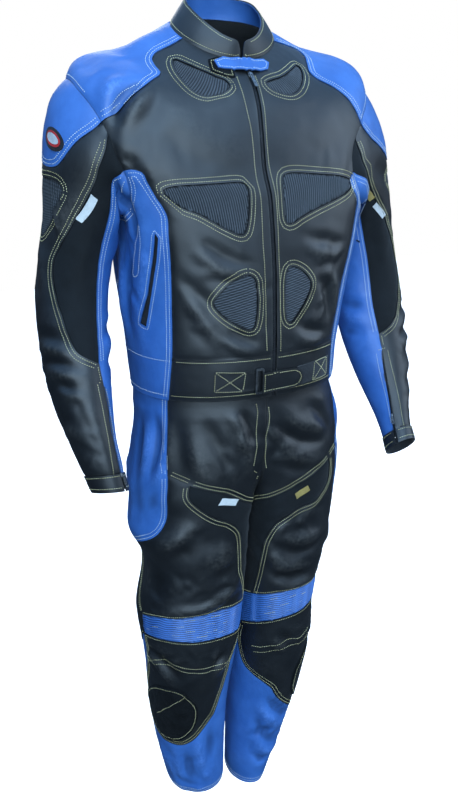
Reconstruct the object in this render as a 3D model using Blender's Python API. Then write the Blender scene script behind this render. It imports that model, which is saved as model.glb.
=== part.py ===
# Motorcycle race suit, worn form: a zipped jacket over matching trousers.
# Metres, +Z up, the front faces -Y, the wearer's right is -X.
# The origin is at the base of the neck, where the wearer's shoulders hold the suit up.

import math

import bpy
import numpy as np
from mathutils import Matrix, Vector, kdtree
from mathutils.geometry import delaunay_2d_cdt

# ---------------------------------------------------------------- driving sizes
NECK_HEIGHT = 1.460      # base of the neck above the floor, the height of the origin
LEATHER = 0.0016         # wall of the leather panels
STRETCH = 0.0014         # wall of the stretch fabric panels
KNIT = 0.0012            # wall of the sunk knit inserts
KNIT_SINK = 0.0008       # how far the knit lies below the leather face
SEAM_GAP = 0.0003        # air between neighbouring pieces
PULL_GAP = 0.0004        # air between a pull tab and its slider
PULL_TAIL = 0.0006       # how far a pull tab reaches past its hinge axis
SEAM_STEP = 0.034        # spacing of the points along a seam
FINE_STEP = 0.018        # spacing along the outline of a small piece
GRID_STEP = 0.052        # spacing of the points inside a panel
RIGHT = -1
LEFT = 1

JACKET_LENGTH = 0.575    # neckline to the lower edge of the hem band, down the surface
HEM_BAND_TOP = 0.508     # upper seam of the hem band
ZIP_HALF = 0.0034        # half width of the strip seen between the two fronts
CUFF_BAND = 0.022        # height of the band round each cuff
BLEND = 0.130            # length over which a sleeve leaves the shape of its armhole
ARM_CLEAR = 0.012        # air between a hanging sleeve and the side of the jacket
ARM_PRESS = {-1: 0.130, 1: 0.0}   # share by which the arm presses the jacket's side in
TROUSER_TOP = 1.000      # height of the trouser waist above the floor, inside the hem
CROTCH = 0.790           # height of the crotch above the floor
TROUSER_HEM = {RIGHT: 0.188, LEFT: 0.150}

# armhole: a rounded oval on the jacket body, centre and half sizes in degrees and metres
ARMHOLE = {
    RIGHT: {"phi": 92.0, "v": 0.207, "half_phi": 37.8, "rise": 0.061, "drop": 0.104},
    LEFT: {"phi": 79.0, "v": 0.208, "half_phi": 40.5, "rise": 0.058, "drop": 0.104},
}
ARMHOLE_POWER = 2.6
CORNER = {RIGHT: 36, LEFT: 45}    # sleeve angle at which the yoke's front seam meets the cap
STRETCH_CORNER = {RIGHT: 24, LEFT: 30}    # and at which the stretch panel's outer edge starts


def table(names, text):
    """Rows of sizes as named columns."""
    lines = [[float(word) for word in row.split()] for row in text.strip().splitlines()]
    data = np.array(lines)
    return {name: data[:, i] for i, name in enumerate(names.split())}


# Rings round the jacket body, from the neckline down.
# v: way down the surface. z_front, z_side, z_back: heights above the floor.
# half: half width. y_front, y_side, y_back: depths. shift: sideways. lean: how much higher
# the left side stands than the middle. power: squareness.
BODY = table("v z_front z_side z_back half y_front y_side y_back shift lean power", """
0.000  1.458 1.502 1.525  0.080  -0.050 0.004 0.060  0.000 0.002 2.0
0.055  1.415 1.475 1.498  0.136  -0.088 0.005 0.098  0.000 0.007 2.1
0.125  1.362 1.455 1.436  0.224  -0.110 0.005 0.122  0.001 0.007 2.2
0.180  1.315 1.396 1.378  0.239  -0.120 0.003 0.132  0.001 0.005 2.4
0.270  1.268 1.300 1.300  0.216  -0.132 0.000 0.138  0.007 0.003 2.6
0.360  1.195 1.200 1.200  0.194  -0.140 0.000 0.134  0.009 0.000 2.5
0.440  1.115 1.118 1.118  0.181  -0.143 0.000 0.125  0.007 0.000 2.3
0.515  1.045 1.045 1.045  0.170  -0.143 0.000 0.125  0.005 0.000 2.3
0.585  0.978 0.975 0.975  0.168  -0.135 0.000 0.132  0.007 0.000 2.2
""")

# Top ring of the stand-up collar, same columns.
COLLAR_TOP = {"z_front": 1.482, "z_side": 1.533, "z_back": 1.552,
              "half": 0.056, "y_front": -0.052, "y_side": 0.004, "y_back": 0.049, "lean": 0.0}

# Rings down each sleeve. v: way down the sleeve. x, y, z: centre, z above the floor.
# tilt: outer side raised. lean: front raised. across, deep: half sizes.
SLEEVE = {
    RIGHT: table("v x y z tilt lean across deep", """
0.000  0.218  0.000 1.352  69  0  0.086 0.068
0.045  0.232  0.006 1.330  44  0  0.062 0.067
0.090  0.224  0.015 1.258  14  0  0.057 0.064
0.160  0.238  0.020 1.185   5  0  0.052 0.062
0.220  0.249  0.012 1.130   3  8  0.051 0.060
0.290  0.257 -0.015 1.063   0 20  0.048 0.056
0.370  0.259 -0.048 0.988   0 23  0.040 0.048
0.420  0.255 -0.068 0.940   2 22  0.032 0.041
0.485  0.242 -0.092 0.869   6 18  0.026 0.033
"""),
    LEFT: table("v x y z tilt lean across deep", """
0.000  0.208  0.000 1.350  69  0  0.086 0.068
0.045  0.234  0.005 1.318  42  0  0.066 0.067
0.090  0.246  0.012 1.262  22  0  0.062 0.064
0.160  0.262  0.018 1.195  12  0  0.058 0.062
0.220  0.277  0.016 1.135   8  6  0.057 0.060
0.300  0.284  0.000 1.055   4 16  0.058 0.057
0.390  0.286 -0.035 0.970   0 26  0.046 0.048
0.460  0.281 -0.075 0.908  -4 36  0.029 0.035
0.500  0.275 -0.098 0.876  -2 42  0.024 0.029
0.530  0.271 -0.118 0.850   0 46  0.026 0.029
"""),
}

# Rings down each trouser half. z: height above the floor. centre: from the middle plane.
# outer, inner, front, back: half sizes. y: depth of the centre. power and square:
# squareness of the outer and of the inner half.
LEG = {
    RIGHT: table("z centre outer inner front back y power square", """
1.000  0.000 0.1600 0.156  0.125 0.114   0.000 2.2 2.2
0.978  0.002 0.1590 0.155  0.126 0.120   0.000 2.2 2.2
0.940  0.010 0.148 0.147  0.126 0.126   0.000 2.2 2.2
0.880  0.036 0.128 0.100  0.122 0.138   0.000 2.2 3.0
0.830  0.064 0.110 0.074  0.114 0.130   0.000 2.2 4.5
0.790  0.074 0.100 0.074  0.108 0.114   0.000 2.2 5.0
0.776  0.0763 0.1008 0.0725 0.106 0.109 -0.001 2.2 4.9
0.750  0.079 0.103 0.075  0.103 0.101  -0.004 2.2 4.5
0.700  0.080 0.083 0.075  0.097 0.093  -0.008 2.2 4.0
0.600  0.082 0.097 0.076  0.086 0.080  -0.010 2.2 3.0
0.500  0.083 0.085 0.071  0.080 0.074  -0.005 2.2 2.5
0.400  0.081 0.078 0.064  0.073 0.078   0.010 2.1 2.1
0.300  0.077 0.070 0.057  0.066 0.074   0.018 2.1 2.1
0.150  0.067 0.051 0.046  0.056 0.058   0.025 2.0 2.0
"""),
    LEFT: table("z centre outer inner front back y power square", """
1.000  0.000 0.1680 0.156  0.125 0.114   0.000 2.2 2.2
0.978  0.002 0.1710 0.155  0.126 0.120   0.000 2.2 2.2
0.940  0.010 0.173 0.147  0.126 0.126   0.000 2.2 2.2
0.880  0.036 0.156 0.100  0.122 0.138   0.000 2.2 3.0
0.830  0.064 0.130 0.074  0.114 0.130   0.000 2.2 4.5
0.790  0.074 0.116 0.074  0.108 0.114   0.000 2.2 5.0
0.776  0.0763 0.1113 0.0725 0.106 0.109 -0.001 2.2 4.9
0.750  0.079 0.104 0.075  0.103 0.101  -0.004 2.2 4.5
0.700  0.079 0.096 0.075  0.097 0.093  -0.008 2.2 4.0
0.600  0.077 0.072 0.074  0.086 0.080  -0.010 2.2 3.0
0.500  0.073 0.074 0.071  0.080 0.074  -0.005 2.2 2.5
0.400  0.067 0.077 0.064  0.073 0.078   0.010 2.1 2.1
0.300  0.057 0.067 0.052  0.064 0.072   0.018 2.1 2.1
0.150  0.037 0.032 0.036  0.052 0.054   0.025 2.0 2.0
"""),
}

# ---------------------------------------------------------------- seam lines
# Jacket body: phi in degrees round from the front centre, v down from the neckline.
ZIP_LINE = table("v phi", """
0.000  1.0
0.030  1.0
0.120 -0.6
0.200 -1.0
0.330 -2.0
0.460 -1.2
0.575 -0.4
""")
YOKE_FRONT = {
    RIGHT: table("phi v", """
67.0 0.000
69.0 0.012
73.0 0.028
74.5 0.039
72.0 0.0475
66.0 0.0530
57.5 0.0600
54.5 0.0670
53.0 0.0780
50.0 0.1050
52.0 0.1430
"""),
    LEFT: table("phi v", """
67.0 0.000
72.0 0.012
78.0 0.028
80.0 0.039
75.0 0.0465
62.0 0.0500
51.0 0.0575
47.0 0.0714
46.0 0.0904
45.2 0.1125
45.8 0.1324
46.8 0.1500
"""),
}
YOKE_BACK = table("phi v", """
115 0.000
117 0.050
120 0.100
122 0.145
""")
SIDE_FRONT = {
    RIGHT: table("phi v", """
51.0 0.2290
47.4 0.2260
45.2 0.2300
45.6 0.2450
45.0 0.2680
43.6 0.2820
42.8 0.3010
44.9 0.3330
48.6 0.4125
51.7 0.4850
53.0 0.5080
57.3 0.5750
"""),
    LEFT: table("phi v", """
37.7 0.2510
39.6 0.2690
43.2 0.2860
46.2 0.3060
47.0 0.3400
45.2 0.3963
43.8 0.4570
42.3 0.5080
45.0 0.5750
"""),
}
SIDE_BACK = table("v phi", """
0.300 127.0
0.400 128.0
0.508 128.0
0.575 128.0
""")
CHEST_UPPER = {
    RIGHT: table("phi v", """
16.0 0.0480
20.6 0.0400
29.2 0.0343
40.6 0.0318
53.0 0.0309
58.5 0.0335
55.4 0.0411
48.6 0.0519
40.1 0.0635
32.3 0.0740
26.9 0.0764
22.5 0.0714
18.0 0.0618
15.6 0.0540
"""),
    LEFT: table("phi v", """
10.8 0.0435
16.3 0.0416
24.9 0.0410
37.9 0.0385
48.5 0.0385
49.2 0.0444
42.5 0.0547
33.9 0.0644
25.6 0.0722
20.1 0.0729
15.3 0.0654
11.0 0.0540
"""),
}
CHEST_MID_RIGHT = table("phi v", """
41 0.262
40 0.253
35 0.243
26 0.232
17 0.221
11 0.216
9 0.228
10 0.265
12 0.305
15 0.325
22 0.314
30 0.293
37 0.281
""")
CHEST_MID_LEFT = table("phi v", """
39 0.261
37 0.247
30 0.231
21 0.214
12 0.199
7 0.198
5 0.210
4 0.260
4 0.304
7 0.311
12 0.301
20 0.289
31 0.277
37 0.271
""")
BELLY_RIGHT = table("phi v", """
14 0.384
11 0.390
10 0.405
10 0.430
11 0.455
14 0.463
19 0.456
25 0.443
30 0.424
28 0.411
23 0.396
18 0.387
""")
BELLY_LEFT = table("phi v", """
6 0.377
4 0.390
4 0.420
5 0.450
8 0.459
12 0.445
16 0.427
18 0.408
16 0.394
11 0.381
""")
POCKET = table("phi v", """
51 0.325
50 0.331
54 0.366
59 0.405
67 0.461
71 0.457
62 0.412
56 0.365
""")
THROAT_PAD = table("phi v", """
-33 0.014
-26 0.005
-12 0.005
-11 0.034
-20 0.036
-29 0.030
""")
THROAT_TAB = table("phi v", """
-28 0.014
-21 0.004
-5 0.003
10 0.003
23 0.007
25 0.016
18 0.026
6 0.025
-13 0.023
-24 0.025
""")
BELT_RIGHT = table("phi v", """
-31.6 0.5254
-16.3 0.5283
-9.4 0.5305
-9.4 0.5590
-17.4 0.5594
-31.8 0.5572
""")
BELT_TONGUE = table("phi v", """
-8.4 0.5305
3.0 0.5310
11.0 0.5320
15.0 0.5380
16.5 0.5485
15.0 0.5590
11.3 0.5640
3.0 0.5645
-8.4 0.5635
""")
BELT_PATCH = table("phi v", """
13.0 0.5315
38.0 0.5275
38.8 0.5600
13.0 0.5630
""")

# Sleeves: psi in degrees round from the front over the outside, v down the sleeve.
CAP_EDGE = {
    RIGHT: table("psi v", """
36 0.0000
38.6 0.0218
43.5 0.0414
50 0.0548
59 0.0638
72 0.0674
90 0.0676
112 0.0645
131 0.0550
145 0.0340
150 0.0000
"""),
    LEFT: table("psi v", """
45 0.0000
46.5 0.0176
51.5 0.0373
57 0.0500
66 0.0610
79 0.0668
96 0.0676
114 0.0645
131 0.0550
145 0.0340
150 0.0000
"""),
}
ARM_KNIT = table("psi v", """
51 0.0775
57 0.0735
72 0.0735
92 0.0745
112 0.0735
127 0.0735
132 0.0775
128 0.0860
112 0.1080
98 0.1210
86 0.1210
71 0.1085
56 0.0860
""")
STRETCH_OUTER = {
    RIGHT: table("psi v", """
24 0.0000
20 0.0070
12 0.0185
3 0.0365
3.2 0.0541
10.5 0.0660
20 0.0770
30.6 0.0930
38 0.1136
46 0.1331
53 0.1520
53 0.1696
48 0.1897
39 0.2177
31.4 0.2432
25.3 0.2687
15.4 0.2957
0.2 0.3079
-24.1 0.3184
"""),
    LEFT: table("psi v", """
30 0.0000
26 0.0100
12 0.0230
-2 0.0400
-4 0.0560
-0.8 0.0722
8.9 0.1043
21.1 0.1411
32 0.1671
39 0.1930
42 0.2180
38 0.2430
29 0.2650
21 0.2820
14 0.3020
5 0.3150
-5 0.3235
-27.5 0.3347
"""),
}
STRETCH_INNER = {
    RIGHT: table("psi v", """
-15 0.0000
-17 0.0120
-21 0.0300
-20.5 0.0550
-16.5 0.0760
-14.5 0.0950
-16 0.1190
-18 0.1482
-20.5 0.1806
-24 0.2166
-25.4 0.2671
-25.3 0.2980
-24.1 0.3184
"""),
    LEFT: table("psi v", """
-15 0.0000
-18 0.0200
-23 0.0450
-28 0.0700
-30 0.0950
-28 0.1230
-26.4 0.1732
-29 0.2209
-29.7 0.2688
-28 0.3078
-27.5 0.3347
"""),
}
# edges of the cuff zip, as a share of the way from the zip's top to the cuff
CUFF_ZIP_TOP = {RIGHT: 0.345, LEFT: 0.362}
CUFF_ZIP = {
    RIGHT: table("share leather cloth", """
0.00 -30.0 -30.0
0.20 -34.0 -37.0
0.50 -35.5 -39.5
0.75 -32.0 -38.0
1.00 -27.0 -34.5
"""),
    LEFT: table("share leather cloth", """
0.00 -28.0 -28.0
0.15 -29.5 -33.0
0.30 -32.0 -36.5
0.55 -37.5 -44.0
0.78 -42.0 -50.5
1.00 -43.0 -53.0
"""),
}
CUFF_PULL = {RIGHT: 0.020, LEFT: 0.046}   # how far above the cuff's edge each slider stands
SLEEVE_BACK_SEAM = 225.0

# Trousers: phi in degrees round from the front over the outside, z above the floor.
HIP_FRONT_TOP = {
    RIGHT: table("phi z", """
57.0 1.000
57.5 0.940
55.0 0.890
52.5 0.8656
"""),
    LEFT: table("phi z", """
60.0 1.000
58.0 0.940
52.0 0.8875
47.0 0.8600
"""),
}
HIP_LOWER = table("phi z", """
48.0 0.828
47.4 0.801
49.7 0.778
56.0 0.761
68.0 0.7475
92.0 0.730
112.0 0.737
""")
HIP_BACK = table("phi z", """
124.0 0.775
130.0 0.840
132.0 0.920
133.0 1.000
""")
UPPER_SEAM_OUTER = {
    RIGHT: table("phi z", """
52.5 0.8656
42.0 0.8590
34.0 0.8535
"""),
    LEFT: table("phi z", """
47.0 0.8600
41.0 0.8560
34.0 0.8495
"""),
}
UPPER_SEAM_INNER = {
    RIGHT: table("phi z", """
34.0 0.8535
25.7 0.8485
7.5 0.8370
-13.6 0.8225
-29.5 0.8097
-43.7 0.7985
-57.0 0.7880
-74.0 0.7840
-90.0 0.7900
"""),
    LEFT: table("phi z", """
34.0 0.8495
28.0 0.8436
13.2 0.8311
-5.2 0.8186
-26.4 0.8094
-37.0 0.8040
-45.0 0.7985
-57.0 0.7880
-74.0 0.7840
-90.0 0.7900
"""),
}
STRETCH_EDGE = {
    RIGHT: table("phi z", """
34 0.8535
31 0.833
20 0.813
3 0.792
-17 0.778
-30 0.756
-34 0.712
-37 0.678
-48 0.640
-57 0.6065
"""),
    LEFT: table("phi z", """
34 0.8495
33.5 0.828
30 0.800
15 0.782
-12 0.770
-34 0.753
-44 0.723
-48 0.687
-52 0.645
-57 0.6065
"""),
}
BAND_TOP = table("phi z", """
84 0.5985
79 0.6015
56 0.6120
28 0.6172
0 0.6175
-28 0.6160
-46 0.6115
-57 0.6065
-75 0.5980
""")
BAND_BOTTOM = table("phi z", """
84 0.5610
76 0.5635
56 0.5690
39 0.5685
14 0.5640
-3 0.5610
-22 0.5590
-39 0.5545
-55 0.5470
-75 0.5350
""")
OUTSEAM = table("phi z", """
112 0.737
106 0.660
96 0.620
84 0.5985
""")
INSEAM = table("phi z", """
-90 0.790
-112 0.755
-126 0.700
-130 0.600
""")
KNEE_BACK = table("phi z", """
84 0.5610
96 0.5450
108 0.5220
122 0.5200
150 0.5500
190 0.5800
230 0.6000
""")
KNEE_EDGE = {
    RIGHT: table("phi z", """
84 0.5610
87 0.535
91 0.500
97 0.465
106 0.430
108 0.390
102 0.352
90 0.326
72 0.3165
54 0.3165
38 0.3170
26 0.3251
14 0.3402
-0.6 0.3657
-13.6 0.3878
-25 0.4291
-32 0.4735
-38 0.505
-52 0.526
-75 0.535
"""),
    LEFT: table("phi z", """
84 0.5610
87 0.535
91 0.500
97 0.465
106 0.430
108 0.390
102 0.352
90 0.326
72 0.3165
54 0.3150
37 0.3178
14 0.3423
-4.5 0.3703
-17 0.3940
-32 0.4100
-49 0.4259
-65 0.4436
-76 0.4720
-80 0.5050
-75 0.535
"""),
}
KNEE_PATCH = {
    RIGHT: table("phi z", """
100 0.395
93 0.422
76 0.447
57 0.458
38 0.4575
25 0.439
15.5 0.414
15 0.385
22 0.357
36 0.336
54 0.328
76 0.330
92 0.352
"""),
    LEFT: table("phi z", """
102 0.395
98 0.422
84 0.447
66 0.458
47 0.4575
34 0.439
25 0.414
24 0.385
30 0.357
44 0.336
62 0.328
80 0.331
94 0.353
"""),
}


# ---------------------------------------------------------------- smooth forms
def spline(xs, ys, x):
    """Smooth curve through the rows of a table."""
    x = np.clip(x, xs[0], xs[-1])
    slope = np.gradient(ys, xs)
    i = np.clip(np.searchsorted(xs, x, side="right") - 1, 0, len(xs) - 2)
    h = xs[i + 1] - xs[i]
    t = (x - xs[i]) / h
    near = (2 * t**3 - 3 * t**2 + 1) * ys[i] + (t**3 - 2 * t**2 + t) * h * slope[i]
    far = (3 * t**2 - 2 * t**3) * ys[i + 1] + (t**3 - t**2) * h * slope[i + 1]
    return near + far


def section(rings, key, value):
    """All columns of a ring table at the given place."""
    keys = rings[key]
    value = np.asarray(value, float)
    if keys[0] > keys[-1]:
        keys = -keys
        value = -value
    return {name: spline(keys, rings[name], value) for name in rings if name != key}


def circle(angle, power=2.0):
    """Cosine and sine of a rounded square with the given squareness."""
    c = np.cos(np.radians(angle))
    s = np.sin(np.radians(angle))
    grow = (np.abs(c)**power + np.abs(s)**power)**(-1.0 / power)
    return c, s, c * grow, s * grow


def ring_height(g, c, s):
    """Height of a ring that passes three given heights at front, side and back."""
    mean = (g["z_front"] + g["z_back"] + 2 * g["z_side"]) / 4
    slope = (g["z_front"] - g["z_back"]) / 2
    sag = (g["z_front"] + g["z_back"] - 2 * g["z_side"]) / 4
    return mean + slope * c + sag * (2 * c * c - 1) + g["lean"] * s - NECK_HEIGHT


def pressed(side, y, v):
    """Share by which the hanging arm presses the side of the jacket in."""
    share = np.where(side < 0, ARM_PRESS[RIGHT], ARM_PRESS[LEFT])
    return share * np.exp(-(y / 0.070)**2 - ((v - 0.310) / 0.070)**2)


def flank(side, y, z):
    """Half width of the jacket body at a depth and a height."""
    v = np.interp(-z - NECK_HEIGHT, -BODY["z_side"], BODY["v"])
    g = section(BODY, "v", v)
    reach = np.where(y < g["y_side"], g["y_front"], g["y_back"]) - g["y_side"]
    share = np.clip((y - g["y_side"]) / reach, 0, 1)
    x = g["half"] * (1 - share**g["power"])**(1 / g["power"])
    return x * (1 - pressed(side, y, v)) + side * g["shift"]


def body(phi, v):
    """Point of the jacket body."""
    phi = np.asarray(phi, float)
    g = section(BODY, "v", v)
    c, s, cc, ss = circle(phi, g["power"])
    reach = np.where(c > 0, g["y_front"], g["y_back"]) - g["y_side"]
    y = g["y_side"] + reach * np.abs(cc)
    x = g["shift"] + g["half"] * ss * (1 - pressed(np.sign(s), y, v))
    return np.stack([x, y, ring_height(g, c, s) + 0 * phi], -1)


def collar(phi, h):
    """Point of the collar, h from 0 at the neckline to 1 at the top edge."""
    phi = np.asarray(phi, float)
    h = np.asarray(h, float)[..., None]
    g = COLLAR_TOP
    c, s, cc, ss = circle(phi)
    reach = np.where(c > 0, g["y_front"], g["y_back"]) - g["y_side"]
    top = np.stack([g["half"] * ss, g["y_side"] + reach * np.abs(cc), ring_height(g, c, s)], -1)
    return body(phi, 0 * phi) * (1 - h) + top * h


def armhole(side, psi):
    """Place on the jacket body of the armhole point at sleeve angle psi."""
    hole = ARMHOLE[side]
    c, s, cc, ss = circle(psi, ARMHOLE_POWER)
    reach = np.where(s > 0, hole["rise"], hole["drop"])
    return side * (hole["phi"] - hole["half_phi"] * cc), hole["v"] - reach * ss


def tube(side, psi, v):
    """Point of the plain sleeve tube."""
    g = section(SLEEVE[side], "v", v)
    c, s, cc, ss = circle(psi)
    tilt = np.radians(g["tilt"])
    lean = np.radians(g["lean"])
    x = g["x"] + g["across"] * s * np.cos(tilt)
    y = g["y"] - g["deep"] * c * np.cos(lean) + g["across"] * s * np.sin(tilt) * np.sin(lean)
    z = g["z"] + g["deep"] * c * np.sin(lean) + g["across"] * s * np.sin(tilt) * np.cos(lean)
    return np.stack([side * x, y, z - NECK_HEIGHT], -1)


def sleeve(side, psi, v):
    """Point of a sleeve: its first ring is the armhole on the body."""
    psi = np.asarray(psi, float) + 0 * np.asarray(v, float)
    v = np.asarray(v, float) + 0 * psi
    hold = np.clip(1 - v / BLEND, 0, 1)
    hold = hold * hold * (3 - 2 * hold)
    start = body(*armhole(side, psi)) - tube(side, psi, 0 * v)
    at = tube(side, psi, v) + start * hold[..., None]
    leave = np.clip(v / 0.024, 0, 1)
    inner = np.clip(0.5 - 1.5 * np.sin(np.radians(psi)), 0, 1)
    share = leave * leave * (3 - 2 * leave) * inner * inner * (3 - 2 * inner)
    over = side * at[..., 0] - flank(side, at[..., 1], at[..., 2]) - ARM_CLEAR
    at[..., 0] += side * share * 0.5 * (np.sqrt(over**2 + 0.004**2) - over)
    return at


def leg(side, phi, z):
    """Point of one trouser half."""
    phi = np.asarray(phi, float)
    z = np.asarray(z, float)
    g = section(LEG[side], "z", z)
    outward = np.sin(np.radians(phi)) > 0
    c, s, cc, ss = circle(phi, np.where(outward, g["power"], g["square"]))
    x = g["centre"] + np.where(outward, g["outer"], g["inner"]) * ss + SEAM_GAP / 3
    y = g["y"] - np.where(c > 0, g["front"], g["back"]) * cc
    return np.stack([side * x, y, z + 0 * phi - NECK_HEIGHT], -1)


def centre_seam(z):
    """Angle at which a trouser half meets the middle plane at the front."""
    g = section(LEG[RIGHT], "z", z)
    share = np.clip(g["centre"] / g["inner"], 0, 1)
    q = (np.maximum(1 - share**g["square"], 0))**(1 / g["square"])
    return -np.degrees(np.arctan2(share, q))


# ---------------------------------------------------------------- seams and panels
def smooth_line(points, closed=False, steps=12):
    """Dense smooth line through a few points."""
    p = np.asarray(points, float)
    n = len(p)
    out = []
    for i in range(n if closed else n - 1):
        if closed:
            a, b, c, d = p[i - 1], p[i], p[(i + 1) % n], p[(i + 2) % n]
        else:
            a, b, c, d = p[max(i - 1, 0)], p[i], p[i + 1], p[min(i + 2, n - 1)]
        for k in range(steps):
            t = k / steps
            out.append(0.5 * (2 * b + (c - a) * t + (2 * a - 5 * b + 4 * c - d) * t * t
                              + (3 * b - a - 3 * c + d) * t**3))
    out.append(p[0] if closed else p[-1])
    return np.array(out)


def resample(surface, line, step, closed=False):
    """Points along a line on a surface, evenly spaced in space."""
    xyz = surface(line[:, 0], line[:, 1])
    length = np.r_[0, np.cumsum(np.linalg.norm(np.diff(xyz, axis=0), axis=1))]
    count = max(int(round(length[-1] / step)), 4 if closed else 1)
    at = np.linspace(0, length[-1], count + 1)
    return np.stack([np.interp(at, length, line[:, 0]), np.interp(at, length, line[:, 1])], -1)


def inside(points, outline):
    """Which points lie inside a closed outline."""
    x, y = points[:, 0], points[:, 1]
    hit = np.zeros(len(points), bool)
    n = len(outline)
    for i in range(n):
        x1, y1 = outline[i]
        x2, y2 = outline[(i + 1) % n]
        if y1 == y2:
            continue
        cross = (y1 > y) != (y2 > y)
        hit ^= cross & (x < (x2 - x1) * (y - y1) / (y2 - y1) + x1)
    return hit


def join(*lines):
    """One closed outline from lines that follow each other."""
    out = []
    for line in lines:
        for p in np.asarray(line, float):
            if not out or np.hypot(*(out[-1] - p)) > 1e-7:
                out.append(p)
    if np.hypot(*(out[0] - out[-1])) < 1e-7:
        out.pop()
    return np.array(out)


SHARED = []     # seam points whose wall direction is the mean of two surfaces


def surface_normal(surface, u, v, outward):
    """Unit normals that point away from the inside of the cloth."""
    eu, ev = 0.2, 0.0008
    du = surface(u + eu, v) - surface(u - eu, v)
    dv = surface(u, v + ev) - surface(u, v - ev)
    n = np.cross(du, dv) * outward
    return n / np.linalg.norm(n, axis=-1, keepdims=True)


class Sheet:
    """A surface cut into pieces that share the points of every seam."""

    def __init__(self, surface, wide, outward, tall=1.0):
        self.surface = surface
        self.wide = wide            # metres for one degree, for even triangles
        self.tall = tall            # metres for one unit down the surface
        self.outward = outward
        self.lines = []
        self.pieces = []

    def line(self, points, step=SEAM_STEP, smooth=True):
        """A seam line, kept at even points."""
        pts = smooth_line(points) if smooth and len(points) > 2 else np.asarray(points, float)
        if len(pts) == 2:
            pts = np.linspace(pts[0], pts[1], 25)
        return self.keep(resample(self.surface, pts, step))

    def keep(self, pts):
        self.lines.append(np.asarray(pts, float))
        return np.asarray(pts, float)

    def loop(self, points, step=FINE_STEP, smooth=True):
        pts = np.asarray(points, float)
        if smooth:
            pts = resample(self.surface, smooth_line(pts, closed=True), step, closed=True)
        else:
            sides = []
            for i in range(len(pts)):
                a, b = pts[i], pts[(i + 1) % len(pts)]
                sides.append(resample(self.surface, np.linspace(a, b, 12), step)[:-1])
            pts = np.concatenate(sides + [pts[:1]])
        self.keep(pts)
        return pts[:-1]

    def piece(self, name, outline, wall, colour, holes=(), lift=0.0, offset=SEAM_GAP / 2):
        self.pieces.append((name, np.asarray(outline), wall, colour, holes, lift, offset))

    def triangulate(self):
        scale = np.array([self.wide, self.tall])
        points, index, edges = [], {}, []
        for line in self.lines:
            last = None
            for p in line:
                key = (round(p[0], 6), round(p[1], 7))
                if key not in index:
                    index[key] = len(points)
                    points.append(p)
                here = index[key]
                if last is not None and last != here:
                    edges.append((last, here))
                last = here
        seams = np.array(points)
        low = seams.min(0) * scale
        high = seams.max(0) * scale
        rows = np.arange(low[1] + GRID_STEP * 0.5, high[1], GRID_STEP * 0.87)
        grid = []
        for i, y in enumerate(rows):
            xs = np.arange(low[0] + GRID_STEP * (0.5 if i % 2 else 1.0), high[0], GRID_STEP)
            grid += [(x, y) for x in xs]
        grid = np.array(grid)
        away = np.full(len(grid), 1e9)
        for line in self.lines:
            dense = resample(lambda a, b: np.stack([a * self.wide, b * self.tall], -1),
                             line, GRID_STEP * 0.2) * scale
            for q in dense:
                away = np.minimum(away, np.hypot(grid[:, 0] - q[0], grid[:, 1] - q[1]))
        grid = grid[away > GRID_STEP * 0.55]
        flat = [Vector(p) for p in np.concatenate([seams * scale, grid])]
        verts, _, faces, _, _, _ = delaunay_2d_cdt(flat, edges, [], 0, 1e-7)
        self.uv = np.array([[p.x, p.y] for p in verts]) / scale
        self.tris = np.array([list(f) for f in faces])
        self.at = self.surface(self.uv[:, 0], self.uv[:, 1])
        self.normal = surface_normal(self.surface, self.uv[:, 0], self.uv[:, 1], self.outward)
        if SHARED:
            tree = kdtree.KDTree(len(SHARED))
            for i, (p, n) in enumerate(SHARED):
                tree.insert(Vector(p), i)
            tree.balance()
            for i, p in enumerate(self.at):
                _, k, far = tree.find(Vector(p))
                if far < 1e-5:
                    self.normal[i] = SHARED[k][1]
        self.middle = self.uv[self.tris].mean(1)
        tri = self.at[self.tris]
        facing = np.cross(tri[:, 1] - tri[:, 0], tri[:, 2] - tri[:, 0])
        if np.sum(facing * self.normal[self.tris].mean(1)) < 0:
            self.tris = self.tris[:, [0, 2, 1]]

    def build(self):
        self.triangulate()
        for name, outline, wall, colour, holes, lift, offset in self.pieces:
            pick = inside(self.middle, outline)
            for hole in holes:
                pick &= ~inside(self.middle, hole)
            tris = self.tris[pick]
            used = np.unique(tris)
            back = np.full(len(self.uv), -1)
            back[used] = np.arange(len(used))
            u, v = self.uv[used, 0], self.uv[used, 1]
            raise_by = lift(u, v) if callable(lift) else lift
            raise_by = np.zeros(len(used)) + raise_by
            add_wall(name, self.at[used], self.normal[used], back[tris], wall, raise_by,
                     offset, colour)


def rim(tris):
    """Directed edges that bound a set of triangles."""
    seen = {}
    for a, b, c in tris:
        for p, q in ((a, b), (b, c), (c, a)):
            if (q, p) in seen:
                del seen[(q, p)]
            else:
                seen[(p, q)] = True
    return list(seen)


def add_wall(name, at, normal, tris, wall, raise_by, offset, colour):
    """Closed solid between the cloth's outer face and its inner face."""
    edges = rim(tris)
    pull = np.zeros_like(at)
    count = np.zeros(len(at))
    ways = {}
    for p, q in edges:
        along = at[q] - at[p]
        along /= np.linalg.norm(along)
        inward = np.cross(normal[p] + normal[q], along)
        inward /= np.linalg.norm(inward)
        for k in (p, q):
            ways.setdefault(k, []).append(inward)
    for k, dirs in ways.items():
        total = np.sum(dirs, axis=0)
        share = np.dot(total, total) / len(dirs)
        share = max(share, 0.35)
        pull[k] = total / share
        count[k] = 1
    outer = at + pull * offset + normal * raise_by[:, None]
    inner = outer - normal * wall
    n = len(at)
    faces = [tuple(t) for t in tris] + [(c + n, b + n, a + n) for a, b, c in tris]
    for p, q in edges:
        if tuple(at[p]) < tuple(at[q]):
            faces += [(q, p, p + n), (q, p + n, q + n)]
        else:
            faces += [(q, p, q + n), (p, p + n, q + n)]
    add_object(name, np.concatenate([outer, inner]), faces, colour)


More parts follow.
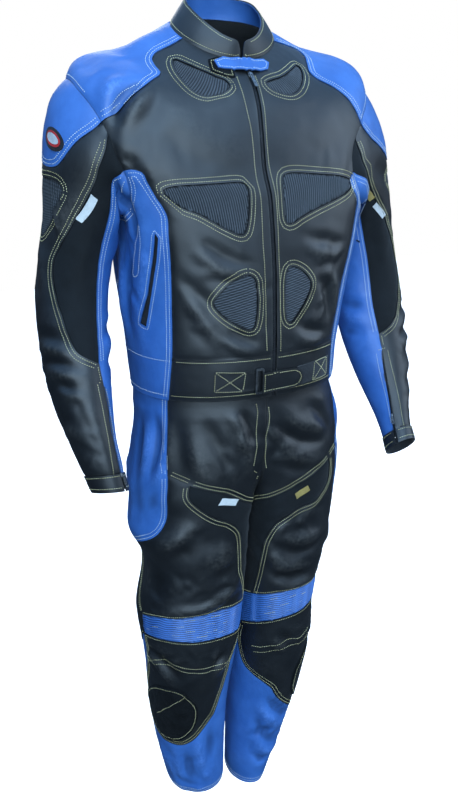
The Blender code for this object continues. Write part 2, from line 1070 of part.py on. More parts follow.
# ---------------------------------------------------------------- materials, objects
COLOURS = {
    "black_leather": ((0.020, 0.022, 0.026), 0.0, 0.42),
    "blue_leather": ((0.030, 0.110, 0.520), 0.0, 0.40),
    "stretch_fabric": ((0.010, 0.010, 0.012), 0.0, 0.85),
    "grey_knit": ((0.070, 0.075, 0.085), 0.0, 0.80),
    "zip_tape": ((0.008, 0.008, 0.009), 0.0, 0.60),
    "dark_metal": ((0.090, 0.090, 0.100), 1.0, 0.35),
    "hook_pile": ((0.014, 0.014, 0.016), 0.0, 0.95),
}


def material(name):
    mat = bpy.data.materials.get(name)
    if mat:
        return mat
    colour, metal, rough = COLOURS[name]
    mat = bpy.data.materials.new(name)
    mat.use_nodes = True
    node = mat.node_tree.nodes["Principled BSDF"]
    node.inputs["Base Color"].default_value = (*colour, 1.0)
    node.inputs["Metallic"].default_value = metal
    node.inputs["Roughness"].default_value = rough
    return mat


def add_object(name, points, faces, colour):
    mesh = bpy.data.meshes.new(name)
    mesh.from_pydata([tuple(map(float, p)) for p in points], [], faces)
    mesh.materials.append(material(colour))
    mesh.update()
    obj = bpy.data.objects.new(name, mesh)
    bpy.context.scene.collection.objects.link(obj)
    return obj


def plate(name, outline, holes, thick, frame, colour):
    """Flat plate with holes, laid in a frame of origin, across, along, out."""
    origin, across, along, out = [np.asarray(a, float) for a in frame]
    points, edges = [], []
    for loop in [outline] + list(holes):
        start = len(points)
        points += [Vector(p) for p in loop]
        edges += [(start + i, start + (i + 1) % len(loop)) for i in range(len(loop))]
    verts, _, faces, _, _, _ = delaunay_2d_cdt(points, edges, [], 0, 1e-8)
    flat = np.array([[p.x, p.y] for p in verts])
    tris = np.array([list(f) for f in faces])
    middle = flat[tris].mean(1)
    pick = inside(middle, np.array(outline))
    for hole in holes:
        pick &= ~inside(middle, np.array(hole))
    tris = tris[pick]
    at = origin + flat[:, :1] * across + flat[:, 1:] * along
    facing = np.cross(at[tris[0, 1]] - at[tris[0, 0]], at[tris[0, 2]] - at[tris[0, 0]])
    if np.dot(facing, out) < 0:
        tris = tris[:, [0, 2, 1]]
    top = at + out * thick / 2
    low = at - out * thick / 2
    n = len(at)
    solid = [tuple(t) for t in tris] + [(c + n, b + n, a + n) for a, b, c in tris]
    for p, q in rim(tris):
        solid.append((q, p, p + n))
        solid.append((q, p + n, q + n))
    return add_object(name, np.concatenate([top, low]), solid, colour)


def rounded(width, height, radius, steps=3, x=0.0, y=0.0):
    """Outline of a rectangle with round corners about a centre."""
    out = []
    for k, (sx, sy) in enumerate(((1, 1), (-1, 1), (-1, -1), (1, -1))):
        for i in range(steps + 1):
            a = math.radians(90 * k + 90 * i / steps)
            out.append((x + sx * (width / 2 - radius) + radius * math.cos(a),
                        y + sy * (height / 2 - radius) + radius * math.sin(a)))
    return out


def seat(surface, u, v, outward, lift):
    """Frame on a surface: point, across, down along the surface, out."""
    u = np.array([float(u)])
    v = np.array([float(v)])
    n = surface_normal(surface, u, v, outward)[0]
    down = (surface(u, v + 0.001) - surface(u, v - 0.001))[0]
    down -= n * np.dot(n, down)
    down /= np.linalg.norm(down)
    across = np.cross(down, n)
    return surface(u, v)[0] + n * lift, across, down, n


# ---------------------------------------------------------------- jacket body
def pairs(rows, first, second):
    return np.stack([rows[first], rows[second]], -1)


def mirrored(points, side):
    return np.asarray(points) * np.array([side, 1.0])


def arm_angles(side, low=-15, high=345):
    """Sleeve angles of the armhole's shared points: the corners and even steps between."""
    first, corner = STRETCH_CORNER[side], CORNER[side]
    steps = np.r_[-15, 0, first / 2, first, corner, (corner + 60) / 2, np.arange(60, 346, 15)]
    return steps[(steps >= low) & (steps <= high)]


def arm_arc(side, start, end):
    """Armhole points from one sleeve angle to another."""
    low, high = min(start, end), max(start, end)
    psi = arm_angles(side, low, high)
    arc = np.stack(armhole(side, psi), -1)
    return arc if end > start else arc[::-1]


def neck_arc(phis):
    return np.stack([phis, 0 * phis], -1)


FLY_ROWS = np.array([TROUSER_TOP, 0.96, 0.92, 0.88, 0.85, 0.82, 0.805, CROTCH])


def centre_rows():
    """Angles of the centre seam at its rows, the last one at the crotch."""
    phi = centre_seam(FLY_ROWS)
    phi[-1] = -90.0
    return phi


def share_seams():
    """Give both sides of each armhole and of the centre seam one wall direction."""
    for side in (RIGHT, LEFT):
        psi = arm_angles(side)
        phi, v = armhole(side, psi)
        a = surface_normal(body, phi, v, -1)
        b = surface_normal(lambda p, q: sleeve(side, p, q), psi, 0 * psi + 0.0008, -side)
        n = a + b
        n /= np.linalg.norm(n, axis=-1, keepdims=True)
        at = body(phi, v)
        SHARED.extend(zip(at, n))
        z = FLY_ROWS
        for turn in (1, -1):
            phi = 90 + turn * (centre_rows() - 90)
            n = surface_normal(lambda p, q: leg(side, p, q), phi, z, side)
            n[:, 0] = side * np.minimum(side * n[:, 0], 0)
            n /= np.linalg.norm(n, axis=-1, keepdims=True)
            SHARED.extend(zip(leg(side, phi, z), n))


def zip_edge(v, sign):
    """Angle of one edge of the front zip."""
    centre = spline(ZIP_LINE["v"], ZIP_LINE["phi"], v)
    half = section(BODY, "v", v)["half"]
    return centre + sign * np.degrees(ZIP_HALF / half)


def neck_phis(start, end):
    """Shared points along the neckline between two angles."""
    marks = [-67.0, 67.0, 115.0, 245.0, -115.0,
             float(zip_edge(np.array(0.0), -1)), float(zip_edge(np.array(0.0), 1))]
    marks += [a for a in (-51.0, -35.0, -18.0, 18.0, 35.0, 51.0)]
    marks += [a for a in (-103.0, -91.0, -79.0, 79.0, 91.0, 103.0)]
    marks += [a for a in (131.0, 147.0, 163.0, 180.0, 197.0, 213.0, 229.0)]
    marks = np.array(sorted(m for m in marks if start - 1e-6 <= m <= end + 1e-6))
    return marks


def build_body():
    sheet = Sheet(body, 0.0030, -1)
    v0, v1 = 0.0, JACKET_LENGTH
    rows_v = np.array([0.0, 0.03, 0.06, 0.12, 0.20, 0.28, 0.36, 0.44, HEM_BAND_TOP])
    low_v = np.array([HEM_BAND_TOP, 0.544, JACKET_LENGTH])
    zip_r = sheet.keep(np.stack([zip_edge(rows_v, -1), rows_v], -1))
    zip_l = sheet.keep(np.stack([zip_edge(rows_v, 1), rows_v], -1))
    zip_r_low = sheet.keep(np.stack([zip_edge(low_v, -1), low_v], -1))
    zip_l_low = sheet.keep(np.stack([zip_edge(low_v, 1), low_v], -1))
    neck_zip = sheet.keep(neck_arc(np.array([zip_r[0, 0], zip_l[0, 0]])))
    hem_zip = sheet.keep(np.stack([[zip_r_low[-1, 0], zip_l_low[-1, 0]], [v1, v1]], -1))
    knit = {}
    lines = {}
    for side, label in ((RIGHT, "right"), (LEFT, "left")):
        corner = CORNER[side]
        front = mirrored(pairs(YOKE_FRONT[side], "phi", "v"), side)
        yoke_f = sheet.line(np.vstack([front, arm_arc(side, corner, corner)]))
        back = mirrored(pairs(YOKE_BACK, "phi", "v"), side)
        yoke_b = sheet.line(np.vstack([back, arm_arc(side, 150, 150)]))
        edge = mirrored(pairs(SIDE_FRONT[side], "phi", "v"), side)
        above = edge[:-1]
        side_f = sheet.line(np.vstack([arm_arc(side, -15, -15), above]))
        side_f_low = sheet.line(edge[-2:])
        rear = mirrored(pairs(SIDE_BACK, "phi", "v"), side)
        side_b = sheet.line(np.vstack([arm_arc(side, 195, 195), rear]))
        hole_front = sheet.keep(arm_arc(side, -15, corner))
        hole_top = sheet.keep(arm_arc(side, corner, 150))
        hole_back = sheet.keep(arm_arc(side, 150, 195))
        hole_low = sheet.keep(arm_arc(side, 195, 345))
        zip_top = zip_r if side == RIGHT else zip_l
        zip_low = zip_r_low if side == RIGHT else zip_l_low
        if side == RIGHT:
            neck_f = sheet.keep(neck_arc(neck_phis(-67, zip_r[0, 0]))[::-1])
            neck_y = sheet.keep(neck_arc(neck_phis(-115, -67))[::-1])
        else:
            neck_f = sheet.keep(neck_arc(neck_phis(zip_l[0, 0], 67)))
            neck_y = sheet.keep(neck_arc(neck_phis(67, 115)))
        hem_top = sheet.line([zip_top[-1], side_f[-1]])
        hem_end = sheet.line([zip_low[-1], side_f_low[-1]])
        side_end = sheet.line([side_f_low[-1], side_b[-1]])
        lines[side] = dict(yoke_b=yoke_b, hole_back=hole_back, side_b=side_b)
        upper = sheet.loop(mirrored(pairs(CHEST_UPPER[side], "phi", "v"), side))
        mid_rows = CHEST_MID_RIGHT if side == RIGHT else CHEST_MID_LEFT
        mid = sheet.loop(mirrored(pairs(mid_rows, "phi", "v"), side))
        low_rows = BELLY_RIGHT if side == RIGHT else BELLY_LEFT
        belly = sheet.loop(mirrored(pairs(low_rows, "phi", "v"), side))
        outline = join(neck_f, yoke_f, hole_front[::-1], side_f, hem_top[::-1], zip_top[::-1])
        sheet.piece("front_" + label, outline, LEATHER, "black_leather", (upper, mid, belly))
        for part, loop in (("chest_upper_knit_", upper), ("chest_knit_", mid),
                           ("belly_knit_", belly)):
            sheet.piece(part + label, loop, KNIT, "grey_knit", lift=-KNIT_SINK)
        outline = join(neck_y, yoke_b, hole_top[::-1], yoke_f[::-1])
        sheet.piece("yoke_" + label, outline, LEATHER, "blue_leather")
        outline = join(side_f, side_f_low, side_end, side_b[::-1], hole_low)
        holes = ()
        if side == RIGHT:
            pocket = sheet.loop(mirrored(pairs(POCKET, "phi", "v"), side), smooth=False)
            holes = (pocket,)
            sheet.piece("pocket_zip_right", pocket, LEATHER, "zip_tape", lift=-KNIT_SINK)
        sheet.piece("side_" + label, outline, LEATHER, "blue_leather", holes)
        outline = join(hem_top, side_f_low, hem_end[::-1], zip_low[::-1])
        sheet.piece("hem_band_" + label, outline, LEATHER, "black_leather")
    turn = np.array([360.0, 0.0])
    far_yoke = sheet.keep(lines[RIGHT]["yoke_b"] + turn)
    far_hole = sheet.keep(lines[RIGHT]["hole_back"] + turn)
    far_side = sheet.keep(lines[RIGHT]["side_b"] + turn)
    neck_back = sheet.keep(neck_arc(neck_phis(115, 245)))
    back_end = sheet.line([lines[LEFT]["side_b"][-1], far_side[-1]])
    outline = join(neck_back, far_yoke, far_hole, far_side, back_end[::-1],
                   lines[LEFT]["side_b"][::-1], lines[LEFT]["hole_back"][::-1],
                   lines[LEFT]["yoke_b"][::-1])
    sheet.piece("back", outline, LEATHER, "black_leather")
    outline = join(neck_zip, zip_l, zip_l_low, hem_zip[::-1], zip_r_low[::-1], zip_r[::-1])
    sheet.piece("front_zip", outline, LEATHER, "zip_tape", lift=-KNIT_SINK)
    pad = sheet.loop(pairs(THROAT_PAD, "phi", "v"), smooth=False)
    tab = sheet.loop(pairs(THROAT_TAB, "phi", "v"), smooth=False)
    sheet.piece("throat_pad", pad, 0.0012, "hook_pile", lift=0.0015, offset=0)
    sheet.piece("throat_tab", tab, 0.0018, "blue_leather", lift=tab_lift, offset=0)
    strap = sheet.loop(pairs(BELT_RIGHT, "phi", "v"), smooth=False)
    tongue = sheet.loop(pairs(BELT_TONGUE, "phi", "v"), smooth=False)
    patch = sheet.loop(pairs(BELT_PATCH, "phi", "v"), smooth=False)
    sheet.piece("belt_strap", strap, 0.0018, "black_leather", lift=0.0021, offset=0)
    sheet.piece("belt_patch", patch, 0.0018, "black_leather", lift=0.0021, offset=0)
    sheet.piece("belt_tongue", tongue, 0.0018, "black_leather", lift=tongue_lift, offset=0)
    sheet.build()


def tab_lift(u, v):
    """Outer face of the throat tab: over the pad, over the zip, then down on the left."""
    return np.interp(u, [-28, -12, -6, 6, 12, 25],
                     [0.0036, 0.0038, 0.0058, 0.0058, 0.0024, 0.0021])


def tongue_lift(u, v):
    """Outer face of the belt tongue: over the buckle bar, then down on the patch."""
    return np.interp(u, [-8.4, -6.0, 0.0, 9.0, 17.0], [0.0086, 0.0086, 0.0052, 0.0042, 0.0042])


def build_collar():
    start = float(zip_edge(np.array(0.0), 1))
    end = float(zip_edge(np.array(0.0), -1)) + 360.0
    base = np.array(sorted(set([start, end] + [a for a in neck_phis(start, 245)]
                               + [a + 360 for a in neck_phis(-115, end - 360)])))
    sheet = Sheet(collar, 0.0013, 1, tall=0.045)
    low = sheet.keep(np.stack([base, 0 * base], -1))
    lean = 3.0
    left_end = sheet.keep(np.array([[start, 0.0], [start - 0.5, 0.45], [start + lean, 0.90],
                                    [start + 9, 1.0]]))
    right_end = sheet.keep(np.array([[end, 0.0], [end + 0.5, 0.45], [end - lean, 0.90],
                                     [end - 9, 1.0]]))
    top = sheet.line([left_end[-1], right_end[-1]], 0.026)
    outline = join(low, right_end, top[::-1], left_end[::-1])
    sheet.piece("collar", outline, LEATHER, "black_leather")
    sheet.piece("collar_lining", outline, 0.0010, "blue_leather",
                lift=-LEATHER - SEAM_GAP, offset=0.0008)
    sheet.build()


# ---------------------------------------------------------------- sleeves
def build_sleeve(side, label):
    def surface(psi, v):
        return sleeve(side, psi, v)
    length = SLEEVE[side]["v"][-1]
    band = length - CUFF_BAND
    sheet = Sheet(surface, 0.0011, -side)
    edges = CUFF_ZIP[side]
    top = CUFF_ZIP_TOP[side]
    zip_v = top + edges["share"] * (length - top)

    def zip_line(column, v):
        return np.stack([np.interp(v, zip_v, edges[column]), v], -1)
    upper_v = np.linspace(top, band, 6)
    lower_v = np.array([band, length])
    outer_f = sheet.line(pairs(STRETCH_OUTER[side], "psi", "v"))
    inner_f = sheet.line(pairs(STRETCH_INNER[side], "psi", "v"))
    fore = sheet.line([inner_f[-1], zip_line("leather", np.array([top]))[0]])
    leather = sheet.keep(zip_line("leather", upper_v))
    cloth = sheet.keep(zip_line("cloth", upper_v))
    leather_low = sheet.keep(zip_line("leather", lower_v))
    cloth_low = sheet.keep(zip_line("cloth", lower_v))
    turn = np.array([360.0, 0.0])
    far_inner = sheet.keep(inner_f + turn)
    far_fore = sheet.keep(fore + turn)
    far_cloth = sheet.keep(cloth + turn)
    far_low = sheet.keep(cloth_low + turn)
    cap = sheet.line(pairs(CAP_EDGE[side], "psi", "v"))
    back = sheet.line([(SLEEVE_BACK_SEAM, 0.0), (SLEEVE_BACK_SEAM, band)])
    arcs = {}
    first, corner = STRETCH_CORNER[side], CORNER[side]
    for name, a, b in (("stretch", -15, first), ("front", first, corner), ("cap", corner, 150),
                       ("rear", 150, 225), ("under", 225, 345)):
        psi = arm_angles(side, a, b)
        arcs[name] = sheet.keep(np.stack([psi, 0 * psi], -1))
    seam_l = sheet.line([leather[-1], back[-1]], FINE_STEP)
    seam_c = sheet.line([back[-1], far_cloth[-1]], FINE_STEP)
    seam_z = sheet.keep(np.array([cloth[-1], leather[-1]]))
    end = sheet.line([leather_low[-1], far_low[-1]], FINE_STEP)
    end_z = sheet.keep(np.array([cloth_low[-1], leather_low[-1]]))
    knit = sheet.loop(pairs(ARM_KNIT, "psi", "v"))
    sheet.piece("sleeve_cap_" + label, join(arcs["cap"], cap[::-1]), LEATHER, "blue_leather")
    outline = join(arcs["front"], cap, arcs["rear"], back, seam_l[::-1], leather[::-1],
                   fore[::-1], outer_f[::-1])
    sheet.piece("sleeve_outer_" + label, outline, LEATHER, "black_leather", (knit,))
    sheet.piece("arm_knit_" + label, knit, KNIT, "grey_knit", lift=-KNIT_SINK)
    sheet.piece("sleeve_stretch_" + label, join(arcs["stretch"], outer_f, inner_f[::-1]),
                STRETCH, "stretch_fabric")
    outline = join(arcs["under"], far_inner, far_fore, far_cloth, seam_c[::-1], back[::-1])
    sheet.piece("sleeve_under_" + label, outline, LEATHER, "blue_leather")
    outline = join(seam_l, seam_c, far_low, end[::-1], leather_low[::-1])
    sheet.piece("cuff_" + label, outline, LEATHER, "black_leather")
    outline = join(leather, leather_low, end_z[::-1], cloth_low[::-1], cloth[::-1])
    sheet.piece("cuff_zip_" + label, outline, LEATHER, "zip_tape", lift=-KNIT_SINK)
    sheet.build()


# ---------------------------------------------------------------- trousers
def build_leg(side, label):
    def surface(phi, z):
        return leg(side, phi, z)
    sheet = Sheet(surface, 0.0020, side)
    hem = TROUSER_HEM[side]
    front_phi = centre_rows()
    middle_f = sheet.keep(np.stack([front_phi, FLY_ROWS], -1))
    middle_b = sheet.keep(np.stack([180.0 - front_phi, FLY_ROWS], -1))
    hip_a = sheet.line(pairs(HIP_FRONT_TOP[side], "phi", "z"))
    hip_b = sheet.line(np.vstack([hip_a[-1:], pairs(HIP_LOWER, "phi", "z")]))
    hip_c = sheet.line(np.vstack([hip_b[-1:], pairs(HIP_BACK, "phi", "z")]))
    up_o = sheet.line(pairs(UPPER_SEAM_OUTER[side], "phi", "z"))
    up_i = sheet.line(pairs(UPPER_SEAM_INNER[side], "phi", "z"))
    edge = sheet.line(pairs(STRETCH_EDGE[side], "phi", "z"))
    band = pairs(BAND_TOP, "phi", "z")
    band_o = sheet.line(band[:-1])
    band_i = sheet.line(band[-2:])
    band_low = sheet.line(pairs(BAND_BOTTOM, "phi", "z"))
    band_end_o = sheet.line([band_o[0], band_low[0]])
    band_end_i = sheet.line([band_i[-1], band_low[-1]])
    out = sheet.line(pairs(OUTSEAM, "phi", "z"))
    inn = sheet.line(pairs(INSEAM, "phi", "z"))
    inn_far = sheet.keep(inn + np.array([360.0, 0.0]))
    knee_in = sheet.line([band_i[-1], inn[-1]])
    knee_b = sheet.line(pairs(KNEE_BACK, "phi", "z"))
    knee = sheet.line(pairs(KNEE_EDGE[side], "phi", "z"))
    patch = sheet.loop(pairs(KNEE_PATCH[side], "phi", "z"), 0.024)
    top_f = sheet.line([middle_f[0], hip_a[0]])
    top_h = sheet.line([hip_a[0], hip_c[-1]])
    top_b = sheet.line([hip_c[-1], middle_b[0]])
    calf = sheet.line([inn[-1], (-130.0, hem)])
    calf_far = sheet.keep(calf + np.array([360.0, 0.0]))
    foot = sheet.line([calf[-1], calf_far[-1]], 0.026)
    outline = join(top_f, hip_a, up_o, up_i, middle_f[::-1])
    sheet.piece("trouser_front_" + label, outline, LEATHER, "black_leather")
    sheet.piece("hip_" + label, join(hip_a, hip_b, hip_c, top_h[::-1]), LEATHER,
                "blue_leather")
    outline = join(up_o[::-1], hip_b, out, band_o, edge[::-1])
    sheet.piece("thigh_" + label, outline, LEATHER, "black_leather")
    outline = join(up_i, inn, knee_in[::-1], band_i[::-1], edge[::-1])
    sheet.piece("inner_leg_" + label, outline, STRETCH, "stretch_fabric")
    outline = join(top_b, middle_b, inn_far, knee_b[::-1], band_end_o[::-1], out[::-1], hip_c)
    sheet.piece("seat_" + label, outline, LEATHER, "black_leather")
    outline = join(band_o, band_i, band_end_i, band_low[::-1], band_end_o[::-1])
    sheet.piece("knee_band_" + label, outline, LEATHER, "blue_leather")
    sheet.piece("knee_panel_" + label, join(band_low, knee[::-1]), LEATHER, "black_leather")
    sheet.piece("knee_patch_" + label, patch, 0.0025, "hook_pile", lift=0.0028, offset=0)
    outline = join(knee_in[::-1], band_end_i, knee[::-1], knee_b, calf_far, foot[::-1],
                   calf[::-1])
    sheet.piece("lower_leg_" + label, outline, LEATHER, "blue_leather")
    sheet.build()


# ---------------------------------------------------------------- hard pieces
def fuse(name, block):
    """Fuse a block into a named piece."""
    target = bpy.data.objects[name]
    mod = target.modifiers.new("fuse", "BOOLEAN")
    mod.operation = "UNION"
    mod.solver = "EXACT"
    mod.object = block
    block.hide_render = True
    block.display_type = "WIRE"


def build_pull(name, zip_name, surface, outward, u, v, size, slider, holes):
    """A slider fused to its zip and the pull tab hinged on it."""
    width, length, thick = size
    s_width, s_length, s_high = slider
    at, across, down, out = seat(surface, u, v, outward, 0.0)
    base = at + out * (s_high / 2 - 0.0014)
    corners = [(-1, -1), (1, -1), (1, 1), (-1, 1)]
    ring = [(a * s_width / 2, b * s_length / 2) for a, b in corners]
    block = plate(zip_name + "_slider_block", ring, [], s_high, (base, across, down, out),
                  "dark_metal")
    fuse(zip_name, block)
    axis = at + out * (s_high - 0.0014 + PULL_GAP + thick / 2) + down * (s_length * 0.18)
    outline = rounded(width, length, width * 0.38, 2, 0.0, length / 2 - PULL_TAIL)
    pull = plate(name, outline, holes, thick, ((0, 0, 0), (1, 0, 0), (0, 1, 0), (0, 0, 1)),
                 "dark_metal")
    matrix = Matrix((Vector(across).to_4d(), Vector(down).to_4d(), Vector(out).to_4d(),
                     (0, 0, 0, 1))).transposed()
    for i in range(3):
        matrix[3][i] = 0.0
        matrix[i][3] = 0.0
    pull.data.transform(matrix)
    pull.location = Vector(axis)


def build_buckle():
    at, across, down, out = seat(body, -9.3, 0.5445, -1, 0.0)
    at = at + out * (0.0026 + SEAM_GAP + 0.00125)
    ring = rounded(0.0135, 0.0400, 0.003, 3)
    hole = rounded(0.0075, 0.0345, 0.001, 2)
    plate("belt_buckle", ring, [hole], 0.0025, (at, across, down, out), "dark_metal")


def main():
    for obj in list(bpy.data.objects):
        bpy.data.objects.remove(obj, do_unlink=True)
    share_seams()
    build_body()
    build_collar()
    for side, label in ((RIGHT, "right"), (LEFT, "left")):
        build_sleeve(side, label)
        build_leg(side, label)
    build_buckle()
    slot = rounded(0.0018, 0.0050, 0.0008, 2, 0.0, 0.0062)
    eye = rounded(0.0016, 0.0020, 0.0007, 2, 0.0, 0.0200)
    build_pull("zip_pull_front", "front_zip", body, -1, 0.9, 0.026,
               (0.0050, 0.0270, 0.0014), (0.0056, 0.0150, 0.0044), [slot, eye])
    for side, label in ((RIGHT, "right"), (LEFT, "left")):
        length = SLEEVE[side]["v"][-1]
        zip_v = length - CUFF_PULL[side]
        share = (zip_v - CUFF_ZIP_TOP[side]) / (length - CUFF_ZIP_TOP[side])
        edges = CUFF_ZIP[side]
        mid = np.interp(share, edges["share"], (edges["leather"] + edges["cloth"]) / 2)

        def surface(psi, v, side=side):
            return sleeve(side, psi, v)
        small = rounded(0.0018, 0.0040, 0.0008, 2, 0.0, 0.0095)
        build_pull("zip_pull_cuff_" + label, "cuff_zip_" + label, surface, -side, mid, zip_v,
                   (0.0042, 0.0140, 0.0012), (0.0030, 0.0080, 0.0040), [small])


main()
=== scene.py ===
# Looks of the motorcycle race suit: leather panels with folds, seams, stitches, zips, knit and
# shirring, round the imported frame. Metres, +Z up, the front faces -Y, the wearer's right is -X.

import math

import bpy
import numpy as np
from mathutils import Matrix, Vector, bvhtree, kdtree, noise
from mathutils.geometry import delaunay_2d_cdt


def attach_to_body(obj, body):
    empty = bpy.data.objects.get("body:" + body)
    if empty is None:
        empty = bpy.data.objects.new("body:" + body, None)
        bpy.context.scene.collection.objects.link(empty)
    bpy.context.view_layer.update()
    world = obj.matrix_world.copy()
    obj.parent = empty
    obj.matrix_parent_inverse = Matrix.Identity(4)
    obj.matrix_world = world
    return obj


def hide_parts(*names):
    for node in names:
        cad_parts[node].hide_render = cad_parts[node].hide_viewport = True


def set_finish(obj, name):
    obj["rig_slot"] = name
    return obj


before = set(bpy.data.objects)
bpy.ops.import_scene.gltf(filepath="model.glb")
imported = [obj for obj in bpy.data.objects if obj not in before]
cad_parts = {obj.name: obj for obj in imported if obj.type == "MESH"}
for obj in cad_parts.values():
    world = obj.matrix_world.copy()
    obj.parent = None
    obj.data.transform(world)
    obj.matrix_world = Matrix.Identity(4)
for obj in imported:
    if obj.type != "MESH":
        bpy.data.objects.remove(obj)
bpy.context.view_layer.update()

# ---------------------------------------------------------------- driving sizes
NECK_HEIGHT = 1.460      # base of the neck above the floor, the height of the origin
LEATHER = 0.0016         # wall of the leather panels
STRETCH = 0.0014         # wall of the stretch fabric panels
KNIT = 0.0012            # wall of the sunk knit inserts
KNIT_SINK = 0.0008       # how far the knit lies below the leather face
TAPE = 0.0010            # wall of the zip tapes
TAPE_SINK = 0.0014       # how far they lie below the leather face
SEAM_GAP = 0.0003        # air between neighbouring pieces
MESH_STEP = 0.0054       # spacing of the points in a panel
SEAM_ROW = 0.0026        # distance of the extra points on each side of a seam
RIGHT = -1
LEFT = 1

JACKET_LENGTH = 0.575    # neckline to the lower edge of the hem band, down the surface
HEM_BAND_TOP = 0.508     # upper seam of the hem band
ZIP_HALF = 0.0034        # half width of the strip seen between the two fronts
CUFF_BAND = 0.022        # height of the band round each cuff
BLEND = 0.130            # length over which a sleeve leaves the shape of its armhole
ARM_CLEAR = 0.012        # air between a hanging sleeve and the side of the jacket
ARM_LEAVE = 0.024        # length over which a sleeve comes clear of the jacket
ARM_SOFT = 0.004         # softness of that push
ARM_PRESS = {RIGHT: 0.130, LEFT: 0.0}   # share by which the arm presses the jacket's side in
PRESS_AT = 0.310         # how far down the jacket it presses most
PRESS_REACH = 0.070      # and how far around that
TROUSER_TOP = 1.000      # height of the trouser waist above the floor, inside the hem
CROTCH = 0.790           # height of the crotch above the floor
TROUSER_HEM = {RIGHT: 0.188, LEFT: 0.150}
LABEL = {RIGHT: "right", LEFT: "left"}

# armhole: a rounded oval on the jacket body, centre and half sizes in degrees and metres
ARMHOLE = {
    RIGHT: {"phi": 92.0, "v": 0.207, "half_phi": 37.8, "rise": 0.061, "drop": 0.104},
    LEFT: {"phi": 79.0, "v": 0.208, "half_phi": 40.5, "rise": 0.058, "drop": 0.104},
}
ARMHOLE_POWER = 2.6
CORNER = {RIGHT: 36, LEFT: 45}    # sleeve angle at which the yoke's front seam meets the cap
STRETCH_CORNER = {RIGHT: 24, LEFT: 30}    # and at which the stretch panel's outer edge starts
UNDER_FRONT = -15        # sleeve angle of the side panel's front seam,
CAP_REAR = 150           # of the yoke's rear seam, where the cap ends,
SIDE_REAR = 195          # and of the side panel's rear seam
NECK_FRONT, NECK_REAR = 67, 115     # degrees from the front at which a yoke meets the neckline


def table(names, text):
    """Rows of sizes as named columns."""
    lines = [[float(word) for word in row.split()] for row in text.strip().splitlines()]
    data = np.array(lines)
    return {name: data[:, i] for i, name in enumerate(names.split())}


# Rings round the jacket body, from the neckline down.
# v: way down the surface. z_front, z_side, z_back: heights above the floor.
# half: half width. y_front, y_side, y_back: depths. shift: sideways. lean: how much higher
# the left side stands than the middle. power: squareness.
BODY = table("v z_front z_side z_back half y_front y_side y_back shift lean power", """
0.000  1.458 1.502 1.525  0.080  -0.050 0.004 0.060  0.000 0.002 2.0
0.055  1.415 1.475 1.498  0.136  -0.088 0.005 0.098  0.000 0.007 2.1
0.125  1.362 1.455 1.436  0.224  -0.110 0.005 0.122  0.001 0.007 2.2
0.180  1.315 1.396 1.378  0.239  -0.120 0.003 0.132  0.001 0.005 2.4
0.270  1.268 1.300 1.300  0.216  -0.132 0.000 0.138  0.007 0.003 2.6
0.360  1.195 1.200 1.200  0.194  -0.140 0.000 0.134  0.009 0.000 2.5
0.440  1.115 1.118 1.118  0.181  -0.143 0.000 0.125  0.007 0.000 2.3
0.515  1.045 1.045 1.045  0.170  -0.143 0.000 0.125  0.005 0.000 2.3
0.585  0.978 0.975 0.975  0.168  -0.135 0.000 0.132  0.007 0.000 2.2
""")

# Top ring of the stand-up collar, same columns.
COLLAR_TOP = {"z_front": 1.482, "z_side": 1.533, "z_back": 1.552,
              "half": 0.056, "y_front": -0.052, "y_side": 0.004, "y_back": 0.049, "lean": 0.0}

# Rings down each sleeve. v: way down the sleeve. x, y, z: centre, z above the floor.
# tilt: outer side raised. lean: front raised. across, deep: half sizes.
SLEEVE = {
    RIGHT: table("v x y z tilt lean across deep", """
0.000  0.218  0.000 1.352  69  0  0.086 0.068
0.045  0.232  0.006 1.330  44  0  0.062 0.067
0.090  0.224  0.015 1.258  14  0  0.057 0.064
0.160  0.238  0.020 1.185   5  0  0.052 0.062
0.220  0.249  0.012 1.130   3  8  0.051 0.060
0.290  0.257 -0.015 1.063   0 20  0.048 0.056
0.370  0.259 -0.048 0.988   0 23  0.040 0.048
0.420  0.255 -0.068 0.940   2 22  0.032 0.041
0.485  0.242 -0.092 0.869   6 18  0.026 0.033
"""),
    LEFT: table("v x y z tilt lean across deep", """
0.000  0.208  0.000 1.350  69  0  0.086 0.068
0.045  0.234  0.005 1.318  42  0  0.066 0.067
0.090  0.246  0.012 1.262  22  0  0.062 0.064
0.160  0.262  0.018 1.195  12  0  0.058 0.062
0.220  0.277  0.016 1.135   8  6  0.057 0.060
0.300  0.284  0.000 1.055   4 16  0.058 0.057
0.390  0.286 -0.035 0.970   0 26  0.046 0.048
0.460  0.281 -0.075 0.908  -4 36  0.029 0.035
0.500  0.275 -0.098 0.876  -2 42  0.024 0.029
0.530  0.271 -0.118 0.850   0 46  0.026 0.029
"""),
}

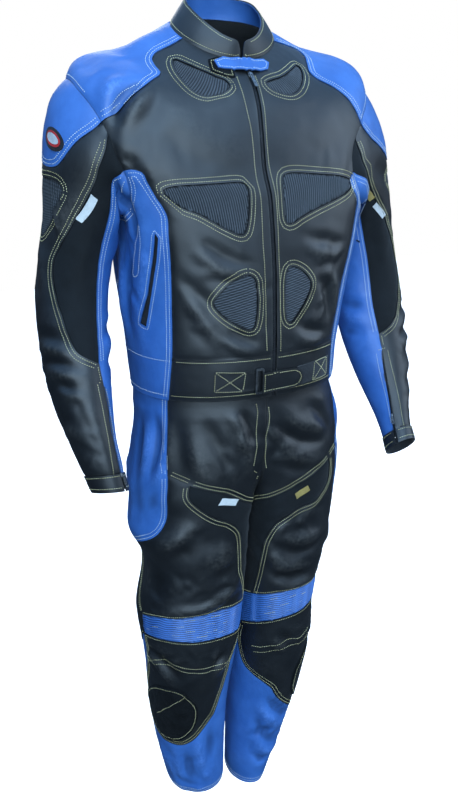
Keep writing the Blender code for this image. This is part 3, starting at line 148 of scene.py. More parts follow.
# Rings down each trouser half. z: height above the floor. centre: from the middle plane.
# outer, inner, front, back: half sizes. y: depth of the centre. power and square:
# squareness of the outer and of the inner half.
LEG = {
    RIGHT: table("z centre outer inner front back y power square", """
1.000  0.000 0.1600 0.156  0.125 0.114   0.000 2.2 2.2
0.978  0.002 0.1590 0.155  0.126 0.120   0.000 2.2 2.2
0.940  0.010 0.148 0.147  0.126 0.126   0.000 2.2 2.2
0.880  0.036 0.128 0.100  0.122 0.138   0.000 2.2 3.0
0.830  0.064 0.110 0.074  0.114 0.130   0.000 2.2 4.5
0.790  0.074 0.100 0.074  0.108 0.114   0.000 2.2 5.0
0.776  0.0763 0.1008 0.0725 0.106 0.109 -0.001 2.2 4.9
0.750  0.079 0.103 0.075  0.103 0.101  -0.004 2.2 4.5
0.700  0.080 0.083 0.075  0.097 0.093  -0.008 2.2 4.0
0.600  0.082 0.097 0.076  0.086 0.080  -0.010 2.2 3.0
0.500  0.083 0.085 0.071  0.080 0.074  -0.005 2.2 2.5
0.400  0.081 0.078 0.064  0.073 0.078   0.010 2.1 2.1
0.300  0.077 0.070 0.057  0.066 0.074   0.018 2.1 2.1
0.150  0.067 0.051 0.046  0.056 0.058   0.025 2.0 2.0
"""),
    LEFT: table("z centre outer inner front back y power square", """
1.000  0.000 0.1680 0.156  0.125 0.114   0.000 2.2 2.2
0.978  0.002 0.1710 0.155  0.126 0.120   0.000 2.2 2.2
0.940  0.010 0.173 0.147  0.126 0.126   0.000 2.2 2.2
0.880  0.036 0.156 0.100  0.122 0.138   0.000 2.2 3.0
0.830  0.064 0.130 0.074  0.114 0.130   0.000 2.2 4.5
0.790  0.074 0.116 0.074  0.108 0.114   0.000 2.2 5.0
0.776  0.0763 0.1113 0.0725 0.106 0.109 -0.001 2.2 4.9
0.750  0.079 0.104 0.075  0.103 0.101  -0.004 2.2 4.5
0.700  0.079 0.096 0.075  0.097 0.093  -0.008 2.2 4.0
0.600  0.077 0.072 0.074  0.086 0.080  -0.010 2.2 3.0
0.500  0.073 0.074 0.071  0.080 0.074  -0.005 2.2 2.5
0.400  0.067 0.077 0.064  0.073 0.078   0.010 2.1 2.1
0.300  0.057 0.067 0.052  0.064 0.072   0.018 2.1 2.1
0.150  0.037 0.032 0.036  0.052 0.054   0.025 2.0 2.0
"""),
}

# ---------------------------------------------------------------- seam lines
# Jacket body: phi in degrees round from the front centre, v down from the neckline.
ZIP_LINE = table("v phi", """
0.000  1.0
0.030  1.0
0.120 -0.6
0.200 -1.0
0.330 -2.0
0.460 -1.2
0.575 -0.4
""")
YOKE_FRONT = {
    RIGHT: table("phi v", """
67.0 0.000
69.0 0.012
73.0 0.028
74.5 0.039
72.0 0.0475
66.0 0.0530
57.5 0.0600
54.5 0.0670
53.0 0.0780
50.0 0.1050
52.0 0.1430
"""),
    LEFT: table("phi v", """
67.0 0.000
72.0 0.012
78.0 0.028
80.0 0.039
75.0 0.0465
62.0 0.0500
51.0 0.0575
47.0 0.0714
46.0 0.0904
45.2 0.1125
45.8 0.1324
46.8 0.1500
"""),
}
YOKE_BACK = table("phi v", """
115 0.000
117 0.050
120 0.100
122 0.145
""")
SIDE_FRONT = {
    RIGHT: table("phi v", """
51.0 0.2290
47.4 0.2260
45.2 0.2300
45.6 0.2450
45.0 0.2680
43.6 0.2820
42.8 0.3010
44.9 0.3330
48.6 0.4125
51.7 0.4850
53.0 0.5080
57.3 0.5750
"""),
    LEFT: table("phi v", """
37.7 0.2510
39.6 0.2690
43.2 0.2860
46.2 0.3060
47.0 0.3400
45.2 0.3963
43.8 0.4570
42.3 0.5080
45.0 0.5750
"""),
}
SIDE_BACK = table("v phi", """
0.300 127.0
0.400 128.0
0.508 128.0
0.575 128.0
""")
CHEST_UPPER = {
    RIGHT: table("phi v", """
16.0 0.0480
20.6 0.0400
29.2 0.0343
40.6 0.0318
53.0 0.0309
58.5 0.0335
55.4 0.0411
48.6 0.0519
40.1 0.0635
32.3 0.0740
26.9 0.0764
22.5 0.0714
18.0 0.0618
15.6 0.0540
"""),
    LEFT: table("phi v", """
10.8 0.0435
16.3 0.0416
24.9 0.0410
37.9 0.0385
48.5 0.0385
49.2 0.0444
42.5 0.0547
33.9 0.0644
25.6 0.0722
20.1 0.0729
15.3 0.0654
11.0 0.0540
"""),
}
CHEST_MID = {
    RIGHT: table("phi v", """
41 0.262
40 0.253
35 0.243
26 0.232
17 0.221
11 0.216
9 0.228
10 0.265
12 0.305
15 0.325
22 0.314
30 0.293
37 0.281
"""),
    LEFT: table("phi v", """
39 0.261
37 0.247
30 0.231
21 0.214
12 0.199
7 0.198
5 0.210
4 0.260
4 0.304
7 0.311
12 0.301
20 0.289
31 0.277
37 0.271
"""),
}
BELLY = {
    RIGHT: table("phi v", """
14 0.384
11 0.390
10 0.405
10 0.430
11 0.455
14 0.463
19 0.456
25 0.443
30 0.424
28 0.411
23 0.396
18 0.387
"""),
    LEFT: table("phi v", """
6 0.377
4 0.390
4 0.420
5 0.450
8 0.459
12 0.445
16 0.427
18 0.408
16 0.394
11 0.381
"""),
}
POCKET = table("phi v", """
51 0.325
50 0.331
54 0.366
59 0.405
67 0.461
71 0.457
62 0.412
56 0.365
""")
THROAT_PAD = table("phi v", """
-33 0.014
-26 0.005
-12 0.005
-11 0.034
-20 0.036
-29 0.030
""")
THROAT_TAB = table("phi v", """
-28 0.014
-21 0.004
-5 0.003
10 0.003
23 0.007
25 0.016
18 0.026
6 0.025
-13 0.023
-24 0.025
""")
BELT_RIGHT = table("phi v", """
-31.6 0.5254
-16.3 0.5283
-9.4 0.5305
-9.4 0.5590
-17.4 0.5594
-31.8 0.5572
""")
BELT_TONGUE = table("phi v", """
-8.4 0.5305
3.0 0.5310
11.0 0.5320
15.0 0.5380
16.5 0.5485
15.0 0.5590
11.3 0.5640
3.0 0.5645
-8.4 0.5635
""")
BELT_PATCH = table("phi v", """
13.0 0.5315
38.0 0.5275
38.8 0.5600
13.0 0.5630
""")

# Sleeves: psi in degrees round from the front over the outside, v down the sleeve.
CAP_EDGE = {
    RIGHT: table("psi v", """
36 0.0000
38.6 0.0218
43.5 0.0414
50 0.0548
59 0.0638
72 0.0674
90 0.0676
112 0.0645
131 0.0550
145 0.0340
150 0.0000
"""),
    LEFT: table("psi v", """
45 0.0000
46.5 0.0176
51.5 0.0373
57 0.0500
66 0.0610
79 0.0668
96 0.0676
114 0.0645
131 0.0550
145 0.0340
150 0.0000
"""),
}
ARM_KNIT = table("psi v", """
51 0.0775
57 0.0735
72 0.0735
92 0.0745
112 0.0735
127 0.0735
132 0.0775
128 0.0860
112 0.1080
98 0.1210
86 0.1210
71 0.1085
56 0.0860
""")
STRETCH_OUTER = {
    RIGHT: table("psi v", """
24 0.0000
20 0.0070
12 0.0185
3 0.0365
3.2 0.0541
10.5 0.0660
20 0.0770
30.6 0.0930
38 0.1136
46 0.1331
53 0.1520
53 0.1696
48 0.1897
39 0.2177
31.4 0.2432
25.3 0.2687
15.4 0.2957
0.2 0.3079
-24.1 0.3184
"""),
    LEFT: table("psi v", """
30 0.0000
26 0.0100
12 0.0230
-2 0.0400
-4 0.0560
-0.8 0.0722
8.9 0.1043
21.1 0.1411
32 0.1671
39 0.1930
42 0.2180
38 0.2430
29 0.2650
21 0.2820
14 0.3020
5 0.3150
-5 0.3235
-27.5 0.3347
"""),
}
STRETCH_INNER = {
    RIGHT: table("psi v", """
-15 0.0000
-17 0.0120
-21 0.0300
-20.5 0.0550
-16.5 0.0760
-14.5 0.0950
-16 0.1190
-18 0.1482
-20.5 0.1806
-24 0.2166
-25.4 0.2671
-25.3 0.2980
-24.1 0.3184
"""),
    LEFT: table("psi v", """
-15 0.0000
-18 0.0200
-23 0.0450
-28 0.0700
-30 0.0950
-28 0.1230
-26.4 0.1732
-29 0.2209
-29.7 0.2688
-28 0.3078
-27.5 0.3347
"""),
}
# edges of the cuff zip, as a share of the way from the zip's top to the cuff
CUFF_ZIP_TOP = {RIGHT: 0.345, LEFT: 0.362}
CUFF_ZIP = {
    RIGHT: table("share leather cloth", """
0.00 -30.0 -30.0
0.20 -34.0 -37.0
0.50 -35.5 -39.5
0.75 -32.0 -38.0
1.00 -27.0 -34.5
"""),
    LEFT: table("share leather cloth", """
0.00 -28.0 -28.0
0.15 -29.5 -33.0
0.30 -32.0 -36.5
0.55 -37.5 -44.0
0.78 -42.0 -50.5
1.00 -43.0 -53.0
"""),
}
CUFF_PULL = {RIGHT: 0.020, LEFT: 0.046}   # how far above the cuff's edge each slider stands
SLEEVE_BACK_SEAM = 225.0   # sleeve angle of the seam down the back of a sleeve

# Trousers: phi in degrees round from the front over the outside, z above the floor.
HIP_FRONT_TOP = {
    RIGHT: table("phi z", """
57.0 1.000
57.5 0.940
55.0 0.890
52.5 0.8656
"""),
    LEFT: table("phi z", """
60.0 1.000
58.0 0.940
52.0 0.8875
47.0 0.8600
"""),
}
HIP_LOWER = table("phi z", """
48.0 0.828
47.4 0.801
49.7 0.778
56.0 0.761
68.0 0.7475
92.0 0.730
112.0 0.737
""")
HIP_BACK = table("phi z", """
124.0 0.775
130.0 0.840
132.0 0.920
133.0 1.000
""")
UPPER_SEAM_OUTER = {
    RIGHT: table("phi z", """
52.5 0.8656
42.0 0.8590
34.0 0.8535
"""),
    LEFT: table("phi z", """
47.0 0.8600
41.0 0.8560
34.0 0.8495
"""),
}
UPPER_SEAM_INNER = {
    RIGHT: table("phi z", """
34.0 0.8535
25.7 0.8485
7.5 0.8370
-13.6 0.8225
-29.5 0.8097
-43.7 0.7985
-57.0 0.7880
-74.0 0.7840
-90.0 0.7900
"""),
    LEFT: table("phi z", """
34.0 0.8495
28.0 0.8436
13.2 0.8311
-5.2 0.8186
-26.4 0.8094
-37.0 0.8040
-45.0 0.7985
-57.0 0.7880
-74.0 0.7840
-90.0 0.7900
"""),
}
STRETCH_EDGE = {
    RIGHT: table("phi z", """
34 0.8535
31 0.833
20 0.813
3 0.792
-17 0.778
-30 0.756
-34 0.712
-37 0.678
-48 0.640
-57 0.6065
"""),
    LEFT: table("phi z", """
34 0.8495
33.5 0.828
30 0.800
15 0.782
-12 0.770
-34 0.753
-44 0.723
-48 0.687
-52 0.645
-57 0.6065
"""),
}
BAND_TOP = table("phi z", """
84 0.5985
79 0.6015
56 0.6120
28 0.6172
0 0.6175
-28 0.6160
-46 0.6115
-57 0.6065
-75 0.5980
""")
BAND_BOTTOM = table("phi z", """
84 0.5610
76 0.5635
56 0.5690
39 0.5685
14 0.5640
-3 0.5610
-22 0.5590
-39 0.5545
-55 0.5470
-75 0.5350
""")
OUTSEAM = table("phi z", """
112 0.737
106 0.660
96 0.620
84 0.5985
""")
INSEAM = table("phi z", """
-90 0.790
-112 0.755
-126 0.700
-130 0.600
""")
KNEE_BACK = table("phi z", """
84 0.5610
96 0.5450
108 0.5220
122 0.5200
150 0.5500
190 0.5800
230 0.6000
""")
KNEE_EDGE = {
    RIGHT: table("phi z", """
84 0.5610
87 0.535
91 0.500
97 0.465
106 0.430
108 0.390
102 0.352
90 0.326
72 0.3165
54 0.3165
38 0.3170
26 0.3251
14 0.3402
-0.6 0.3657
-13.6 0.3878
-25 0.4291
-32 0.4735
-38 0.505
-52 0.526
-75 0.535
"""),
    LEFT: table("phi z", """
84 0.5610
87 0.535
91 0.500
97 0.465
106 0.430
108 0.390
102 0.352
90 0.326
72 0.3165
54 0.3150
37 0.3178
14 0.3423
-4.5 0.3703
-17 0.3940
-32 0.4100
-49 0.4259
-65 0.4436
-76 0.4720
-80 0.5050
-75 0.535
"""),
}
KNEE_PATCH = {
    RIGHT: table("phi z", """
100 0.395
93 0.422
76 0.447
57 0.458
38 0.4575
25 0.439
15.5 0.414
15 0.385
22 0.357
36 0.336
54 0.328
76 0.330
92 0.352
"""),
    LEFT: table("phi z", """
102 0.395
98 0.422
84 0.447
66 0.458
47 0.4575
34 0.439
25 0.414
24 0.385
30 0.357
44 0.336
62 0.328
80 0.331
94 0.353
"""),
}


# ---------------------------------------------------------------- smooth forms
def spline(xs, ys, x):
    """Smooth curve through the rows of a table."""
    x = np.clip(x, xs[0], xs[-1])
    slope = np.gradient(ys, xs)
    i = np.clip(np.searchsorted(xs, x, side="right") - 1, 0, len(xs) - 2)
    h = xs[i + 1] - xs[i]
    t = (x - xs[i]) / h
    near = (2 * t**3 - 3 * t**2 + 1) * ys[i] + (t**3 - 2 * t**2 + t) * h * slope[i]
    far = (3 * t**2 - 2 * t**3) * ys[i + 1] + (t**3 - t**2) * h * slope[i + 1]
    return near + far


def section(rings, key, value):
    """All columns of a ring table at the given place."""
    keys = rings[key]
    value = np.asarray(value, float)
    if keys[0] > keys[-1]:
        keys = -keys
        value = -value
    return {name: spline(keys, rings[name], value) for name in rings if name != key}


def circle(angle, power=2.0):
    """Cosine and sine of a rounded square with the given squareness."""
    c = np.cos(np.radians(angle))
    s = np.sin(np.radians(angle))
    grow = (np.abs(c)**power + np.abs(s)**power)**(-1.0 / power)
    return c, s, c * grow, s * grow


def ring_height(g, c, s):
    """Height of a ring that passes three given heights at front, side and back."""
    mean = (g["z_front"] + g["z_back"] + 2 * g["z_side"]) / 4
    slope = (g["z_front"] - g["z_back"]) / 2
    sag = (g["z_front"] + g["z_back"] - 2 * g["z_side"]) / 4
    return mean + slope * c + sag * (2 * c * c - 1) + g["lean"] * s - NECK_HEIGHT


def pressed(side, y, v):
    """Share by which the hanging arm presses the side of the jacket in."""
    share = np.where(side < 0, ARM_PRESS[RIGHT], ARM_PRESS[LEFT])
    return share * np.exp(-(y / PRESS_REACH)**2 - ((v - PRESS_AT) / PRESS_REACH)**2)


def flank(side, y, z):
    """Half width of the jacket body at a depth and a height."""
    v = np.interp(-z - NECK_HEIGHT, -BODY["z_side"], BODY["v"])
    g = section(BODY, "v", v)
    reach = np.where(y < g["y_side"], g["y_front"], g["y_back"]) - g["y_side"]
    share = np.clip((y - g["y_side"]) / reach, 0, 1)
    x = g["half"] * (1 - share**g["power"])**(1 / g["power"])
    return x * (1 - pressed(side, y, v)) + side * g["shift"]


def body(phi, v):
    """Point of the jacket body."""
    phi = np.asarray(phi, float)
    g = section(BODY, "v", v)
    c, s, cc, ss = circle(phi, g["power"])
    reach = np.where(c > 0, g["y_front"], g["y_back"]) - g["y_side"]
    y = g["y_side"] + reach * np.abs(cc)
    x = g["shift"] + g["half"] * ss * (1 - pressed(np.sign(s), y, v))
    return np.stack([x, y, ring_height(g, c, s) + 0 * phi], -1)


def collar(phi, h):
    """Point of the collar, h from 0 at the neckline to 1 at the top edge."""
    phi = np.asarray(phi, float)
    h = np.asarray(h, float)[..., None]
    g = COLLAR_TOP
    c, s, cc, ss = circle(phi)
    reach = np.where(c > 0, g["y_front"], g["y_back"]) - g["y_side"]
    top = np.stack([g["half"] * ss, g["y_side"] + reach * np.abs(cc), ring_height(g, c, s)], -1)
    return body(phi, 0 * phi) * (1 - h) + top * h


def armhole(side, psi):
    """Place on the jacket body of the armhole point at sleeve angle psi."""
    hole = ARMHOLE[side]
    c, s, cc, ss = circle(psi, ARMHOLE_POWER)
    reach = np.where(s > 0, hole["rise"], hole["drop"])
    return side * (hole["phi"] - hole["half_phi"] * cc), hole["v"] - reach * ss


def tube(side, psi, v):
    """Point of the plain sleeve tube."""
    g = section(SLEEVE[side], "v", v)
    c, s, cc, ss = circle(psi)
    tilt = np.radians(g["tilt"])
    lean = np.radians(g["lean"])
    x = g["x"] + g["across"] * s * np.cos(tilt)
    y = g["y"] - g["deep"] * c * np.cos(lean) + g["across"] * s * np.sin(tilt) * np.sin(lean)
    z = g["z"] + g["deep"] * c * np.sin(lean) + g["across"] * s * np.sin(tilt) * np.cos(lean)
    return np.stack([side * x, y, z - NECK_HEIGHT], -1)


def sleeve(side, psi, v):
    """Point of a sleeve: its first ring is the armhole on the body."""
    psi = np.asarray(psi, float) + 0 * np.asarray(v, float)
    v = np.asarray(v, float) + 0 * psi
    hold = ease(np.clip(1 - v / BLEND, 0, 1))
    start = body(*armhole(side, psi)) - tube(side, psi, 0 * v)
    at = tube(side, psi, v) + start * hold[..., None]
    leave = np.clip(v / ARM_LEAVE, 0, 1)
    inner = np.clip(0.5 - 1.5 * np.sin(np.radians(psi)), 0, 1)
    share = leave * leave * (3 - 2 * leave) * inner * inner * (3 - 2 * inner)
    over = side * at[..., 0] - flank(side, at[..., 1], at[..., 2]) - ARM_CLEAR
    at[..., 0] += side * share * 0.5 * (np.sqrt(over**2 + ARM_SOFT**2) - over)
    return at


def leg(side, phi, z):
    """Point of one trouser half."""
    phi = np.asarray(phi, float)
    z = np.asarray(z, float)
    g = section(LEG[side], "z", z)
    outward = np.sin(np.radians(phi)) > 0
    c, s, cc, ss = circle(phi, np.where(outward, g["power"], g["square"]))
    x = g["centre"] + np.where(outward, g["outer"], g["inner"]) * ss + SEAM_GAP / 3
    y = g["y"] - np.where(c > 0, g["front"], g["back"]) * cc
    return np.stack([side * x, y, z + 0 * phi - NECK_HEIGHT], -1)


def centre_seam(z):
    """Angle at which a trouser half meets the middle plane at the front."""
    g = section(LEG[RIGHT], "z", z)
    share = np.clip(g["centre"] / g["inner"], 0, 1)
    q = (np.maximum(1 - share**g["square"], 0))**(1 / g["square"])
    return -np.degrees(np.arctan2(share, q))


# ---------------------------------------------------------------- folds
# A fold is a soft ridge (height above 0) or trough (below 0) along a line on a sheet, in mm.
# lean from -1 to 1 makes one flank steeper. Sheets: body, arm_r, arm_l, leg_r, leg_l.
# sheet height width lean : u v, u v, ...
FOLDS = """
body  -6.0  9 0.5 : -55 0.088, -52 0.112, -53 0.140, -54 0.170
body   3.5 12 0.0 : -47 0.095, -46 0.125, -48 0.160
body   4.5 10 0.0 : -60 0.100, -59 0.120, -59 0.145
body  -2.0 12 0.3 : -42 0.100, -41 0.130, -44 0.160, -47 0.185
body   1.6 22 0.2 : -38 0.095, -30 0.125, -20 0.150, -8 0.168
body  -1.2 18 0.2 : -40 0.130, -30 0.160, -20 0.180, -10 0.192
body  -4.5 12 0.0 : -45 0.206, -49 0.213, -53 0.222
body   2.5  9 0.2 : -22 0.028, -17 0.042, -14 0.060
body  -2.0  7 0.2 : -19 0.024, -15 0.037, -12 0.052
body   2.0 10 0.2 : 12 0.022, 17 0.032, 24 0.034
body  -3.0  9 0.4 : -32 0.330, -26 0.352, -19 0.366, -12 0.372
body   3.0 10 0.4 : -36 0.345, -30 0.368, -24 0.380, -15 0.386
body  -3.0 10 0.3 : -44 0.385, -37 0.405, -33 0.425, -29 0.450
body   3.0 11 0.3 : -42 0.415, -37 0.435, -32 0.462, -28 0.490
body  -3.0  9 0.3 : -24 0.462, -17 0.478, -9 0.488
body   2.5  8 0.3 : -28 0.472, -20 0.490, -11 0.498
body  -2.5  9 0.2 : 12 0.330, 20 0.342, 30 0.350, 38 0.352
body   3.0 10 0.2 : 14 0.352, 22 0.362, 32 0.366
body  -3.5 10 0.4 : 20 0.395, 27 0.412, 31 0.440, 33 0.470
body   3.0 11 0.2 : 26 0.388, 33 0.405, 37 0.435, 39 0.470
body  -3.0  9 0.2 : 12 0.462, 20 0.476, 30 0.482
body   2.5  9 0.0 : 10 0.480, 20 0.494, 31 0.498
body  -2.0 14 0.0 : 40 0.190, 36 0.240, 38 0.300
body   2.0 16 0.0 : 46 0.200, 44 0.250, 46 0.310
body   6.0 26 0.0 : -95 0.012, -96 0.044, -94 0.076
body  -8.0 24 0.0 : -70 0.118, -88 0.121, -106 0.118
body   7.0 17 0.2 : -72 0.240, -77 0.262, -78 0.292, -75 0.318
body  -7.0  9 0.5 : -62 0.248, -66 0.282, -66 0.312, -72 0.345
body  -4.0 10 0.3 : -84 0.250, -88 0.285, -86 0.330
body   3.5 14 0.2 : -58 0.330, -62 0.380, -70 0.440, -74 0.490
body  -3.5 11 0.3 : -78 0.345, -80 0.390, -84 0.440, -84 0.490
body   3.0 12 0.0 : -90 0.350, -92 0.400, -95 0.455, -96 0.500
body  -3.0 12 0.0 : -104 0.320, -106 0.380, -104 0.440
body  -3.5 18 0.0 : 58 0.246, 68 0.256, 80 0.266
body  -4.0 11 0.3 : 60 0.290, 66 0.320, 68 0.360
body   3.5 14 0.0 : 74 0.300, 78 0.350, 80 0.410
body  -3.5 12 0.2 : 88 0.340, 90 0.390, 92 0.450
body   3.0 12 0.0 : 100 0.340, 102 0.400, 104 0.460
body  -3.0 10 0.2 : 62 0.420, 70 0.450, 80 0.470
body  -4.0 16 0.2 : 150 0.300, 165 0.330, 180 0.340, 200 0.336, 214 0.318
body   4.0 17 0.2 : 146 0.340, 162 0.366, 180 0.374, 200 0.370, 216 0.346
body  -4.0 15 0.3 : 142 0.400, 158 0.418, 172 0.428
body   3.5 15 0.2 : 140 0.430, 156 0.452, 176 0.462
body  -4.0 15 0.3 : 218 0.392, 204 0.412, 190 0.424
body   3.5 15 0.2 : 220 0.424, 206 0.448, 188 0.456
body  -3.5 18 0.0 : 128 0.110, 142 0.150, 156 0.170
body  -3.5 18 0.0 : 232 0.110, 220 0.148, 206 0.168
body   3.0 20 0.0 : 130 0.150, 146 0.190, 164 0.206
body   3.0 20 0.0 : 230 0.150, 216 0.188, 200 0.204
leg_r  5.0 10 0.4 : 23 0.974, 16 0.948, 8 0.918, 0 0.890, -6 0.870
leg_r -4.5  9 0.4 : 15 0.975, 10 0.952, 4 0.925, -2 0.902
leg_r -4.0 11 0.2 : 35 0.960, 27 0.925, 16 0.892, 4 0.864
leg_r  3.5 13 0.0 : 46 0.950, 39 0.912, 29 0.876, 15 0.852
leg_r -5.0  9 0.5 : 68 0.960, 66 0.920, 68 0.880, 70 0.850
leg_r  5.5 14 0.2 : 60 0.960, 58 0.920, 59 0.875, 60 0.830
leg_r  5.0 14 0.0 : 76 0.945, 76 0.900, 78 0.850
leg_r -4.0 11 0.2 : 86 0.940, 88 0.890, 88 0.840
leg_r -3.5 12 0.2 : 56 0.860, 62 0.820, 70 0.790
leg_r  3.0 13 0.0 : 92 0.850, 94 0.800, 92 0.760
leg_r  4.0 16 0.0 : 22 0.790, 34 0.765, 50 0.748
leg_r -3.0 14 0.2 : 18 0.762, 32 0.738, 50 0.722
leg_r  3.5 18 0.0 : -20 0.735, -4 0.722, 14 0.716
leg_r -3.5 12 0.3 : -30 0.700, -14 0.688, 4 0.684
leg_r  4.5 12 0.3 : -32 0.668, -12 0.640, 10 0.628, 34 0.626, 58 0.624
leg_r -3.0  9 0.3 : -30 0.640, -10 0.624, 12 0.618, 34 0.618
leg_r -3.0 16 0.0 : 60 0.700, 66 0.660, 70 0.630
leg_r  3.0 16 0.0 : 84 0.710, 84 0.670, 82 0.630
leg_r -4.5 10 0.4 : 84 0.534, 66 0.528, 50 0.506, 38 0.482
leg_r  4.0 11 0.3 : 84 0.514, 66 0.508, 54 0.488, 44 0.466
leg_r -3.5  8 0.3 : -20 0.530, -8 0.512, 6 0.508
leg_r  3.5  9 0.2 : -28 0.515, -16 0.498, -4 0.480
leg_r  3.0 18 0.0 : 55 0.320, 52 0.285, 52 0.240, 54 0.200
leg_r -4.0 13 0.4 : 38 0.300, 32 0.262, 34 0.222, 40 0.195
leg_r  3.5 13 0.0 : 16 0.330, 12 0.290, 16 0.240
leg_r -3.0 12 0.2 : -6 0.360, -4 0.310, 0 0.260
leg_r  4.0 14 0.2 : 84 0.300, 78 0.262, 76 0.220
leg_r -3.5 10 0.2 : 60 0.232, 46 0.214, 30 0.206
leg_l  4.0 14 0.2 : 8 0.955, 16 0.930, 26 0.918, 38 0.920
leg_l -4.0 11 0.3 : 2 0.945, 10 0.910, 22 0.892, 36 0.888
leg_l  3.5 13 0.2 : -4 0.912, 4 0.882, 14 0.862, 28 0.856
leg_l -2.5 11 0.2 : -10 0.870, 6 0.850, 22 0.844
leg_l -4.0 11 0.3 : 26 0.960, 34 0.925, 38 0.890
leg_l  4.0 13 0.2 : 20 0.790, 10 0.770, -6 0.752
leg_l  4.5 13 0.3 : -26 0.732, -10 0.716, 10 0.712, 30 0.720
leg_l -3.5 11 0.3 : -28 0.708, -8 0.694, 14 0.692, 34 0.702
leg_l  4.5 13 0.3 : -40 0.700, -26 0.672, -8 0.660, 12 0.662
leg_l -3.5 11 0.3 : -34 0.660, -16 0.642, 4 0.640, 24 0.648
leg_l  4.0 12 0.2 : 40 0.720, 50 0.690, 64 0.668
leg_l  4.0 11 0.2 : -36 0.640, -12 0.628, 12 0.626, 36 0.625
leg_l -4.0 11 0.2 : 62 0.960, 60 0.915, 62 0.870
leg_l  5.0 14 0.2 : 74 0.950, 72 0.905, 74 0.850
leg_l -4.0 10 0.3 : 84 0.530, 66 0.522, 48 0.500
leg_l  4.0 11 0.3 : 80 0.508, 62 0.500, 48 0.480
leg_l -3.5  8 0.3 : -20 0.530, -6 0.512, 8 0.508
leg_l  3.0  9 0.2 : -30 0.515, -16 0.496, -2 0.480
leg_l -4.5 12 0.4 : -20 0.372, -4 0.342, 16 0.318, 34 0.300
leg_l  4.0 13 0.3 : -28 0.350, -12 0.318, 8 0.292, 30 0.276
leg_l -4.0 12 0.3 : -30 0.318, -16 0.284, 4 0.258, 28 0.244
leg_l  4.0 11 0.3 : -16 0.250, 4 0.228, 26 0.222, 46 0.228
leg_l -3.0  9 0.3 : -20 0.228, 0 0.206, 24 0.200
arm_r  3.5 13 0.2 : 100 0.135, 84 0.160, 70 0.200
arm_r -3.5 11 0.3 : 112 0.150, 94 0.180, 78 0.215
arm_r -4.5  9 0.5 : 96 0.262, 70 0.268, 44 0.276, 20 0.290
arm_r  4.5 10 0.4 : 100 0.280, 74 0.284, 48 0.292, 24 0.304
arm_r -4.5  8 0.5 : 92 0.300, 66 0.304, 40 0.312, 14 0.322
arm_r  4.0  9 0.3 : 84 0.318, 60 0.322, 36 0.330, 8 0.342
arm_r -4.0  8 0.4 : 76 0.336, 52 0.338, 28 0.346, 4 0.356
arm_r  3.5  8 0.3 : 60 0.352, 38 0.356, 14 0.362
arm_r -3.0  8 0.2 : 40 0.342, 28 0.370, 18 0.400, 10 0.440
arm_r  3.0  9 0.2 : 24 0.360, 12 0.392, 4 0.430
arm_r -3.0  9 0.3 : 96 0.375, 70 0.382, 44 0.392
arm_r  3.0  9 0.2 : 90 0.398, 66 0.404, 40 0.414
arm_r -2.5  8 0.2 : 70 0.422, 44 0.430, 20 0.440
arm_r -4.0 10 0.4 : 275 0.250, 300 0.262, 325 0.268
arm_r  4.0 11 0.3 : 270 0.275, 296 0.286, 322 0.292
arm_r -4.0 10 0.3 : 262 0.300, 288 0.312, 314 0.316
arm_r  3.0 12 0.0 : 2 0.105, 6 0.140, 12 0.180, 10 0.230
arm_r -3.0 10 0.2 : -10 0.080, -8 0.120, -6 0.160, -8 0.210
arm_r -4.0 12 0.2 : 285 0.050, 300 0.080, 318 0.110
arm_r  3.5 12 0.2 : 270 0.080, 288 0.115, 305 0.145
arm_l  3.5 13 0.2 : 96 0.130, 78 0.165, 66 0.205
arm_l -3.5 11 0.3 : 110 0.150, 92 0.185, 76 0.225
arm_l -4.5  9 0.5 : 100 0.272, 74 0.280, 48 0.290, 22 0.304
arm_l  4.5 10 0.4 : 100 0.292, 74 0.300, 48 0.310, 22 0.324
arm_l -4.5  8 0.5 : 92 0.314, 66 0.322, 40 0.332, 14 0.346
arm_l  4.0  9 0.3 : 84 0.334, 60 0.344, 34 0.354, 8 0.366
arm_l -4.0  8 0.4 : 76 0.358, 50 0.368, 26 0.378
arm_l  3.0  9 0.2 : 72 0.386, 48 0.396, 20 0.404
arm_l -3.0  8 0.2 : 66 0.410, 40 0.420, 14 0.430
arm_l  3.0  9 0.2 : 74 0.436, 48 0.446, 20 0.454
arm_l -4.0 10 0.4 : 270 0.260, 295 0.272, 320 0.280
arm_l  4.0 11 0.3 : 266 0.286, 292 0.298, 318 0.306
arm_l -4.0 10 0.3 : 262 0.316, 288 0.326, 312 0.332
arm_l  3.0 11 0.0 : 4 0.120, 2 0.170, 0 0.220
arm_l -3.0 10 0.2 : -10 0.100, -12 0.150, -12 0.210
arm_l -4.0 12 0.2 : 285 0.060, 300 0.090, 318 0.120
"""

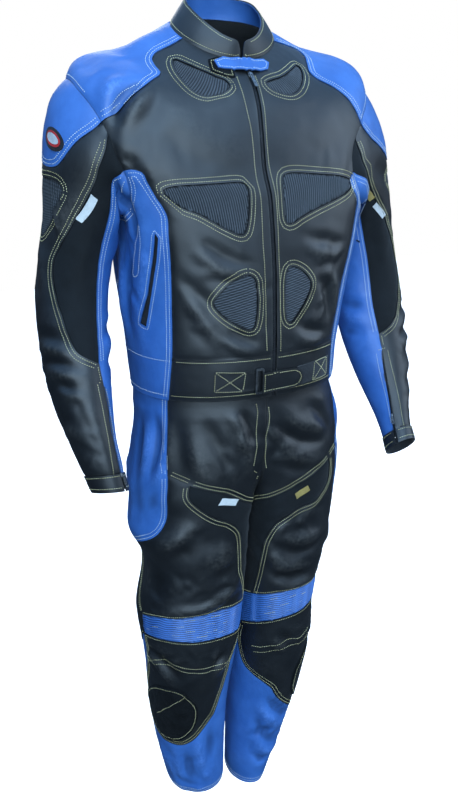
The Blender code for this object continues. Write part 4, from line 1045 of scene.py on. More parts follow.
# Groups of small wrinkles in an oval patch of a sheet, drawn from one seeded sequence.
# turn: direction in degrees, 0 across and 90 down the sheet. long, width, height in mm.
WRINKLES = table("sheet u v half_u half_v turn spread count long width height", """
0  -40 0.200  16 0.060  70 25  8  46 7 1.1
0   40 0.170  16 0.070 110 25  8  46 7 1.0
0  -22 0.420  18 0.070  35 25 12  40 6 1.3
0   24 0.420  18 0.070 145 25 12  40 6 1.3
0  -80 0.380  24 0.100  80 30 16  50 8 1.5
0   82 0.380  24 0.100 100 30 16  50 8 1.5
0  180 0.400  50 0.110   0 25 26  60 9 1.6
0  180 0.150  45 0.090  90 50 12  60 10 1.2
1   70 0.310  60 0.050   0 25 26  36 5 1.5
1   60 0.400  60 0.060   0 35 22  30 5 1.2
1   50 0.180  50 0.060  60 40 12  40 7 1.0
1  290 0.290  40 0.060   0 30 16  34 6 1.4
1  290 0.130  40 0.060  40 30 12  36 7 1.2
2   60 0.320  60 0.060   0 25 26  36 5 1.5
2   50 0.420  60 0.070   0 35 22  30 5 1.2
2   40 0.180  50 0.070  60 40 12  40 7 1.0
2  290 0.300  40 0.060   0 30 16  34 6 1.4
2  290 0.140  40 0.060  40 30 12  36 7 1.2
3    0 0.900  34 0.070  60 30 14  44 7 1.3
3   10 0.720  50 0.080   0 45 14  44 8 1.1
3   20 0.640  60 0.030   0 12 16  40 5 1.1
3   40 0.510  50 0.030   0 30 16  36 5 1.3
3  -70 0.740  40 0.080   0 40 16  44 8 1.3
3   30 0.250  50 0.080  80 40 18  44 7 1.3
3  180 0.800  60 0.120   0 40 30  56 9 1.5
3  180 0.540  60 0.080   0 25 26  46 7 1.8
3  190 0.330  60 0.120   0 50 22  50 8 1.3
4    0 0.900  34 0.070 120 30 14  44 7 1.3
4    0 0.700  50 0.080   0 35 18  44 8 1.2
4   20 0.640  60 0.030   0 12 16  40 5 1.1
4   40 0.510  50 0.030   0 30 16  36 5 1.3
4  -70 0.740  40 0.080   0 40 16  44 8 1.3
4   10 0.270  50 0.090  40 40 20  44 7 1.4
4  180 0.800  60 0.120   0 40 30  56 9 1.5
4  180 0.540  60 0.080   0 25 26  46 7 1.8
4  190 0.310  60 0.120   0 50 22  50 8 1.3
""")

# ---------------------------------------------------------------- seams and sheets
def smooth_line(points, closed=False, steps=12):
    """Dense smooth line through a few points."""
    p = np.asarray(points, float)
    n = len(p)
    out = []
    for i in range(n if closed else n - 1):
        if closed:
            a, b, c, d = p[i - 1], p[i], p[(i + 1) % n], p[(i + 2) % n]
        else:
            a, b, c, d = p[max(i - 1, 0)], p[i], p[i + 1], p[min(i + 2, n - 1)]
        for k in range(steps):
            t = k / steps
            out.append(0.5 * (2 * b + (c - a) * t + (2 * a - 5 * b + 4 * c - d) * t * t
                              + (3 * b - a - 3 * c + d) * t**3))
    out.append(p[0] if closed else p[-1])
    return np.array(out)


def run(xyz):
    """Length along a line of points, up to each of them."""
    return np.r_[0, np.cumsum(np.linalg.norm(np.diff(xyz, axis=0), axis=1))]


def resample(surface, line, step, closed=False):
    """Points along a line on a surface, evenly spaced in space."""
    length = run(surface(line[:, 0], line[:, 1]))
    count = max(int(round(length[-1] / step)), 4 if closed else 1)
    at = np.linspace(0, length[-1], count + 1)
    return np.stack([np.interp(at, length, line[:, 0]), np.interp(at, length, line[:, 1])], -1)


def inside(points, outline):
    """Which points lie inside a closed outline."""
    low, high = outline.min(0), outline.max(0)
    near = np.all((points >= low) & (points <= high), axis=1)
    hit = np.zeros(len(points), bool)
    x, y = points[near, 0], points[near, 1]
    part = np.zeros(len(x), bool)
    n = len(outline)
    for i in range(n):
        x1, y1 = outline[i]
        x2, y2 = outline[(i + 1) % n]
        if y1 == y2:
            continue
        cross = (y1 > y) != (y2 > y)
        part ^= cross & (x < (x2 - x1) * (y - y1) / (y2 - y1) + x1)
    hit[near] = part
    return hit


def join(*lines):
    """One closed outline from lines that follow each other."""
    out = []
    for line in lines:
        for p in np.asarray(line, float):
            if not out or np.hypot(*(out[-1] - p)) > 1e-7:
                out.append(p)
    if np.hypot(*(out[0] - out[-1])) < 1e-7:
        out.pop()
    return np.array(out)


def unit(vectors):
    return vectors / np.maximum(np.linalg.norm(vectors, axis=-1, keepdims=True), 1e-12)


def ease(share):
    """A share from 0 to 1 with soft ends."""
    return share * share * (3 - 2 * share)


def surface_normal(surface, u, v, outward):
    """Unit normals that point away from the inside of the cloth."""
    eu, ev = 0.2, 0.0008
    du = surface(u + eu, v) - surface(u - eu, v)
    dv = surface(u, v + ev) - surface(u, v - ev)
    return unit(np.cross(du, dv) * outward)


def tree_of(points):
    """Search tree of points in space."""
    tree = kdtree.KDTree(len(points))
    for i, p in enumerate(points):
        tree.insert(Vector(p), i)
    tree.balance()
    return tree


def nearest(tree, points):
    """Distance to, and index of, the nearest point of a tree."""
    found = [tree.find(Vector(p))[1:] for p in points]
    return np.array([f[1] for f in found]), np.array([f[0] for f in found])


def skin_of(points, tris):
    """Search tree of a triangle mesh."""
    return bvhtree.BVHTree.FromPolygons([Vector(p) for p in points],
                                        [tuple(int(k) for k in tri) for tri in tris])


def flat3(points):
    """Points of a flat sheet with a third coordinate."""
    return np.column_stack([points, np.zeros(len(points))])


SHARED = []             # seam points whose wall direction is the mean of two surfaces
CALM = []               # places where the cloth keeps the frame's form: sliders and buckle
CALM_REACH = 0.030       # how far around them the folds fade out
POINT_GAP = 0.0009       # points of ribs closer together than this are one
SHARED_REACH = 0.0015    # how near a seam point takes a shared direction
SKIN_REACH = 0.030       # how far the finished cloth is looked for
SHEETS = {}


class Sheet:
    """A surface cut into pieces that share the points of every seam."""

    def __init__(self, name, surface, wide, outward, tall=1.0):
        self.name = name
        self.surface = surface
        self.wide = wide            # metres for one degree, for even triangles
        self.tall = tall            # metres for one unit down the surface
        self.outward = outward
        self.lines = []             # seam points, and the start of the upper piece's name
        self.pieces = []
        self.ribbed = []            # outlines that have their own rows of points
        self.outer = []             # outer faces of the finished pieces, layers left out
        SHEETS[name] = self

    def line(self, points, top="", step=MESH_STEP, smooth=True):
        """A seam line, kept at even points."""
        pts = smooth_line(points) if smooth and len(points) > 2 else np.asarray(points, float)
        if len(pts) == 2:
            pts = np.linspace(pts[0], pts[1], 25)
        return self.keep(resample(self.surface, pts, step), top)

    def keep(self, pts, top=""):
        """A seam line whose points stay as they are."""
        self.lines.append((np.asarray(pts, float), top))
        return np.asarray(pts, float)

    def loop(self, points, top="", step=MESH_STEP, smooth=True):
        """A closed seam line."""
        pts = np.asarray(points, float)
        if smooth:
            pts = resample(self.surface, smooth_line(pts, closed=True), step, closed=True)
        else:
            sides = []
            for i in range(len(pts)):
                a, b = pts[i], pts[(i + 1) % len(pts)]
                sides.append(resample(self.surface, np.linspace(a, b, 12), step)[:-1])
            pts = np.concatenate(sides + [pts[:1]])
        self.keep(pts, top)
        return pts[:-1]

    def metric(self, u, v):
        """Metres for one degree and for one unit down, at a place."""
        u, v = np.atleast_1d(u).astype(float), np.atleast_1d(v).astype(float)
        du = self.surface(u + 0.5, v) - self.surface(u - 0.5, v)
        dv = self.surface(u, v + 0.001) - self.surface(u, v - 0.001)
        return np.linalg.norm(du, axis=-1), np.linalg.norm(dv, axis=-1) / 0.002

    def piece(self, name, outline, wall, look, holes=(), lift=0.0, offset=SEAM_GAP / 2,
              relief=None, held="stretched"):
        """A piece of cloth inside an outline, its outer face lifted off the surface."""
        self.pieces.append(dict(name=name, outline=np.asarray(outline), wall=wall, look=look,
                                holes=holes, lift=lift, offset=offset, relief=relief,
                                held=held))

    def ribs(self, outline, pitch, step, upright=True, wave=None):
        """Rows of points for ribs of a pitch: upright ones, or waves across the sheet."""
        low, high = outline.min(0), outline.max(0)
        mid = (low + high) / 2
        wide, tall = self.metric(*mid)
        du, dv = (pitch / 2 / wide[0], step / tall[0]) if upright else (step / wide[0],
                                                                       pitch / 2 / tall[0])
        us = mid[0] + du * np.arange(math.floor((low[0] - mid[0]) / du),
                                     math.ceil((high[0] - mid[0]) / du) + 1)
        more = 2 + (math.ceil(np.abs(wave(us)).max() / dv) if wave else 0)
        vs = mid[1] + dv * np.arange(math.floor((low[1] - mid[1]) / dv) - more,
                                     math.ceil((high[1] - mid[1]) / dv) + more + 1)
        grid_u, grid_v = np.meshgrid(us, vs)
        grid_v = grid_v + (wave(grid_u) if wave else 0)
        pts = np.stack([grid_u.ravel(), grid_v.ravel()], -1)
        self.ribbed.append((outline, pts[inside(pts, outline)]))

        def phase(u, v):
            along = (u - mid[0]) / du if upright else (v - (wave(u) if wave else 0) - mid[1]) / dv
            return np.cos(math.pi * along)
        return phase

    def triangulate(self):
        """One mesh of the sheet, every seam line along its edges."""
        scale = np.array([self.wide, self.tall])
        points, index, edges, seam_of = [], {}, [], {}
        for number, (line, _) in enumerate(self.lines):
            last = None
            for p in line:
                key = (round(p[0], 5), round(p[1], 7))
                if key not in index:
                    index[key] = len(points)
                    points.append(p)
                here = index[key]
                seam_of.setdefault(here, set()).add(number)
                if last is not None and last != here:
                    edges.append((last, here))
                last = here
        seams = np.array(points) * scale
        tree = tree_of(flat3(seams))
        rows = []
        for line, _ in self.lines:
            flat = line * scale
            along = unit(np.gradient(flat, axis=0))
            across = np.stack([-along[:, 1], along[:, 0]], -1)
            for turn in (-1, 1):
                rows.append(flat + across * turn * SEAM_ROW)
        rows = np.concatenate(rows)
        away, _ = nearest(tree, flat3(rows))
        rows = rows[away > SEAM_ROW * 0.8]
        low, high = seams.min(0), seams.max(0)
        step = MESH_STEP
        ys = np.arange(low[1] - step, high[1] + step, step * 0.87)
        xs = np.arange(low[0] - step, high[0] + step, step)
        grid = np.concatenate([np.stack([xs + (step / 2 if i % 2 else 0), np.full(len(xs), y)], -1)
                               for i, y in enumerate(ys)])
        away, _ = nearest(tree, flat3(grid))
        grid = grid[away > SEAM_ROW + step * 0.45]
        extra = []
        for outline, pts in self.ribbed:
            grid = grid[~inside(grid / scale, outline)]
            rows = rows[~inside(rows / scale, outline)]
            away, _ = nearest(tree, flat3(pts * scale))
            extra.append((pts * scale)[away > POINT_GAP])
        flat = np.concatenate([seams, rows, grid] + extra)
        tidy = {}
        for p in flat[len(seams):]:
            tidy.setdefault((round(p[0] / POINT_GAP), round(p[1] / POINT_GAP)), p)
        flat = np.concatenate([seams, np.array(list(tidy.values()))])
        verts, _, faces, origin, _, _ = delaunay_2d_cdt([Vector(p) for p in flat], edges, [],
                                                        0, 1e-7)
        self.uv = np.array([[p.x, p.y] for p in verts]) / scale
        self.tris = np.array([list(f) for f in faces])
        self.seam_of = {i: set().union(*(seam_of.get(o, set()) for o in src))
                        for i, src in enumerate(origin)
                        if any(o in seam_of for o in src)}
        self.at = self.surface(self.uv[:, 0], self.uv[:, 1])
        self.normal = surface_normal(self.surface, self.uv[:, 0], self.uv[:, 1], self.outward)
        if SHARED:
            tree = tree_of([p for p, _ in SHARED])
            for i in self.seam_of:
                _, k, far = tree.find(Vector(self.at[i]))
                if far < SHARED_REACH:
                    self.normal[i] = SHARED[k][1]
        self.middle = self.uv[self.tris].mean(1)
        tri = self.at[self.tris]
        facing = np.cross(tri[:, 1] - tri[:, 0], tri[:, 2] - tri[:, 0])
        if np.sum(facing * self.normal[self.tris].mean(1)) < 0:
            self.tris = self.tris[:, [0, 2, 1]]
        self.rise = np.zeros(len(self.uv))
        self.form = np.zeros(len(self.uv))

    def calm(self):
        """Share of the folds that each point takes: none at a slider or buckle."""
        share = np.ones(len(self.at))
        for place in CALM:
            far = np.linalg.norm(self.at - place, axis=1)
            share = np.minimum(share, np.clip(far / CALM_REACH - 0.35, 0, 1))
        return ease(share)


FOLD_SHEETS = ("body", "arm_r", "arm_l", "leg_r", "leg_l")     # as WRINKLES numbers them
FOLD_SEED = 7


def fold_lines():
    """All folds as sheet, points, height, width and lean, in metres."""
    folds = []
    for row in FOLDS.strip().splitlines():
        head, tail = row.split(":")
        name, height, width, lean = head.split()
        pts = np.array([[float(x) for x in pair.split()] for pair in tail.split(",")])
        folds.append((name, pts, float(height) / 1000, float(width) / 1000, float(lean)))
    random = np.random.default_rng(FOLD_SEED)
    for row in zip(*WRINKLES.values()):
        number, u, v, half_u, half_v, turn, spread, count, long, width, height = row
        sheet = SHEETS[FOLD_SHEETS[int(number)]]
        for _ in range(int(count)):
            angle, share = random.uniform(0, 2 * math.pi), math.sqrt(random.uniform(0, 1))
            cu, cv = u + half_u * share * math.cos(angle), v + half_v * share * math.sin(angle)
            way = math.radians(turn + random.normal(0, spread))
            size = long / 1000 * random.uniform(0.5, 1.25)
            bend = random.uniform(-0.25, 0.25)
            wide, tall = (m[0] for m in sheet.metric(cu, cv))
            s = np.linspace(-0.5, 0.5, 5)
            a = s * size * math.cos(way) - bend * (s * s) * size * math.sin(way)
            b = s * size * math.sin(way) + bend * (s * s) * size * math.cos(way)
            pts = np.stack([cu + a / wide, cv + b / tall], -1)
            sign = 1 if random.uniform() > 0.5 else -1
            folds.append((sheet.name, pts, sign * height / 1000 * random.uniform(0.5, 1.3),
                          width / 1000 * random.uniform(0.7, 1.2), random.uniform(-0.5, 0.5)))
    return folds


SHAPE_WIDTH = 0.024      # folds this broad shape the shoulder and are no creases
ARM_FOLDS = 0.52         # the arms' folds are shallower than the body's
SOFT_RISE, SOFT_TURNS = 0.0009, 14     # soft unevenness: height, and turns in a metre
FINE_RISE, FINE_TURNS = 0.0004, 45


def raise_folds(sheets):
    """Add every fold, and a soft unevenness, to the rise of the sheets' points."""
    at = np.concatenate([s.at for s in sheets])
    normal = np.concatenate([s.normal for s in sheets])
    rise = np.zeros(len(at))
    form = np.zeros(len(at))      # the part of the rise that is shape, not a crease
    for name, line, height, width, lean in fold_lines():
        sheet = SHEETS[name]
        line = resample(sheet.surface, smooth_line(line, steps=8), max(width * 0.6, 0.004))
        p = sheet.surface(line[:, 0], line[:, 1])
        m = surface_normal(sheet.surface, line[:, 0], line[:, 1], sheet.outward)
        reach = width * 3.6
        near = np.where(np.all((at > p.min(0) - reach) & (at < p.max(0) + reach), axis=1))[0]
        if not len(near):
            continue
        q = at[near][:, None, :]
        a, b = p[:-1][None], p[1:][None]
        way = b - a
        size = np.maximum(np.sum(way * way, -1), 1e-12)
        t = np.clip(np.sum((q - a) * way, -1) / size, 0, 1)
        off = q - a - t[..., None] * way
        middle = (m[:-1] + m[1:])[None] / 2
        off = off - np.sum(off * middle, -1, keepdims=True) * middle
        far = np.linalg.norm(off, axis=-1)
        k = np.argmin(far, axis=1)
        pick = np.arange(len(near))
        far = far[pick, k]
        along = (k + t[pick, k]) / (len(p) - 1)
        side = np.sign(np.sum(np.cross(middle[0, k], way[0, k]) * off[pick, k], -1))
        taper = np.sin(math.pi * np.clip(along, 0.02, 0.98))**0.7
        facing = np.clip(np.sum(normal[near] * middle[0, k], -1) * 2 - 0.4, 0, 1)
        broad = width * (0.72 + 0.28 * taper) * (1 + 0.45 * lean * side)
        shape = np.exp(-(far / broad)**2) - 0.28 * np.exp(-((far - 1.9 * broad) / broad)**2)
        gain = ARM_FOLDS if name.startswith("arm") else 1.0
        raised = gain * height * taper * facing * shape
        rise[near] += raised
        if width >= SHAPE_WIDTH:
            form[near] += raised
    soft = np.array([noise.fractal(Vector(p) * SOFT_TURNS, 1.0, 2.0, 2) for p in at])
    fine = np.array([noise.fractal(Vector(p) * FINE_TURNS, 1.0, 2.0, 2) for p in at])
    rise += SOFT_RISE * soft + FINE_RISE * fine
    start = 0
    for s in sheets:
        s.rise = rise[start:start + len(s.at)] * s.calm()
        s.form = form[start:start + len(s.at)] * s.calm()
        start += len(s.at)


def rim(tris):
    """Directed edges that bound a set of triangles."""
    seen = {}
    for a, b, c in tris:
        for p, q in ((a, b), (b, c), (c, a)):
            if (q, p) in seen:
                del seen[(q, p)]
            else:
                seen[(p, q)] = True
    return list(seen)


UPPER_EDGE = 0.0004      # a lapped panel's edge stands this much proud
LOWER_EDGE = -0.0011     # and the panel under it is pressed down by this
PLAIN_EDGE = -0.0009     # both edges of a seam with no lap
FREE_EDGE = -0.0004      # rounding of a free edge
EDGE_REACH = 0.0032      # how far the seam's dip reaches
PILLOW = 0.0007          # how far a panel swells between its seams
PILLOW_REACH = 0.014


def edge_rise(sheet, name, used, edges):
    """Rise of a piece's points near its rim, and their distance from it."""
    rim_points = sorted({p for e in edges for p in e})
    level = {}
    for p in rim_points:
        tops = {sheet.lines[k][1] for k in sheet.seam_of.get(int(used[p]), ())}
        if any(t and name.startswith(t) for t in tops):
            level[p] = UPPER_EDGE
        elif "free" in tops:
            level[p] = FREE_EDGE
        elif any(t for t in tops):
            level[p] = LOWER_EDGE
        else:
            level[p] = PLAIN_EDGE
    at = sheet.at[used]
    tree = tree_of(at[rim_points])
    far, which = nearest(tree, at)
    height = np.array([level[rim_points[k]] for k in which])
    uneven = np.array([noise.noise(Vector(p) * 90) for p in at])
    height = height * (1 + 0.5 * uneven)
    height = height * np.exp(-(far / EDGE_REACH)**2)
    return height + PILLOW * (1 - np.exp(-(far / PILLOW_REACH)**2)), far


TUCK_LOW, TUCK_HIGH, TUCK_DEEP = 0.958, 0.975, 0.0016   # trouser top hidden in the jacket
HEM_DEEP = 0.0006        # folds go no deeper than this at the hem band
RELIEF_REACH = 0.002     # ribs fade out over this at a piece's rim


def inset(at, normal, edges):
    """Way into its piece for each rim point, longer at corners."""
    ways = {}
    for p, q in edges:
        along = at[q] - at[p]
        along /= max(np.linalg.norm(along), 1e-12)
        inward = np.cross(normal[p] + normal[q], along)
        inward /= max(np.linalg.norm(inward), 1e-12)
        for k in (p, q):
            ways.setdefault(k, []).append(inward)
    pull = np.zeros_like(at)
    for k, dirs in ways.items():
        total = np.sum(dirs, axis=0)
        pull[k] = total / max(np.dot(total, total) / len(dirs), 0.35)
    return pull


def own_half(sheet, points):
    """Points of a trouser half kept on their side of the middle plane."""
    if sheet.name.startswith("leg"):
        turn = LEFT if sheet.name.endswith("l") else RIGHT
        points[:, 0] = turn * np.maximum(turn * points[:, 0], SEAM_GAP / 3)
    return points


def shell_faces(tris, edges, n):
    """Faces of a closed shell: outer side, inner side of points n further on, and rim."""
    return ([tuple(t) for t in tris] + [(c + n, b + n, a + n) for a, b, c in tris]
            + [(q, p, p + n, q + n) for p, q in edges])


def attach(obj, name, data):
    """One vector for each point, for the materials to read."""
    layer = obj.data.attributes.new(name, "FLOAT_VECTOR", "POINT")
    layer.data.foreach_set("vector", data.astype(np.float32).ravel())


def add_piece(sheet, piece):
    """The closed shell of one piece of cloth."""
    pick = inside(sheet.middle, piece["outline"])
    for hole in piece["holes"]:
        pick &= ~inside(sheet.middle, hole)
    tris = sheet.tris[pick]
    used = np.unique(tris)
    back = np.full(len(sheet.uv), -1)
    back[used] = np.arange(len(used))
    tris = back[tris]
    u, v = sheet.uv[used, 0], sheet.uv[used, 1]
    at, normal = sheet.at[used], sheet.normal[used]
    edges = rim(tris)
    lift = piece["lift"]
    lift = lift(u, v) if callable(lift) else lift
    height, far = edge_rise(sheet, piece["name"], used, edges)
    if piece["relief"]:
        height = height + piece["relief"](u, v) * (1 - np.exp(-(far / RELIEF_REACH)**2))
    rise = sheet.rise[used] + height
    if sheet.name.startswith("leg"):
        under = np.clip((v - TUCK_LOW) / (TUCK_HIGH - TUCK_LOW), 0, 1)
        rise = rise * (1 - under) - TUCK_DEEP * under
    elif sheet.name == "body":
        rise = np.where(v > HEM_BAND_TOP, np.maximum(rise, -HEM_DEEP), rise)
    rise = rise + lift
    outer = own_half(sheet, at + inset(at, normal, edges) * piece["offset"]
                     + normal * rise[:, None])
    inner = own_half(sheet, outer - normal * piece["wall"])
    obj = add_object("cloth_" + piece["name"], np.concatenate([outer, inner]),
                     shell_faces(tris, edges, len(at)), piece["look"])
    if piece["look"] in LINED and piece["name"] != "collar_lining":
        obj.data.materials.append(material("lining"))
        obj.data.polygons.foreach_set("material_index", [0] * len(tris) + [1] * len(tris)
                                      + [0] * len(edges))
    folds = np.tile(rise - lift - sheet.form[used], 2)
    wide, tall = sheet.metric(u, v)
    middle = sheet.metric(u.mean(), v.mean())[0][0]
    plan = flat3(np.tile(np.column_stack([u * middle, v * sheet.tall]), (2, 1)))
    furrow = piece["relief"](u, v) / RIB_DEPTH if piece["relief"] else 0 * u
    facts = np.column_stack([np.tile(far, 2), folds, np.tile(furrow, 2)])
    attach(obj, "plan", plan)
    attach(obj, "facts", facts)
    tri = at[tris]
    area = np.linalg.norm(np.cross(tri[:, 1] - tri[:, 0], tri[:, 2] - tri[:, 0]), axis=1).sum() / 2
    place(obj, piece["name"])
    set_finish(obj, SLOT_OF.get(piece["look"], piece["look"]))
    declare(u, v, wide, tall, area)
    piece["skin"] = skin_of(outer, tris)
    if piece["offset"]:
        sheet.outer.append((outer, tris))


LEAST_CUT = 0.0102       # no cut worked out is shorter or narrower
FULLEST, THINNEST = 0.98, 0.31     # share of its rectangle that a worked-out area takes


def declare(u, v, wide, tall, area):
    """Work out the flat cut of a piece, its size along and across and its area, and keep none of
    it.
    """
    length = (v.max() - v.min()) * tall.mean()
    across = 0.0
    down = v.max() - v.min()
    for k in range(12):
        row = np.abs(v - (v.min() + (k + 0.5) / 12 * down)) < down / 20
        if row.sum() > 1:
            across = max(across, (u[row].max() - u[row].min()) * wide[row].mean())
    across = max(across, area / length / 0.95, LEAST_CUT)
    length = max(length, LEAST_CUT, area / across / FULLEST)
    area = max(area, THINNEST * across * length)


def place(obj, node=None):
    """Let a piece ride on the suit, in place of a CAD node if one is named."""
    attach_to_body(obj, "suit")
    if node:
        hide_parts(node)


def add_object(name, points, faces, look, smooth=True):
    mesh = bpy.data.meshes.new(name)
    mesh.from_pydata([tuple(map(float, p)) for p in points], [], faces)
    mesh.materials.append(material(look))
    if smooth:
        mesh.shade_smooth()
        mesh.set_sharp_from_angle(angle=math.radians(55))
    mesh.update()
    obj = bpy.data.objects.new(name, mesh)
    bpy.context.scene.collection.objects.link(obj)
    return obj


def finish_sheet(sheet):
    for piece in sheet.pieces:
        add_piece(sheet, piece)
    points, faces, start = [], [], 0
    for outer, tris in sheet.outer:
        points.append(outer)
        faces.append(tris + start)
        start += len(outer)
    sheet.skin = skin_of(np.concatenate(points), np.concatenate(faces))


# ---------------------------------------------------------------- stitches
STITCH_PITCH = 0.0033
STITCH_LONG = 0.0023
THREAD = 0.00052         # half thickness of a stitch
THREAD_WIDE = 1.15       # its width over its thickness
THREAD_END = 0.0005      # how deep its ends go into the cloth
ROW_KEEP = 0.86          # points of a row nearer to the seam than this share are left out
STITCHES = {}


def offset_line(sheet, line, away, toward, closed=False):
    """The line moved sideways on its sheet, toward a place, by a distance in metres."""
    u, v = line[:, 0], line[:, 1]
    wide, tall = sheet.metric(u, v)
    if closed:
        du = np.roll(u, -1) - np.roll(u, 1)
        dv = np.roll(v, -1) - np.roll(v, 1)
    else:
        du, dv = np.gradient(u), np.gradient(v)
    a, b = du * wide, dv * tall
    size = np.maximum(np.hypot(a, b), 1e-9)
    side_u, side_v = -b / size, a / size
    k = np.argmin(((u - toward[0]) * wide)**2 + ((v - toward[1]) * tall)**2)
    sign = np.sign((toward[0] - u[k]) * wide[k] * side_u[k]
                   + (toward[1] - v[k]) * tall[k] * side_v[k])
    out = np.stack([u + sign * away * side_u / wide, v + sign * away * side_v / tall], -1)
    far, _ = nearest(tree_of(sheet.surface(u, v)), sheet.surface(out[:, 0], out[:, 1]))
    return out[far > abs(away) * ROW_KEEP]


def stitch(sheet, line, colour, away=0.0, toward=None, piece=None, closed=False, trim=0.003):
    """A row of stitches laid on the finished cloth."""
    line = np.asarray(line, float)
    if away:
        line = offset_line(sheet, line, away, toward, closed)
    if len(line) < 2:
        return
    if closed:
        line = np.vstack([line, line[:1]])
        trim = 0.0
    xyz = sheet.surface(line[:, 0], line[:, 1])
    length = run(xyz)
    if length[-1] < 2 * trim + STITCH_LONG:
        return
    count = int((length[-1] - 2 * trim) / STITCH_PITCH)
    skin = piece["skin"] if piece else sheet.skin
    rows = STITCHES.setdefault((colour, sheet.name), [])
    for i in range(count):
        s = trim + (i + 0.5) * STITCH_PITCH
        ends = []
        for shift in (-0.5, 0.5):
            at = s + shift * STITCH_LONG
            p = Vector([np.interp(at, length, xyz[:, k]) for k in range(3)])
            hit = skin.find_nearest(p, SKIN_REACH)
            if hit[0] is not None:
                ends.append((hit[0], hit[1]))
        if len(ends) == 2 and (ends[1][0] - ends[0][0]).length < 2 * STITCH_LONG:
            rows.append((ends[0][0], ends[1][0], (ends[0][1] + ends[1][1]).normalized()))


def build_stitches():
    """All rows of one colour on one sheet as one mesh of small rounded capsules."""
    for (colour, sheet), rows in STITCHES.items():
        points, faces = [], []
        for a, b, out in rows:
            along = (b - a).normalized()
            across = out.cross(along)
            mid = (a + b) / 2 + out * 0.00005
            half = (b - a).length / 2
            start = len(points)
            points.append(mid - along * half - out * THREAD_END)
            for share in (-0.62, 0.62):
                for k in range(4):
                    turn = math.radians(45 + 90 * k)
                    points.append(mid + along * half * share
                                  + across * math.cos(turn) * THREAD * THREAD_WIDE
                                  + out * math.sin(turn) * THREAD)
            points.append(mid + along * half - out * THREAD_END)
            for k in range(4):
                n = (k + 1) % 4
                faces.append((start, start + 1 + n, start + 1 + k))
                faces.append((start + 1 + k, start + 1 + n, start + 5 + n, start + 5 + k))
                faces.append((start + 9, start + 5 + k, start + 5 + n))
        obj = add_object("stitches_%s_%s" % (colour, sheet), points, faces, "thread_" + colour,
                         smooth=False)
        obj.data.shade_smooth()
        place(obj)


# ---------------------------------------------------------------- jacket body
def pairs(rows):
    """Angle and way down the sheet of each row of a table."""
    return np.stack([rows["psi" if "psi" in rows else "phi"],
                     rows["z" if "z" in rows else "v"]], -1)


def mirrored(rows, side):
    """The same for a table of the jacket, on the side's own half."""
    return pairs(rows) * np.array([side, 1.0])


ARC_STEP = 3.0          # degrees between points round an armhole
SINGLE = (0.0032,)      # distances of stitch rows from a seam
DOUBLE = (0.0032, 0.0086)
WIDE = (0.0042, 0.0094)
SIDE = (0.0038, 0.0090)
KNIT_ROWS = (-DOUBLE[0], -DOUBLE[1])
HEM = (0.0085,)
RIB_PITCH = 0.0036
RIB_DEPTH = 0.00065
RIB_STEP = 0.0042       # spacing of the points along a rib
BACK_MARK = 0.511       # way down to the row above the hem at the sides and back
TURN = np.array([360.0, 0.0])      # once round a sheet
BELLY_SLOPE = 0.0008     # how far the belly ribs rise toward the wearer's left, a degree


def arm_arc(side, start, end):
    """Armhole points from one sleeve angle to another."""
    low, high = min(start, end), max(start, end)
    psi = np.arange(low, high + 0.1, ARC_STEP)
    arc = np.stack(armhole(side, psi), -1)
    return arc if end > start else arc[::-1]


def neck_arc(start, end, marks=()):
    """Neckline points between two angles, the marks among them."""
    count = max(int(abs(end - start) / 3.4), 2)
    phis = np.unique(np.round(np.r_[np.linspace(start, end, count + 1), list(marks)], 6))
    return np.stack([phis, 0 * phis], -1)


def zip_edge(v, sign):
    """Angle of one edge of the front zip."""
    centre = spline(ZIP_LINE["v"], ZIP_LINE["phi"], v)
    half = section(BODY, "v", v)["half"]
    return centre + sign * np.degrees(ZIP_HALF / half)


def centre_rows(surface):
    """The centre seam of the trousers from the waist to the crotch."""
    z = TROUSER_TOP - (TROUSER_TOP - CROTCH) * (1 - (1 - np.linspace(0, 1, 240))**2)
    phi = centre_seam(z)
    phi[-1] = -90.0
    return resample(surface, np.stack([phi, z], -1), MESH_STEP)


def share_seams():
    """Give both sides of the neckline, armholes and centre seam one wall direction."""
    phi = np.arange(-180.0, 180.0, 0.4)
    n = (surface_normal(body, phi, 0 * phi + 0.001, -1)
         + surface_normal(collar, phi, 0 * phi + 0.02, 1))
    SHARED.extend(zip(body(phi, 0 * phi), unit(n)))
    for side in (RIGHT, LEFT):
        psi = np.arange(float(UNDER_FRONT), UNDER_FRONT + 360.1, ARC_STEP)
        phi, v = armhole(side, psi)
        a = surface_normal(body, phi, v, -1)
        b = surface_normal(lambda p, q: sleeve(side, p, q), psi, 0 * psi + 0.0008, -side)
        SHARED.extend(zip(body(phi, v), unit(a + b)))

        def surface(p, q, side=side):
            return leg(side, p, q)
        rows = centre_rows(surface)
        for turn in (1, -1):
            phi = 90 + turn * (rows[:, 0] - 90)
            n = surface_normal(surface, phi, rows[:, 1], side)
            n[:, 0] = 0.0
            SHARED.extend(zip(surface(phi, rows[:, 1]), unit(n)))


ROWS = []               # stitch rows, laid when the sheet's pieces are finished


def rows(sheet, line, colour, toward=None, away=(0,), **more):
    """Plan stitch rows beside a line, on the side of a place."""
    for far in away:
        ROWS.append((sheet, line, colour, far, toward, dict(more)))


def lay_rows():
    """Lay the planned rows on the finished cloth, or over one named piece."""
    for sheet, line, colour, far, toward, more in ROWS:
        over = more.pop("over", None)
        found = [p for p in sheet.pieces if p["name"] == over]
        stitch(sheet, line, colour, far, toward, found[0] if found else None, **more)


# Rows down both sides of the front zip.
ZIP_ROWS = ([(-10, 0.0294), (-4.7, 0.1239), (-5.1, 0.2388), (-6.8, 0.3402), (-6.2, 0.4078),
             (-5.9, 0.4618), (-5.1, 0.5051)],
            [(5.2, 0.0272), (1.3, 0.1242), (1.1, 0.2225), (0.4, 0.3509), (1.2, 0.4096),
             (2.6, 0.5082)])


